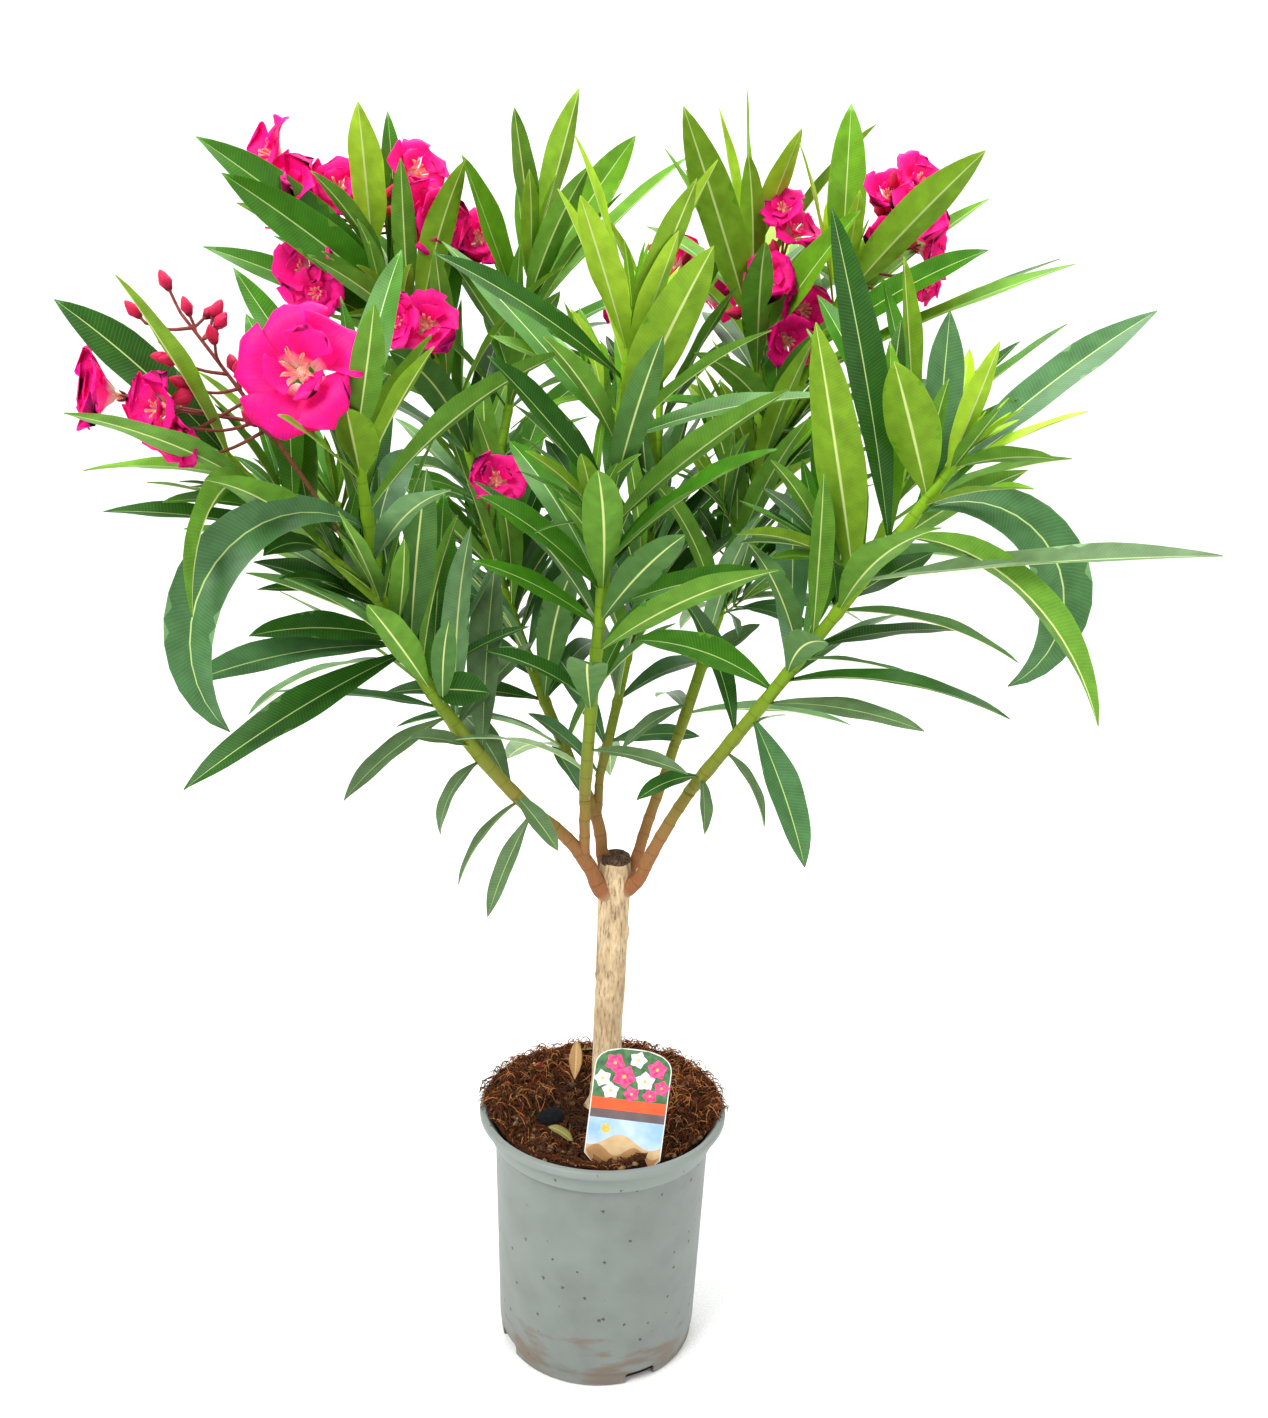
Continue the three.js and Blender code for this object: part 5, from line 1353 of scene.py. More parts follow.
def stem_tube(form, shoot, limbs, slot):
    """A shoot's stem, swollen at its whorls, eased out of its bough and rounded at its tip."""
    steps = max(int(shoot["length"] / STEM_STEP), 6)
    path = limb_path(shoot, shoot["path"][0], steps)
    toward = unit(path[1] - path[0])
    path = np.vstack((path[0] - toward * SEAT_SINK, path[1:]))
    along = np.linspace(0, shoot["length"], steps + 1)
    radii = mix(shoot["radius"], shoot["tip"], along / shoot["length"])
    if shoot["from"] in BOUGHS:
        tip = limbs[shoot["from"]]["tip"] * BOUGH_SLIM
        radii = mix(tip, radii, np.clip(along / SEAT_EASE, 0, 1) ** 0.7)
    for share in shoot_nodes(shoot):
        away = (along - share * shoot["length"] + 1) / NODE_REACH
        radii = radii + NODE_SWELL * np.exp(-away * away)
    end = np.array((path[-1] + (path[-1] - path[-2]) * 0.4,))
    path = np.vstack((path, end))
    radii = np.append(radii, radii[-1] * 0.35)
    add_tube(form, path, radii, STEM_AROUND, slot)


def gather_twigs(mass, crown):
    form = Gathering()
    limbs = crown["limbs"]
    for name in SHOOTS:
        if limbs[name]["mass"] == mass:
            stem_tube(form, limbs[name], limbs, 0)
    for sprig in crown["sprigs"]:
        if sprig["mass"] == mass:
            radii = np.linspace(sprig["radius"], sprig["tip"], len(sprig["path"]))
            add_tube(form, sprig["path"], radii, STALK_AROUND, 0)
    return form


# Blossom.
PETAL_ROWS = 9
PETAL_COLUMNS = 9
PETAL_WIDTH = ((0, 0.1), (0.2, 0.22), (0.42, 0.46), (0.66, 0.7), (0.8, 0.76), (0.92, 0.7), (1, 0.56))
PETAL_REACH = 1.16
PETAL_SKEW = 0.16
PETAL_RUFFLE = 0.075
PETAL_CORNER = 0.36
PETAL_CORNER_CURVE = 2.6
PETAL_FOOT = 0.55
PETAL_FRAY = 0.06
PETAL_ROLL = 0.3
PETAL_TILT = 0.05
PETAL_CUP = 0.12
PETAL_THICKNESS = 0.35
PETAL_LIFT = (0.2, 0.62)
OPEN_RADIUS = 30
BLOOM_SIZES = {"foliage_left": 0.92, "foliage_back_right": 0.86}
OPEN_LIFT = 0.14
PETAL_LIFT_SPREAD = (0.09, 0.21)
OUTER_JITTER = 0.16 * TURN / PETALS
INNER_TURN = 0.6
INNER_WHORL = (3, 0.5, (0.42, 0.66), (0.5, 1.0), 1)
FRINGE_WHORL = (8, 0, (0.16, 0.3), (0.7, 1.5), 0.16)
TUBE_WIDTHS = np.array((0.6, 0.7, 0.75, 0.85, 1.05, 1.4, 1.7))
CALYX_LOBES = 5
SEPAL = ((0.6, 0.6, 1.1), (0.95, 2.2, 1.0), (1.2, 4.0, 0.7), (1.5, 5.6, 0.15))
BUDS_MORE = 3
BRANCH_RADIUS = (1.3, 0.8)
BUD_SIZE = (0.7, 1.1)
BUD_PLUMP = 1.3


def petal_sheet(bloom, turn, size, lift, random, slim=1.0):
    """One petal: a narrow claw that widens into a skewed, ruffled blade, rolled back at its end."""
    radius = bloom["radius"] * size
    side, down = frame_of(bloom["facing"], 0.95)
    outward = swing(side, -down, turn)
    sideways = swing(down, side, turn)
    v = np.sin(np.linspace(0, math.pi / 2, PETAL_ROWS))[:, None]
    u = np.sin(np.linspace(-math.pi / 2, math.pi / 2, PETAL_COLUMNS))[None, :]
    width = read_table(PETAL_WIDTH, v) * radius * slim
    phase = random() * TURN
    fray = PETAL_FRAY * v**6 * np.sin(u * 6 + phase)
    foot = BLOOM_THROAT * PETAL_FOOT
    reach = radius * (foot + (PETAL_REACH - foot) * v * (1 + fray))
    reach = reach - radius * PETAL_CORNER * (np.abs(u) ** PETAL_CORNER_CURVE) * v**2
    across = u * width + PETAL_SKEW * radius * v**2
    waves = np.sin(phase + u * 3.1 + v * 5) + 0.6 * np.sin(2 * phase + u * 6.3 - v * 3)
    ruffle = PETAL_RUFFLE * radius * v * waves * (0.35 + np.abs(u))
    hollow = -BLOOM_THROAT * (1 - v) ** 2 + lift * v
    height = radius * (hollow - PETAL_ROLL * v**4 + PETAL_TILT * u * v)
    height = height + ruffle + radius * PETAL_CUP * u**2 * v
    sheet = bloom["centre"] + outward * reach[..., None] + sideways * across[..., None]
    sheet = sheet + bloom["facing"] * height[..., None]
    share = np.stack(np.broadcast_arrays(u, v), axis=-1)
    real = np.stack((across, np.broadcast_to(v * radius, across.shape)), axis=-1)
    return sheet, share, real


def add_petals(form, petals, slot):
    sheets, shares, reals = (np.array(values) for values in zip(*petals))
    edges = (0, PETAL_COLUMNS - 1)
    form.tubes(shell(sheets, PETAL_THICKNESS), ring_map(shares), ring_map(reals), slot, edges)


def petal_whorl(bloom, start, row, random):
    """A whorl of petals from its count, jitter in turn, sizes, lifts and slimness."""
    count, jitter, sizes, lifts, slim = row
    petals = []
    for k in range(count):
        turn = start + k * TURN / count + (jitter * random() if jitter else 0)
        size = mix(*sizes, random())
        petals.append(petal_sheet(bloom, turn, size, mix(*lifts, random()), random, slim))
    return petals


def gather_bloom(form, bloom, random):
    """Calyx, tube, a skewed whorl of petals, some smaller inner ones and a frayed throat."""
    small = bloom["radius"] < OPEN_RADIUS
    if small:
        bloom = {**bloom, "radius": bloom["radius"] * BLOOM_SIZES.get(bloom["mass"], 1)}
    start = random() * TURN
    cup = mix(*PETAL_LIFT, random()) if small else OPEN_LIFT
    lifts = (cup - PETAL_LIFT_SPREAD[0], cup + PETAL_LIFT_SPREAD[1])
    outer = petal_whorl(bloom, start, (PETALS, OUTER_JITTER, (0.9, 1), lifts, 1), random)
    inner = petal_whorl(bloom, start + INNER_TURN, INNER_WHORL, random)
    add_petals(form, outer + inner, 0)
    add_petals(form, petal_whorl(bloom, start, FRINGE_WHORL, random), 1)
    radius, facing = bloom["radius"], bloom["facing"]
    neck = bloom["centre"] - facing * radius * BLOOM_TUBE
    throat = bloom["centre"] - facing * radius * BLOOM_THROAT * 0.5
    line = mix(neck, throat, np.linspace(0, 1, len(TUBE_WIDTHS))[:, None])
    add_tube(form, line, TUBE_WIDTHS * CALYX_RADIUS, 12, 1)
    add_calyx(form, neck, facing, 1.0)
    bend = mix(bloom["foot"], neck, 0.5) - facing * radius * 0.12
    stalk = curve_through((bloom["foot"], bend, neck), 5)
    add_tube(form, stalk, PEDICEL_RADIUS, STALK_AROUND, 2)


def add_calyx(form, neck, facing, size):
    """A small cup with five pointed lobes."""
    cup = mix(neck - facing * 1.2, neck + facing * 2.2 * size, np.linspace(0, 1, 4)[:, None])
    widths = np.array((0.45, 0.95, 1.05, 0.95)) * CALYX_RADIUS * size
    add_tube(form, cup, widths, 10, 2)
    side, down = frame_of(facing, 0.95)
    reach, rise, radii = (column * size for column in np.transpose(SEPAL))
    for k in range(CALYX_LOBES):
        outward = swing(side, -down, k * TURN / CALYX_LOBES)
        line = neck + outward * reach[:, None] * CALYX_RADIUS + facing * rise[:, None]
        add_tube(form, line, radii, 5, 2)


def add_bud(form, foot, toward, neck, size, random):
    """A rolled spindle bud on a thin curved stalk."""
    sag = mix(foot, neck, 0.5) + direction(random() * 360, -30) * 1.5
    stalk = curve_through((foot, sag, neck), 4)
    add_tube(form, stalk, PEDICEL_RADIUS * 0.9, STALK_AROUND, 2)
    add_calyx(form, neck, toward, 0.62 * size)
    t = np.linspace(0, 1, 11)
    length = BUD_LENGTH * size * 0.88
    line = neck + toward * (t * length)[:, None]
    swell = np.interp(t, (0, 0.15, 0.4, 0.62, 0.85, 1), (0.45, 0.7, 1, 0.85, 0.5, 0.12))
    around = np.arange(10) / 10 * TURN
    twist = 1 + 0.09 * np.cos(5 * around[None] + 7 * t[:, None])
    add_tube(form, line, BUD_RADIUS * BUD_PLUMP * size * swell[:, None] * twist, 10, 3)


def gather_branch(form, path, branch, random):
    """A thin side branch of a flower stalk with buds about its end."""
    share, heading, rise, length, buds = branch
    foot = path_point(path, share)
    end = foot + direction(heading, rise) * length
    sag = mix(foot, end, 0.5) - (0, 0, 0.08 * length)
    line = curve_through((foot, sag, end), 5)
    add_tube(form, line, np.linspace(*BRANCH_RADIUS, len(line)), STALK_AROUND, 2)
    for i in range(buds):
        toward = direction(heading + (random() - 0.5) * 100, rise + mix(-35, 60, random()))
        place = mix(end, sag, 0.7 * i / buds)
        neck = place + toward * mix(2, 8, random())
        add_bud(form, place, toward, neck, mix(0.85, 1.3, random()), random)


def gather_blossom(mass, crown):
    form = Gathering()
    random = make_random(LOOK_SEED + 3 * len(mass))
    for name, cluster in CLUSTERS.items():
        stalk = next(s for s in crown["stalks"] if s.get("name") == name)
        if stalk["mass"] != mass:
            continue
        steps = max(int(cluster["length"] / 6), 5)
        path = limb_path(cluster, stalk["path"][0], steps)
        radii = np.linspace(cluster["radius"], PEDICEL_RADIUS, steps + 1)
        add_tube(form, path, radii, 8, 2)
        for branch in BRANCHES.get(name, ()):
            gather_branch(form, path, branch, random)
        for i in range(BUDS_MORE):
            share = mix(0.72, 1, random())
            foot = path_point(path, share)
            toward = direction(cluster["heading"] + GOLDEN_TURN * (i + 0.5), mix(35, 78, random()))
            neck = foot + toward * mix(6, 14, random())
            add_bud(form, foot, toward, neck, mix(*BUD_SIZE, random()), random)
    for stalk in crown["stalks"]:
        if stalk["mass"] == mass and "toward" in stalk:
            foot, neck = stalk["path"]
            add_bud(form, foot, stalk["toward"], neck, 1, random)
    for bloom in crown["blooms"]:
        if bloom["mass"] == mass:
            gather_bloom(form, bloom, random)
    return form


# Bark.
TRUNK_ROWS = 170
TRUNK_AROUND = 72
FLARE = 2.2
FLARE_END = 0.09
FLARE_LOBES = 4
RIDGE = 0.4
ROUGH = 0.2
CRACK = 1.1
LUMP = 0.6
# Knots: heading, height, how far they stand out and how wide they are.
KNOTS = (
    (300, 262, 1.6, 6), (20, 352, 2.6, 8), (205, 318, 1.4, 5), (120, 240, 1.8, 7), (250, 395, 1.6, 6),
)
STUB_ROUGH = 1.4
STUB_DARK = 4
STUB_RINGS = ((0.9, -0.2), (0.6, -1.4), (0.25, -2.2))
BOUGH_AROUND = 30
BOUGH_ROWS = 12
SCAR_PITCH = 15
SCAR_HEIGHT = 0.32
BOUGH_ROUGH = 0.28
BOUGH_LUMP = 0.4
COLLAR_SWELL = 3.2
BOUGH_SLIM = 0.86


def trunk_point(height):
    share = (height - TRUNK_BASE[2]) / (TRUNK_TOP[2] - TRUNK_BASE[2])
    return mix(TRUNK_BASE, TRUNK_TOP, share)


def gather_trunk():
    """The trunk's bark: upright ridges and cracks, knots, root flare and a rough sawn stub."""
    rows = np.linspace(0, 1, TRUNK_ROWS)[:, None]
    turn = (np.arange(TRUNK_AROUND) / TRUNK_AROUND)[None, :]
    angle = turn * TURN
    height = mix(TRUNK_BASE[2], TRUNK_TOP[2], rows)
    radius = read_table(TRUNK_RINGS, rows)
    flare = np.clip(1 - rows / FLARE_END, 0, 1) ** 2
    radius = radius + flare * FLARE * np.cos(FLARE_LOBES * angle + 0.7)
    ridges = relief(turn * 24, height / 26 + relief(turn * 6, height / 40, 5, 6), 11, 24)
    rough = relief(turn * 48, height / 9, 17, 48)
    cracks = np.clip(relief(turn * 18, height / 16, 23, 18) - 0.45, 0, 1)
    lumps = relief(turn * 5, height / 34, 31, 5)
    radius = radius + RIDGE * ridges + ROUGH * rough - CRACK * cracks + LUMP * lumps
    for heading, level, out, wide in KNOTS:
        around = (np.degrees(angle) - heading + 180) % 360 - 180
        away = np.hypot(np.radians(around) * 12, height - level) / wide
        radius = radius + out * np.exp(-3 * away**2) - 0.5 * out * np.exp(-24 * away**2)
    nearly = np.clip((rows - 0.96) / 0.04, 0, 1)
    up = nearly * STUB_ROUGH * relief(turn * 10, 0 * turn, 67, 10)
    points = trunk_point(height)[:, None] + turned(radius, angle, up)
    top = points[-1]
    for share, sink in STUB_RINGS:
        inner = mix(TRUNK_TOP, top, share)
        rough = relief(inner[:, 0] / 3.4, inner[:, 1] / 3.4, 41)
        inner[:, 2] = TRUNK_TOP[2] + sink + 1.6 * rough - 0.4
        points = np.concatenate((points, inner[None]))
    slots = np.ones((1, len(points) - 1, TRUNK_AROUND), int)
    ragged = TRUNK_TOP[2] - STUB_DARK + 2 * relief(turn * 9, 0 * turn, 61, 9)
    slots[0, : TRUNK_ROWS - 2] = height[1:-1] > ragged
    form = Gathering()
    form.grid(points, TURN * TRUNK_RINGS[1][1], slots)
    return form


def gather_bough(bough, seed):
    """A bough's bark: ring scars where leaves stood, fine ridges and a swollen foot."""
    thin = [path_point(bough["path"], i / 6) for i in range(7)]
    if bough["root"]:
        thin[0] = trunk_point(bough["root"])
    path = curve_through(thin, BOUGH_ROWS)
    along = lengths_along(path)[:, None]
    turn = (np.arange(BOUGH_AROUND) / BOUGH_AROUND)[None, :]
    radius = np.linspace(bough["radius"], bough["tip"], len(path))[:, None] * BOUGH_SLIM
    rise = along / SCAR_PITCH + 0.12 * relief(turn * 5, along / 30, seed, 5)
    scar = np.exp(-(((rise % 1) - 0.5) * 7) ** 2)
    radius = radius + SCAR_HEIGHT * scar + BOUGH_ROUGH * relief(turn * 12, along / 11, seed + 3, 12)
    radius = radius + BOUGH_LUMP * relief(turn * 4, along / 22, seed + 9, 4)
    if bough["root"]:
        radius = radius + COLLAR_SWELL * np.exp(-(((along - 11) / 9) ** 2))
    form = Gathering()
    add_tube(form, path, radius, BOUGH_AROUND, 0)
    return form


# Pot.
POT_AROUND = 144
LIP_ROUNDING = 5
# Turns of the pot's skin, as steps in radius and height from the size that they belong to.
FOOT_TURNS = (
    (-2.5, 0), (-1, 0.3), (0, 1.4), (0.2, 5), (0.4, FOOT_HEIGHT), (0.9, FOOT_HEIGHT + 0.5),
    (1.4, FOOT_HEIGHT + 1.5),
)
COLLAR_TURNS = ((-0.5, 1.4), (0, 2.6), (0.9, 9), (2, 16.4), (2.8, 17))
LIP_TURNS = ((-2.2, 0.3), (-0.8, 0.8), (-0.1, 2))


def pot_outline():
    """Radius and height along the pot's skin, from the middle of its foot to its inner floor."""
    collar_base = POT_HEIGHT - COLLAR_HEIGHT
    lip_base = POT_HEIGHT - LIP_HEIGHT
    wall = np.linspace(0, 1, 12)[1:, None]
    foot = [(FOOT_RADIUS + out, up) for out, up in FOOT_TURNS]
    collar = [(COLLAR_RADIUS + out, collar_base + up) for out, up in COLLAR_TURNS]
    lip = [(LIP_RADIUS + out, lip_base + up) for out, up in LIP_TURNS]
    turn = np.radians(np.linspace(0, 90, LIP_ROUNDING))
    rounded = np.array((LIP_RADIUS - 2.6, POT_HEIGHT - 2.5))
    inside = [
        (LIP_RADIUS - 4.6, POT_HEIGHT), (LIP_RADIUS - 5.4, POT_HEIGHT - 0.8),
        (COLLAR_RADIUS - POT_WALL + 1, lip_base), (WALL_TOP_RADIUS - POT_WALL, collar_base),
        (FOOT_RADIUS - POT_WALL, FLOOR), (0.5, FLOOR),
    ]
    return np.vstack((
        (0.5, 0), foot, mix(np.array(foot[-1]), (WALL_TOP_RADIUS, collar_base), wall),
        (WALL_TOP_RADIUS + 1.8, collar_base + 0.5), collar, lip,
        rounded + 2.5 * np.stack((np.cos(turn), np.sin(turn)), axis=-1), inside,
    ))


def lathe(outline, around):
    """A turned form: rows along the outline, columns round the +Z axis, the outside outwards."""
    return turned(outline[:, :1], np.arange(around) / around * TURN, outline[:, 1:])


def notch_cutter():
    """Four rounded blocks that open the foot's drain notches."""
    form = Gathering()
    half, high = NOTCH_WIDTH / 2, NOTCH_HEIGHT
    cut = NOTCH_ROUNDING * 0.3
    right = [(half, high - NOTCH_ROUNDING), (half - cut, high - cut), (half - NOTCH_ROUNDING, high)]
    outline = np.array([(-half, -high), (half, -high), *right, *mirrored(right)])
    for i in range(NOTCH_COUNT):
        outward = direction(NOTCH_HEADING + i * 360 / NOTCH_COUNT, 0)

        def place(points, outward=outward):
            across = np.array((-outward[1], outward[0], 0))
            level = outward * (FOOT_RADIUS + NOTCH_DEPTH - points[:, 1:2])
            return level + across * points[:, :1] + points * (0, 0, 1)

        form.plate(outline, place, NOTCH_DEPTH * 2, 0)
    return form.build("notch_cutter", [])


# Soil.
SOIL_AROUND = 168
SOIL_STEPS = 34
SOIL_ROUGH = 1.7
CLUMP_SIZE = 15
CLUMP_HEIGHT = 4
CLUMP_FROM = 0.5
SOIL_INSET = POT_WALL + 1


def soil_cover(heading):
    away = np.abs((heading - SOIL_BACK + 540) % 360 - 180)
    t = np.clip((SOIL_COVER_END - away) / SOIL_COVER_BLEND, 0, 1)
    return t * t * (3 - 2 * t)


def soil_height(radius, heading):
    """The soil's surface inside its outer ring, as in the solid."""
    out = np.clip((radius - SOIL_SEAT_RADIUS) / (SOIL_OUTER_RING - SOIL_SEAT_RADIUS), 0, 1)
    heap = SOIL_HEAP * soil_cover(heading) * np.sin(math.pi * out * SOIL_HEAP_END)
    lumps = sum(
        height * np.sin(count * np.radians(heading) + pitch * radius)
        for count, pitch, height in SOIL_WAVES
    )
    return SOIL_LEVEL + heap + out * lumps


def soil_edge(cover):
    """Radius and height where the mix meets the pot, by how far it covers the lip."""
    return [mix(low, high, cover) for low, high in zip(SOIL_EDGE_LOW, SOIL_EDGE_HIGH)]


def soil_point(share, heading):
    """A place on the soil's surface; shares above 1 climb the lip's inner slope."""
    share, heading = np.broadcast_arrays(share, heading)
    radius = np.minimum(share, 1) * SOIL_OUTER_RING
    height = soil_height(radius, heading)
    cover = soil_cover(heading)
    edge_radius, edge_height = soil_edge(cover)
    over = np.clip((cover - SOIL_LAP_FROM) / (1 - SOIL_LAP_FROM), 0, 1)
    climb = np.clip((share - 1) / 0.1, 0, 1)
    radius = mix(radius, edge_radius + SOIL_LAP * over, climb)
    height = mix(height, edge_height + 0.4, climb)
    place = turned(radius, np.radians(heading), height)
    fade = np.clip(share / CLUMP_FROM, 0, 1) * np.clip((1.1 - share) / 0.1, 0.35 * over, 1)
    clump = relief(place[..., 0] / CLUMP_SIZE, place[..., 1] / CLUMP_SIZE, 57) + 0.25
    place[..., 2] += CLUMP_HEIGHT * clump * fade
    return place


def gather_soil():
    """The mound: a rough skin over the heap, and sides and base down inside the pot."""
    heading = np.arange(SOIL_AROUND) / SOIL_AROUND * 360
    edge = soil_edge(soil_cover(heading))
    shares = np.concatenate((np.linspace(1.1, 1, 4), np.linspace(1, 0.01, SOIL_STEPS)[1:]))
    top = soil_point(shares[:, None], heading[None])
    rough = relief(top[..., 0] / 7, top[..., 1] / 7, 3) + 0.6 * relief(top[..., 0] / 3, top[..., 1] / 3, 9)
    fade = np.clip((1.08 - shares[:, None]) / 0.06, 0, 1) * np.clip(shares[:, None] / 0.2, 0.25, 1)
    top[..., 2] += SOIL_ROUGH * rough * fade
    low = [
        (0.5, FLOOR + GAP), (FOOT_RADIUS - SOIL_INSET, FLOOR + GAP),
        (WALL_TOP_RADIUS - SOIL_INSET, POT_HEIGHT - COLLAR_HEIGHT),
        (SOIL_EDGE_LOW[0] - 0.6, SOIL_EDGE_LOW[1] - 1.8),
    ]
    low = lathe(np.array(low), SOIL_AROUND)
    seat = turned(edge[0], np.radians(heading), edge[1])
    form = Gathering()
    form.grid(np.concatenate((low, seat[None], top)), TURN * FOOT_RADIUS)
    return form


FIBRE_SEED = 913
FIBRE_LENGTH = (7, 30)
# Real coir is 0.1 to 0.3 mm thick; it is drawn thicker, so that single fibres show.
FIBRE_RADIUS = (0.2, 0.55)
FIBRE_TAPER = np.array((0.3, 0.9, 1, 1, 0.8, 0.25))
FIBRE_AROUND = 3
FIBRE_AREA = (0.03, 1.28)
FIBRE_CURL = 170
FIBRE_RISE = (3, 6.5)
FIBRE_SPARSE = 0.5
FIBRE_REACH = (86, 102.5)
# Inside this share of the radius the fibres are dealt darker, as painted shade round the trunk.
FIBRE_SHADE_SHARE = 0.5
FIBRE_DARK_HEADING = 255
LUMP_SEED = 3301
LUMP_SIZE = (1.0, 3.8)
BLACK_LUMP = {"share": 0.55, "heading": 212, "size": 10.5}


def gather_fibres(count):
    """Coir fibres and fine roots lying over the mound in loose curves."""
    random = make_random(FIBRE_SEED)
    form = Gathering()
    t = np.linspace(-0.5, 0.5, len(FIBRE_TAPER))
    for _ in range(count):
        share = math.sqrt(mix(*FIBRE_AREA, random()))
        heading = random() * 360
        if random() > share / FIBRE_SPARSE:
            continue
        length = mix(*FIBRE_LENGTH, random() ** 1.6)
        lie = random() * 360
        curl = (random() - 0.5) * FIBRE_CURL
        rise = random() * mix(*FIBRE_RISE, min(share, 1) ** 2)
        radius = mix(*FIBRE_RADIUS, random() ** 2)
        middle = soil_point(share, heading)
        moves = direction(lie + curl * t, 0)[:, :2] * length / len(t)
        flat = middle[:2] + np.cumsum(moves, axis=0) - moves.sum(axis=0) / 2
        headings = np.degrees(np.arctan2(flat[:, 1], flat[:, 0]))
        limit = mix(*FIBRE_REACH, soil_cover(headings))
        away = np.hypot(flat[:, 0], flat[:, 1])
        flat = flat * np.minimum(1, limit / np.maximum(away, 1))[:, None]
        away = np.minimum(away, limit)
        level = soil_point(np.minimum(away / SOIL_OUTER_RING, 1.1), headings)[:, 2]
        height = level + 0.5 + rise * (1 - 4 * t * t) - 1.2 * (np.abs(t) > 0.4)
        # Brown fibres are dealt more often towards the front, and more again in the middle of the mound.
        # The extra dark in the middle is painted shade round the trunk under the crown.
        front = 0.5 + 0.5 * math.cos(math.radians(heading - FIBRE_DARK_HEADING))
        dark = 0.25 + 0.6 * front + (0.3 if share < FIBRE_SHADE_SHARE else 0)
        slot = 1 if random() < dark else 2 * int(random() * 2)
        add_tube(form, np.column_stack((flat, height)), radius * FIBRE_TAPER, FIBRE_AROUND, slot)
    return form


def lump_points(middle, size, random, rows=5, around=6, uneven_by=0.56, flat=(0.35, 0.8)):
    """A small irregular lump: a squashed ball with uneven corners."""
    up = np.linspace(-1, 1, rows)[:, None] * math.pi / 2 * 0.86
    turn = np.arange(around) / around * TURN + random() * 6
    draws = np.array([random() for _ in range(rows * around)]).reshape(rows, around, 1)
    stretch = np.array((1, mix(0.5, 1, random()), mix(*flat, random())))
    ball = turned(np.cos(up), turn, np.sin(up)) * (1 + uneven_by * (draws - 0.5))
    ball = ball * size * stretch
    spin = np.array(Matrix.Rotation(random() * TURN, 3, "Z"))
    return ball @ spin.T + middle


def gather_lumps(count):
    """Peat crumbs and bark chips, some dark and some tan; towards the middle more of them are dark, as
    painted shade round the trunk.
    """
    random = make_random(LUMP_SEED)
    form = Gathering()
    for _ in range(count):
        share = math.sqrt(mix(0.04, 1.08, random()))
        heading = random() * 360
        size = mix(*LUMP_SIZE, random() ** 2)
        middle = soil_point(min(share, 1.03), heading) + (0, 0, size * 0.25)
        points = lump_points(middle, size, random)
        # Towards the middle the crumbs are dealt dark: painted shade under the crown.
        slot = int(mix(random() * 3, random(), 1 - min(share, 1)))
        form.grid(points, TURN * size, slot)
    place = soil_point(BLACK_LUMP["share"], BLACK_LUMP["heading"]) + (0, 0, 3)
    points = lump_points(place, BLACK_LUMP["size"], random, 11, 16, 0.16, (0.7, 0.8))
    form.grid(points, TURN * BLACK_LUMP["size"], 3)
    return form


# Litter on the soil. A dead leaf: length, width, heading of its foot, share out, lie, rise, curl
# and colour slot.
DEAD_LEAVES = (
    (32, 12, 132, 0.43, 80, 68, 6, 0), (26, 9, 250, 0.7, 140, 36, 40, 1),
    (30, 9, 200, 0.70, 80, 12, 20, 1), (24, 8, 40, 0.55, 120, 12, 30, 0),
    (34, 10, 112, 0.8, 10, 12, 40, 1), (26, 8, 320, 0.62, 60, 12, 24, 0),
    (22, 9, 122, 0.62, 60, 50, 20, 1), (20, 6, 262, 0.86, 20, 10, 30, 0),
)
FALLEN_HEADING = 141
FALLEN_SHARE = 0.86
FALLEN_LIE = 318
FALLEN_RADII = ((0, 1.2), (0.15, 4.2), (0.4, 3.2), (1, 0.9))


def gather_litter(random):
    """Dry leaves and one fallen withered flower."""
    form = Gathering()
    for length, width, heading, out, lie, rise, curl, slot in DEAD_LEAVES:
        base = soil_point(out, heading) + (0, 0, 1.5)
        leaf = {
            "base": base, "heading": lie, "rise": rise, "droop": curl, "sweep": 20, "roll": 12,
            "length": length, "width": width, "marked": True,
        }
        sheets, shares, reals = leaf_sheets([leaf], random)
        form.tubes(shell(sheets, 0.4), ring_map(shares), ring_map(reals), slot)
    place = soil_point(FALLEN_SHARE, FALLEN_HEADING) + (0, 0, 3.5)
    toward, across = direction(FALLEN_LIE, 2), direction(FALLEN_LIE + 50, 4)
    flower = curve_through((place, place + toward * 8, place + toward * 20 - (0, 0, 2)), 5)
    radii = read_table(FALLEN_RADII, np.linspace(0, 1, len(flower)))
    add_tube(form, flower, radii[:, None] * (1 + 0.2 * np.cos(3 * np.arange(9))), 9, 2)
    cup = curve_through((place, place - toward * 3, place - toward * 5 + (0, 0, 1)), 3)
    add_tube(form, cup, np.linspace(2.4, 1, len(cup)), 7, 0)
    stalk = (place, place + across * 12 + (0, 0, 5), place + across * 34 + (0, 0, 2))
    add_tube(form, curve_through(stalk, 5), 0.7, 6, 3)
    return form


# Label.
PRINT_PROUD = 0.05
PRINT_MARGIN = 0.7
PRINT_ZONES = ((0.7, 40, 5), (40, 47, 3), (47, 56, 4), (56, 95.4, 10))
PAINTED_SUN = (-15, 32, 3.4)
HILL_STEPS = 24
HILLS = ((23, 5, 1.3, 2), (15, 4, 2.1, 6), (8, 3, 1.7, 7))
PAINTED_BLOOMS = (
    (-14, 84, 8, 8), (3, 88, 7, 9), (18, 82, 8, 8), (-22, 71, 7, 9), (-6, 74, 9.5, 8),
    (10, 72, 8, 9), (23, 68, 6.5, 8), (-15, 62, 7, 9), (1, 61, 6.5, 8), (15, 61, 6, 8),
)


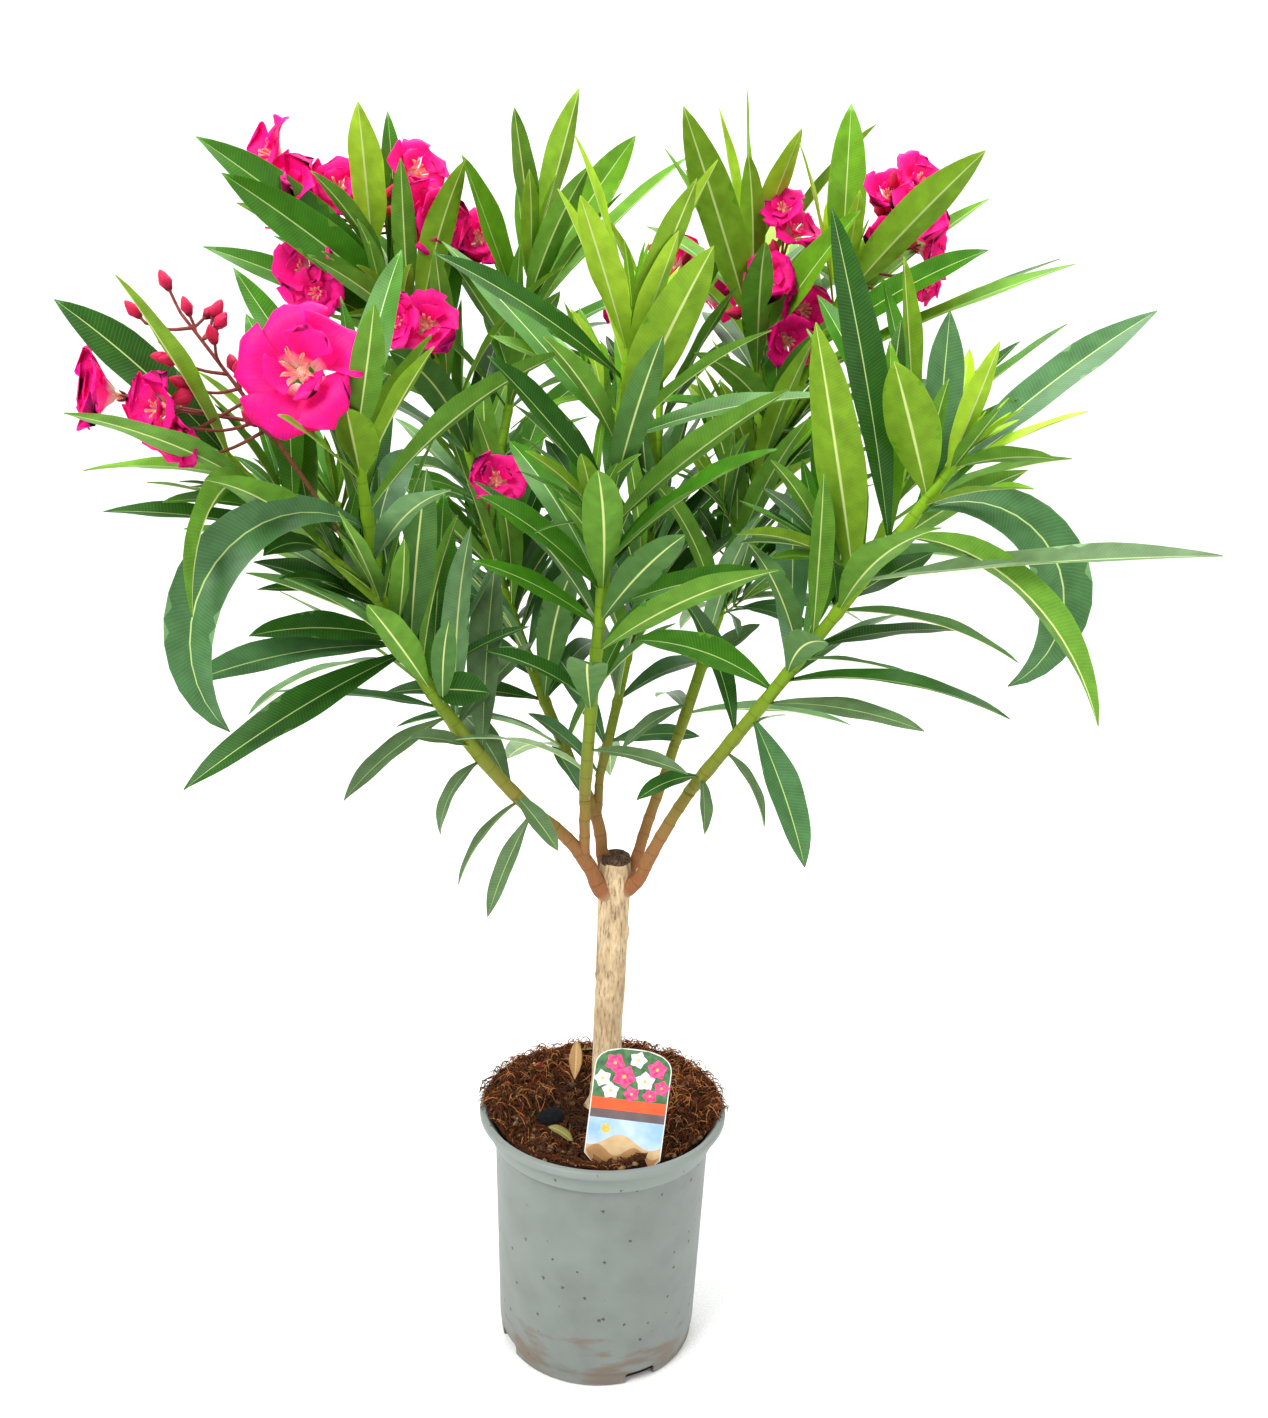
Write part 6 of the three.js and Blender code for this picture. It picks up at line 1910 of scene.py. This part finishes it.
def label_place(points):
    """Card coordinates (across, depth, up) to the leaning, tilted card in the soil."""
    tilt, lean = math.radians(LABEL_TILT), math.radians(LABEL_LEAN)
    across, depth, up = points.T
    x, up = swing(across, up, tilt), swing(up, -across, tilt)
    return np.stack((x, swing(depth, up, lean), swing(up, -depth, lean)), axis=-1) + LABEL_BASE


def card_half(height, margin=0.0):
    """Half the card's width at a height, with its arched top and cut lower corners."""
    half = LABEL_WIDTH / 2
    if height < LABEL_CHAMFER:
        half = half - (LABEL_CHAMFER - height)
    start = LABEL_HEIGHT - LABEL_ARCH
    if height > start:
        t = 1 - math.sqrt(max(1 - min((height - start) / LABEL_ARCH, 1), 0))
        half = half * (1 - t * t)
    return max(half - margin, 0.2)


def card_outline():
    heights = [*np.linspace(LABEL_CHAMFER, LABEL_HEIGHT - LABEL_ARCH, 3)]
    heights += [LABEL_HEIGHT - LABEL_ARCH * (1 - t) ** 2 for t in np.linspace(0, 1, 13)[1:-1]]
    right = [(card_half(h), h) for h in heights]
    spike = SPIKE_WIDTH / 2
    corner = [
        (spike * 0.8, -SPIKE_LENGTH * 0.6), (spike, 0), (LABEL_WIDTH / 2 - LABEL_CHAMFER, 0),
    ]
    foot = [*mirrored(corner), (0, -SPIKE_LENGTH), *corner]
    return [*foot, *right, (0, LABEL_HEIGHT), *mirrored(right)]


def mirrored(right):
    """The left side of an outline, from the top of its right side down."""
    return [(-x, z) for x, z in reversed(right)]


def gather_label():
    """The card and its print: blossom on green, two plain bands and sand hills under a pale sky."""
    form = Gathering()

    def ink(outline, layer, slot, thickness=PRINT_PROUD * 0.9):
        front = (0, LABEL_THICKNESS / 2 + PRINT_PROUD * layer, 0)
        form.plate(np.array(outline), lambda points: label_place(points - front), thickness, slot)

    ink(card_outline(), 0, 0, LABEL_THICKNESS)
    for low, high, slot in PRINT_ZONES:
        heights = np.linspace(max(low, PRINT_MARGIN), min(high, LABEL_HEIGHT - PRINT_MARGIN), 14)
        right = [(card_half(h, PRINT_MARGIN), h) for h in heights]
        ink([*right, *mirrored(right)], 1, slot)
    for layer, (base, swell, count, slot) in enumerate(HILLS):
        x = np.linspace(1, -1, HILL_STEPS)
        crest = base + swell * np.sin(count * 3 * x + slot)
        crest = np.stack((x * card_half(base - swell, PRINT_MARGIN), crest), axis=1)
        heights = [h for h in (PRINT_MARGIN, 4, 7, LABEL_CHAMFER) if h < base - swell]
        side = [(card_half(h, PRINT_MARGIN), h) for h in heights]
        ink([*mirrored(side), *side, *crest], 2 + layer, slot)
    ink(disc(*PAINTED_SUN), 2, 11)
    for x, z, radius, slot in PAINTED_BLOOMS:
        for k in range(PETALS):
            turn = z + k * TURN / PETALS
            tip = (x + math.cos(turn) * radius, z + math.sin(turn) * radius)
            ink(lens((x, z), tip, radius * 0.46), 3 + 0.1 * k, slot)
        ink(disc(x, z, radius * 0.16), 4, 11)
    return form


def lens(start, end, half, steps=7):
    """A leaf-shaped outline between two points."""
    start, end = np.array(start), np.array(end)
    along = end - start
    across = np.array((along[1], -along[0])) / np.linalg.norm(along)
    t = np.linspace(0, 1, steps)[:, None]
    swell = np.sin(math.pi * t**0.8) * half
    there = start + along * t + across * swell
    back = start + along * t - across * swell
    return np.vstack((there, back[-2:0:-1]))


def disc(x, z, radius, steps=12):
    angle = np.arange(steps) / steps * TURN
    return np.stack((x + radius * np.cos(angle), z + radius * np.sin(angle)), axis=-1)


# Colours of boughs, shoots and flower stalks by height in millimetres.
STEM_STOPS = ((390, "8f5a38"), (440, "926a3e"), (485, "7d7c2e"), (560, "72901c"), (740, "80ad1c"))
STALK_STOPS = ((630, "746c30"), (690, "7c5634"), (745, "843e38"), (900, "8c3c3e"))
LEAF_UNDERS = ("9cc22e", "789f24", "60902c", "4c7738", "6b9460", "84a274")
UNDER_RIB = "d3e08f"

# Finishes of loose parts: colour, speck, grain, share of specks, gloss and depth in metres.
FIBRE_FINISHES = {
    "coir_fibre_tan": ("ba7e4a", "301b10", 0.002, 0.35, 0.85, 0.0004),
    "coir_fibre_brown": ("54301b", "1f110a", 0.002, 0.4, 0.9, 0.0004),
    "coir_fibre_red": ("7a3a1a", "22130b", 0.002, 0.4, 0.88, 0.0004),
}
CRUMB_FINISHES = {
    "peat_crumb_dark": ("241a14", "100b08", 0.001, 0.45, 0.95, 0.0008),
    "peat_crumb_brown": ("5c4332", "2a1c13", 0.001, 0.45, 0.95, 0.0008),
    "bark_chip_tan": ("8f7052", "503827", 0.001, 0.42, 0.9, 0.0008),
    "peat_lump_black": ("16171b", "08090b", 0.002, 0.45, 0.85, 0.001),
}
LITTER_FINISHES = {
    "withered_petal": ("c42440", "7e1a28", 0.002, 0.4, 0.6, 0.0006),
    "dry_stalk": ("8a6a3e", "4d3a22", 0.002, 0.4, 0.8, 0.0004),
}
# Printing inks, in the order of the slots that the print names: two tones and a size in mm.
INKS = {
    "coated_card_white": ("f2f1ec", "e6e5de", 20),
    "coated_card_back": ("f2f1ec", "e6e5de", 20),
    "ink_sand": ("d8b98a", "c9a877", 9),
    "ink_grey_brown": ("6c5a5a", "5c4c4e", 14),
    "ink_orange": ("f05a22", "e8501c", 16),
    "ink_pale_blue": ("8fb6e8", "c9dcf0", 22),
    "ink_tan_hill": ("b98d5b", "a97c4d", 8),
    "ink_brown_hill": ("8f6b45", "7c5b3a", 8),
    "ink_pink": ("ee1f66", "f25a94", 3),
    "ink_white_petal": ("f7eef0", "f0c9d6", 3),
    "ink_leaf_green": ("2f5a38", "4c7d49", 5),
    "ink_yellow": ("f0c94a", "e0a93a", 2),
}


def speckled_finishes(table):
    return [speckled_finish(name, *values) for name, values in table.items()]


# Settings that a user would change.
def colour_setting(name, description, hex_colour):
    return bpy.props.FloatVectorProperty(
        name=name, description=description, subtype="COLOR", size=3, min=0, max=1,
        default=linear(hex_colour),
    )


def count_setting(name, description, count):
    return bpy.props.IntProperty(name=name, description=description, default=count, min=0)


def light_setting(name, description, power, unit="POWER"):
    return bpy.props.FloatProperty(
        name=name, description=description, default=power, min=0, unit=unit
    )


class OLEANDER_PG_pot(bpy.types.PropertyGroup):
    wall: colour_setting("Wall", "Colour of the pot's wall", "767d78")
    # A lighter colour for the collar and lip: a painted highlight.
    rim_highlight: colour_setting("Rim", "Colour of the collar and lip", "838b86")
    scuff: colour_setting("Scuffs", "Colour of earthy scuffs near the foot", "6e5a48")
    soil: colour_setting("Soil", "Colour of the potting mix", "301b10")
    fibres: count_setting("Fibres", "Number of fibres over the soil", 5200)
    lumps: count_setting("Lumps", "Number of crumbs and chips on the soil", 900)


class OLEANDER_PG_plant(bpy.types.PropertyGroup):
    # Leaf shades by place in the crown: the lighter ones above carry painted light through the leaves, the
    # darker and bluer ones below carry painted shade.
    young: colour_setting("Young", "Leaves at the tips", "a0c81c")
    bright: colour_setting("Bright", "Upper leaves", "5f9412")
    green: colour_setting("Green", "Leaves of the middle", "3a750e")
    deep: colour_setting("Deep", "Lower leaves", "245612")
    blue: colour_setting("Blue", "Shaded leaves", "447040")
    dull: colour_setting("Dull", "Oldest leaves", "5e7a50")
    rib: colour_setting("Rib", "Pale rib of a leaf", "b9d184")
    bark: colour_setting("Bark", "Pale bark of the trunk", "dcc299")
    petal: colour_setting("Petal", "Colour of the petals", "fb0a7a")
    throat: colour_setting("Throat", "Pale claws and throat of a bloom", "f6d9c4")
    leaf_thickness: bpy.props.FloatProperty(
        name="Leaf thickness", description="Thickness of a leaf's blade", default=0.00045,
        min=0.0001, unit="LENGTH", precision=5,
    )


class OLEANDER_PG_stage(bpy.types.PropertyGroup):
    paper: colour_setting("Paper", "Colour of floor and backdrop", "f4f4f2")
    key: light_setting("Key", "Power of the main light", 100)
    fill: light_setting("Fill", "Power of the light from the right", 18)
    backdrop: light_setting("Backdrop", "Power of the light on the backdrop", 90)
    sky: light_setting("Sky", "Strength of the even light all round", 0.62, "NONE")


class OLEANDER_PG_settings(bpy.types.PropertyGroup):
    pot: bpy.props.PointerProperty(type=OLEANDER_PG_pot)
    plant: bpy.props.PointerProperty(type=OLEANDER_PG_plant)
    stage: bpy.props.PointerProperty(type=OLEANDER_PG_stage)


CROWN = {}


def crown_of_leaves():
    """The grown plant, worked out once."""
    if not CROWN:
        CROWN.update(grow_crown())
        grow_fine(CROWN)
    return CROWN


def make_piece(form, name, finishes, slot, *nodes):
    """Builds a piece on the plant's one body, with its finishes and the solids it stands for."""
    piece = form.build(name, finishes)
    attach(piece, "root")
    if nodes:
        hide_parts(*nodes)
    return piece


def make_masses(kind, finishes, gather):
    """Makes what `gather` returns for each foliage mass into a piece of its own."""
    for mass in MASSES:
        form = gather(mass, crown_of_leaves())
        if form.count:
            make_piece(form, mass.replace("foliage", kind), finishes, "foliage", mass)


class OLEANDER_OT_pot(bpy.types.Operator):
    """Makes the nursery pot"""

    bl_idname = "oleander.pot"
    bl_label = "Pot"

    def execute(self, context):
        look = context.scene.oleander.pot
        form = Gathering()
        form.grid(lathe(pot_outline(), POT_AROUND), TURN * FOOT_RADIUS)
        finish = pot_finish("polypropylene_moulded", look.wall, look.rim_highlight, look.scuff)
        pot = make_piece(form, "nursery_pot", [finish], "pot", "pot")
        cutter = notch_cutter()
        notch = pot.modifiers.new("notches", "BOOLEAN")
        notch.operation = "DIFFERENCE"
        notch.solver = "EXACT"
        notch.object = cutter
        with context.temp_override(object=pot):
            bpy.ops.object.modifier_apply(modifier=notch.name)
        bpy.data.objects.remove(cutter)
        pot.data.set_sharp_from_angle(angle=math.radians(38))
        return {"FINISHED"}


class OLEANDER_OT_soil(bpy.types.Operator):
    """Makes the potting mix with its fibres, crumbs and litter"""

    bl_idname = "oleander.soil"
    bl_label = "Soil"

    def execute(self, context):
        look = context.scene.oleander.pot
        soil = tuple(look.soil)
        mix_look = (soil, tone(soil, 0.3), 0.0016, 0.45, 0.95, 0.002, 0.6)
        mix_finish = speckled_finish("peat_and_coir_mix", *mix_look)
        make_piece(gather_soil(), "soil_mound", [mix_finish], "soil", "soil")
        finishes = speckled_finishes(FIBRE_FINISHES)
        make_piece(gather_fibres(look.fibres), "soil_fibres", finishes, "soil")
        finishes = speckled_finishes(CRUMB_FINISHES)
        make_piece(gather_lumps(look.lumps), "soil_crumbs", finishes, "soil")
        leaves = [
            leaf_finish("dry_leaf_tan", "c49a67", "dbbd8f", "a87f50", 0.7, 0.08, 0.3),
            leaf_finish("dry_leaf_olive", "7f7a45", "a39a62", "6a5a38", 0.65, 0.08, 0.3),
        ]
        finishes = leaves + speckled_finishes(LITTER_FINISHES)
        make_piece(gather_litter(make_random(LOOK_SEED)), "soil_litter", finishes, "soil")
        return {"FINISHED"}


class OLEANDER_OT_label(bpy.types.Operator):
    """Makes the plant label with its plain generic print"""

    bl_idname = "oleander.label"
    bl_label = "Label"

    def execute(self, context):
        inks = [ink_finish(name, *values) for name, values in INKS.items()]
        label = make_piece(gather_label(), "plant_label", inks, "label", "label")
        label.data.polygons.foreach_set("use_smooth", np.zeros(len(label.data.polygons), bool))
        return {"FINISHED"}


class OLEANDER_OT_bark(bpy.types.Operator):
    """Makes the bark of the trunk and of each bough"""

    bl_idname = "oleander.bark"
    bl_label = "Trunk and boughs"

    def execute(self, context):
        bark = tuple(context.scene.oleander.plant.bark)
        old = bark_finish("oleander_bark_weathered", bark, "7a6045", 0.88, (0.0022, 0.0022, 0.011))
        stub_look = ("66503f", "2b211b", 0.0016, 0.47, 0.92, 0.0016, 0.5)
        stub = speckled_finish("sawn_stub_weathered", *stub_look)
        make_piece(gather_trunk(), "trunk_bark", [old, stub], "bark", "trunk")
        young = stem_finish("oleander_bark_ringed", STEM_STOPS, 0.7)
        rooted = stem_finish("oleander_bark_collar", STEM_STOPS, 0.7, tone(bark, 0.7))
        for seed, name in enumerate(BOUGHS):
            bough = crown_of_leaves()["limbs"][name]
            skin = rooted if bough["root"] else young
            make_piece(gather_bough(bough, 50 + seed * 7), f"{name}_bark", [skin], "bark", name)
        return {"FINISHED"}


class OLEANDER_OT_leaves(bpy.types.Operator):
    """Makes the leaves of every foliage mass"""

    bl_idname = "oleander.leaves"
    bl_label = "Leaves"

    def execute(self, context):
        look = context.scene.oleander.plant
        rib = tuple(look.rib)
        finishes = []
        for shade, under in zip(SHADES, LEAF_UNDERS):
            name, blade = f"oleander_leaf_{shade}", tuple(getattr(look, shade))
            face = (blade, rib, tone(blade, 1.8), 0.38, 0.02, 0.07)
            back = (under, UNDER_RIB, tone(under, 1.25), 0.6, 0.035, 0.06)
            finishes.append(leaf_finish(f"{name}_face", *face))
            finishes.append(leaf_finish(f"{name}_underside", *back))
        make_masses("leaves", finishes, partial(gather_leaves, thickness=look.leaf_thickness / MM))
        return {"FINISHED"}


class OLEANDER_OT_twigs(bpy.types.Operator):
    """Makes the leafy shoots and side sprigs"""

    bl_idname = "oleander.twigs"
    bl_label = "Twigs"

    def execute(self, context):
        stem = stem_finish("oleander_stem_green", STEM_STOPS, 0.5)
        make_masses("twigs", [stem], gather_twigs)
        return {"FINISHED"}


class OLEANDER_OT_blossom(bpy.types.Operator):
    """Makes the blooms, buds and their stalks"""

    bl_idname = "oleander.blossom"
    bl_label = "Blossom"

    def execute(self, context):
        look = context.scene.oleander.plant
        finishes = [
            petal_finish("oleander_petal_pink", tuple(look.petal), tuple(look.throat), 0.55),
            petal_finish("oleander_throat_peach", "f3a58c", "fbe9d8", 0.55),
            stem_finish("oleander_flower_stalk", STALK_STOPS, 0.55),
            petal_finish("oleander_bud_red", "bf1f4a", "6d1028", 0.5),
        ]
        make_masses("blossom", finishes, gather_blossom)
        return {"FINISHED"}


# Stage, in metres. The camera stands where the photograph's viewer stood.
CAMERA_PLACE = (0.014, -0.953, 0.771)
CAMERA_PITCH = 13.89
CAMERA_ROLL = -2.02
FOCAL_PIXELS = 1300
PHOTO_LONG_SIDE = 1418
SENSOR = 36
FLOOR_HALF = 6
FLOOR_BACK = 2.6
WALL_BEND = 1.2
WALL_HEIGHT = 5
CROWN_MIDDLE = (0, 0, 0.6)
TOP_SHARE = 0.5
# Lights: place, size and target.
LIGHTS = {
    "key": ((-1.5, -1.5, 2.7), 1.5, CROWN_MIDDLE),
    "fill": ((1.9, -1.4, 1.3), 1.8, CROWN_MIDDLE),
    "top": ((0.2, 0.6, 2.8), 2.0, CROWN_MIDDLE),
    "backdrop": ((0, 1.2, 3.6), 2.4, (0, 3.6, 1.2)),
}


class OLEANDER_OT_stage(bpy.types.Operator):
    """Makes floor, backdrop, lights and camera"""

    bl_idname = "oleander.stage"
    bl_label = "Stage"

    def execute(self, context):
        look = context.scene.oleander.stage
        turn = np.radians(np.linspace(0, 90, 13))
        bend = [(FLOOR_BACK + WALL_BEND * math.sin(a), WALL_BEND * (1 - math.cos(a))) for a in turn]
        line = np.array([(-FLOOR_HALF, 0), (0, 0), *bend, (FLOOR_BACK + WALL_BEND, WALL_HEIGHT)])
        xs = np.linspace(-FLOOR_HALF, FLOOR_HALF, 9)
        sheet = np.stack(np.broadcast_arrays(xs, line[:, :1], line[:, 1:]), axis=-1)[None]
        share = ring_map(sheet[..., :2])
        form = Gathering()
        form.tubes(shell(sheet / MM, 10), share, share)
        paper = (tuple(look.paper), tuple(look.paper), 0.002, 0.2, 0.95, 0.0001)
        floor = form.build("studio_floor", [speckled_finish("studio_paper_matt", *paper)])
        floor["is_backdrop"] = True
        powers = (look.key, look.fill, look.key * TOP_SHARE, look.backdrop)
        for name, power in zip(LIGHTS, powers):
            add_light(name, power, *LIGHTS[name])
        context.scene.view_settings.view_transform = "Standard"
        world = bpy.data.worlds.new("even_light")
        world.use_nodes = True
        world.node_tree.nodes.clear()
        sky = {"Color": (1, 1, 1, 1), "Strength": look.sky}
        sky = add_node(world.node_tree, "Background", sky)
        add_node(world.node_tree, "OutputWorld", {"Surface": sky})
        context.scene.world = world
        add_camera(context.scene)
        return {"FINISHED"}


def add_light(name, power, place, size, target):
    """A soft square light that looks at a target."""
    data = bpy.data.lights.new(name, "AREA")
    data.energy = power
    data.size = size
    lamp = bpy.data.objects.new(name, data)
    lamp.location = place
    aim = Vector(target) - Vector(place)
    lamp.rotation_euler = aim.to_track_quat("-Z", "Y").to_euler()
    bpy.context.scene.collection.objects.link(lamp)


def add_camera(scene):
    pitch, roll = math.radians(CAMERA_PITCH), math.radians(CAMERA_ROLL)
    backward = Vector((0, -math.cos(pitch), math.sin(pitch)))
    up = Vector((0, math.sin(pitch), math.cos(pitch)))
    right = Vector((1, 0, 0))
    data = bpy.data.cameras.new("photo_view")
    data.sensor_width = SENSOR
    data.lens = FOCAL_PIXELS / PHOTO_LONG_SIDE * SENSOR
    data.clip_start = 0.05
    data.clip_end = 50
    camera = bpy.data.objects.new("photo_view", data)
    axes = Matrix((swing(right, -up, roll), swing(up, right, roll), backward)).transposed()
    camera.matrix_world = Matrix.Translation(CAMERA_PLACE) @ axes.to_4x4()
    scene.collection.objects.link(camera)
    scene.camera = camera


class OLEANDER_PT_panel(bpy.types.Panel):
    bl_idname = "OLEANDER_PT_panel"
    bl_label = "Potted oleander"
    bl_space_type = "VIEW_3D"
    bl_region_type = "UI"
    bl_category = "Oleander"

    def draw(self, context):
        settings = context.scene.oleander
        for group in (settings.pot, settings.plant, settings.stage):
            box = self.layout.box()
            for name in group.__annotations__:
                box.prop(group, name)
        for operator in OPERATORS:
            self.layout.operator(operator.bl_idname)


OPERATORS = (
    OLEANDER_OT_pot, OLEANDER_OT_soil, OLEANDER_OT_label, OLEANDER_OT_bark, OLEANDER_OT_leaves,
    OLEANDER_OT_twigs, OLEANDER_OT_blossom, OLEANDER_OT_stage,
)
CLASSES = (
    OLEANDER_PG_pot, OLEANDER_PG_plant, OLEANDER_PG_stage, OLEANDER_PG_settings, *OPERATORS,
    OLEANDER_PT_panel,
)


def register():
    for item in CLASSES:
        bpy.utils.register_class(item)
    bpy.types.Scene.oleander = bpy.props.PointerProperty(type=OLEANDER_PG_settings)


def unregister():
    del bpy.types.Scene.oleander
    for item in reversed(CLASSES):
        bpy.utils.unregister_class(item)


def corners(box):
    return [[float(value) for value in corner] for corner in box]


def main():
    register()
    bpy.ops.oleander.pot()
    bpy.ops.oleander.soil()
    bpy.ops.oleander.label()
    bpy.ops.oleander.bark()
    bpy.ops.oleander.leaves()
    bpy.ops.oleander.twigs()
    bpy.ops.oleander.blossom()
    bpy.ops.oleander.stage()
    sizes = {"cad": corners(CAD_BOX), "visual": corners(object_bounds())}


if __name__ == "__main__":
    main()
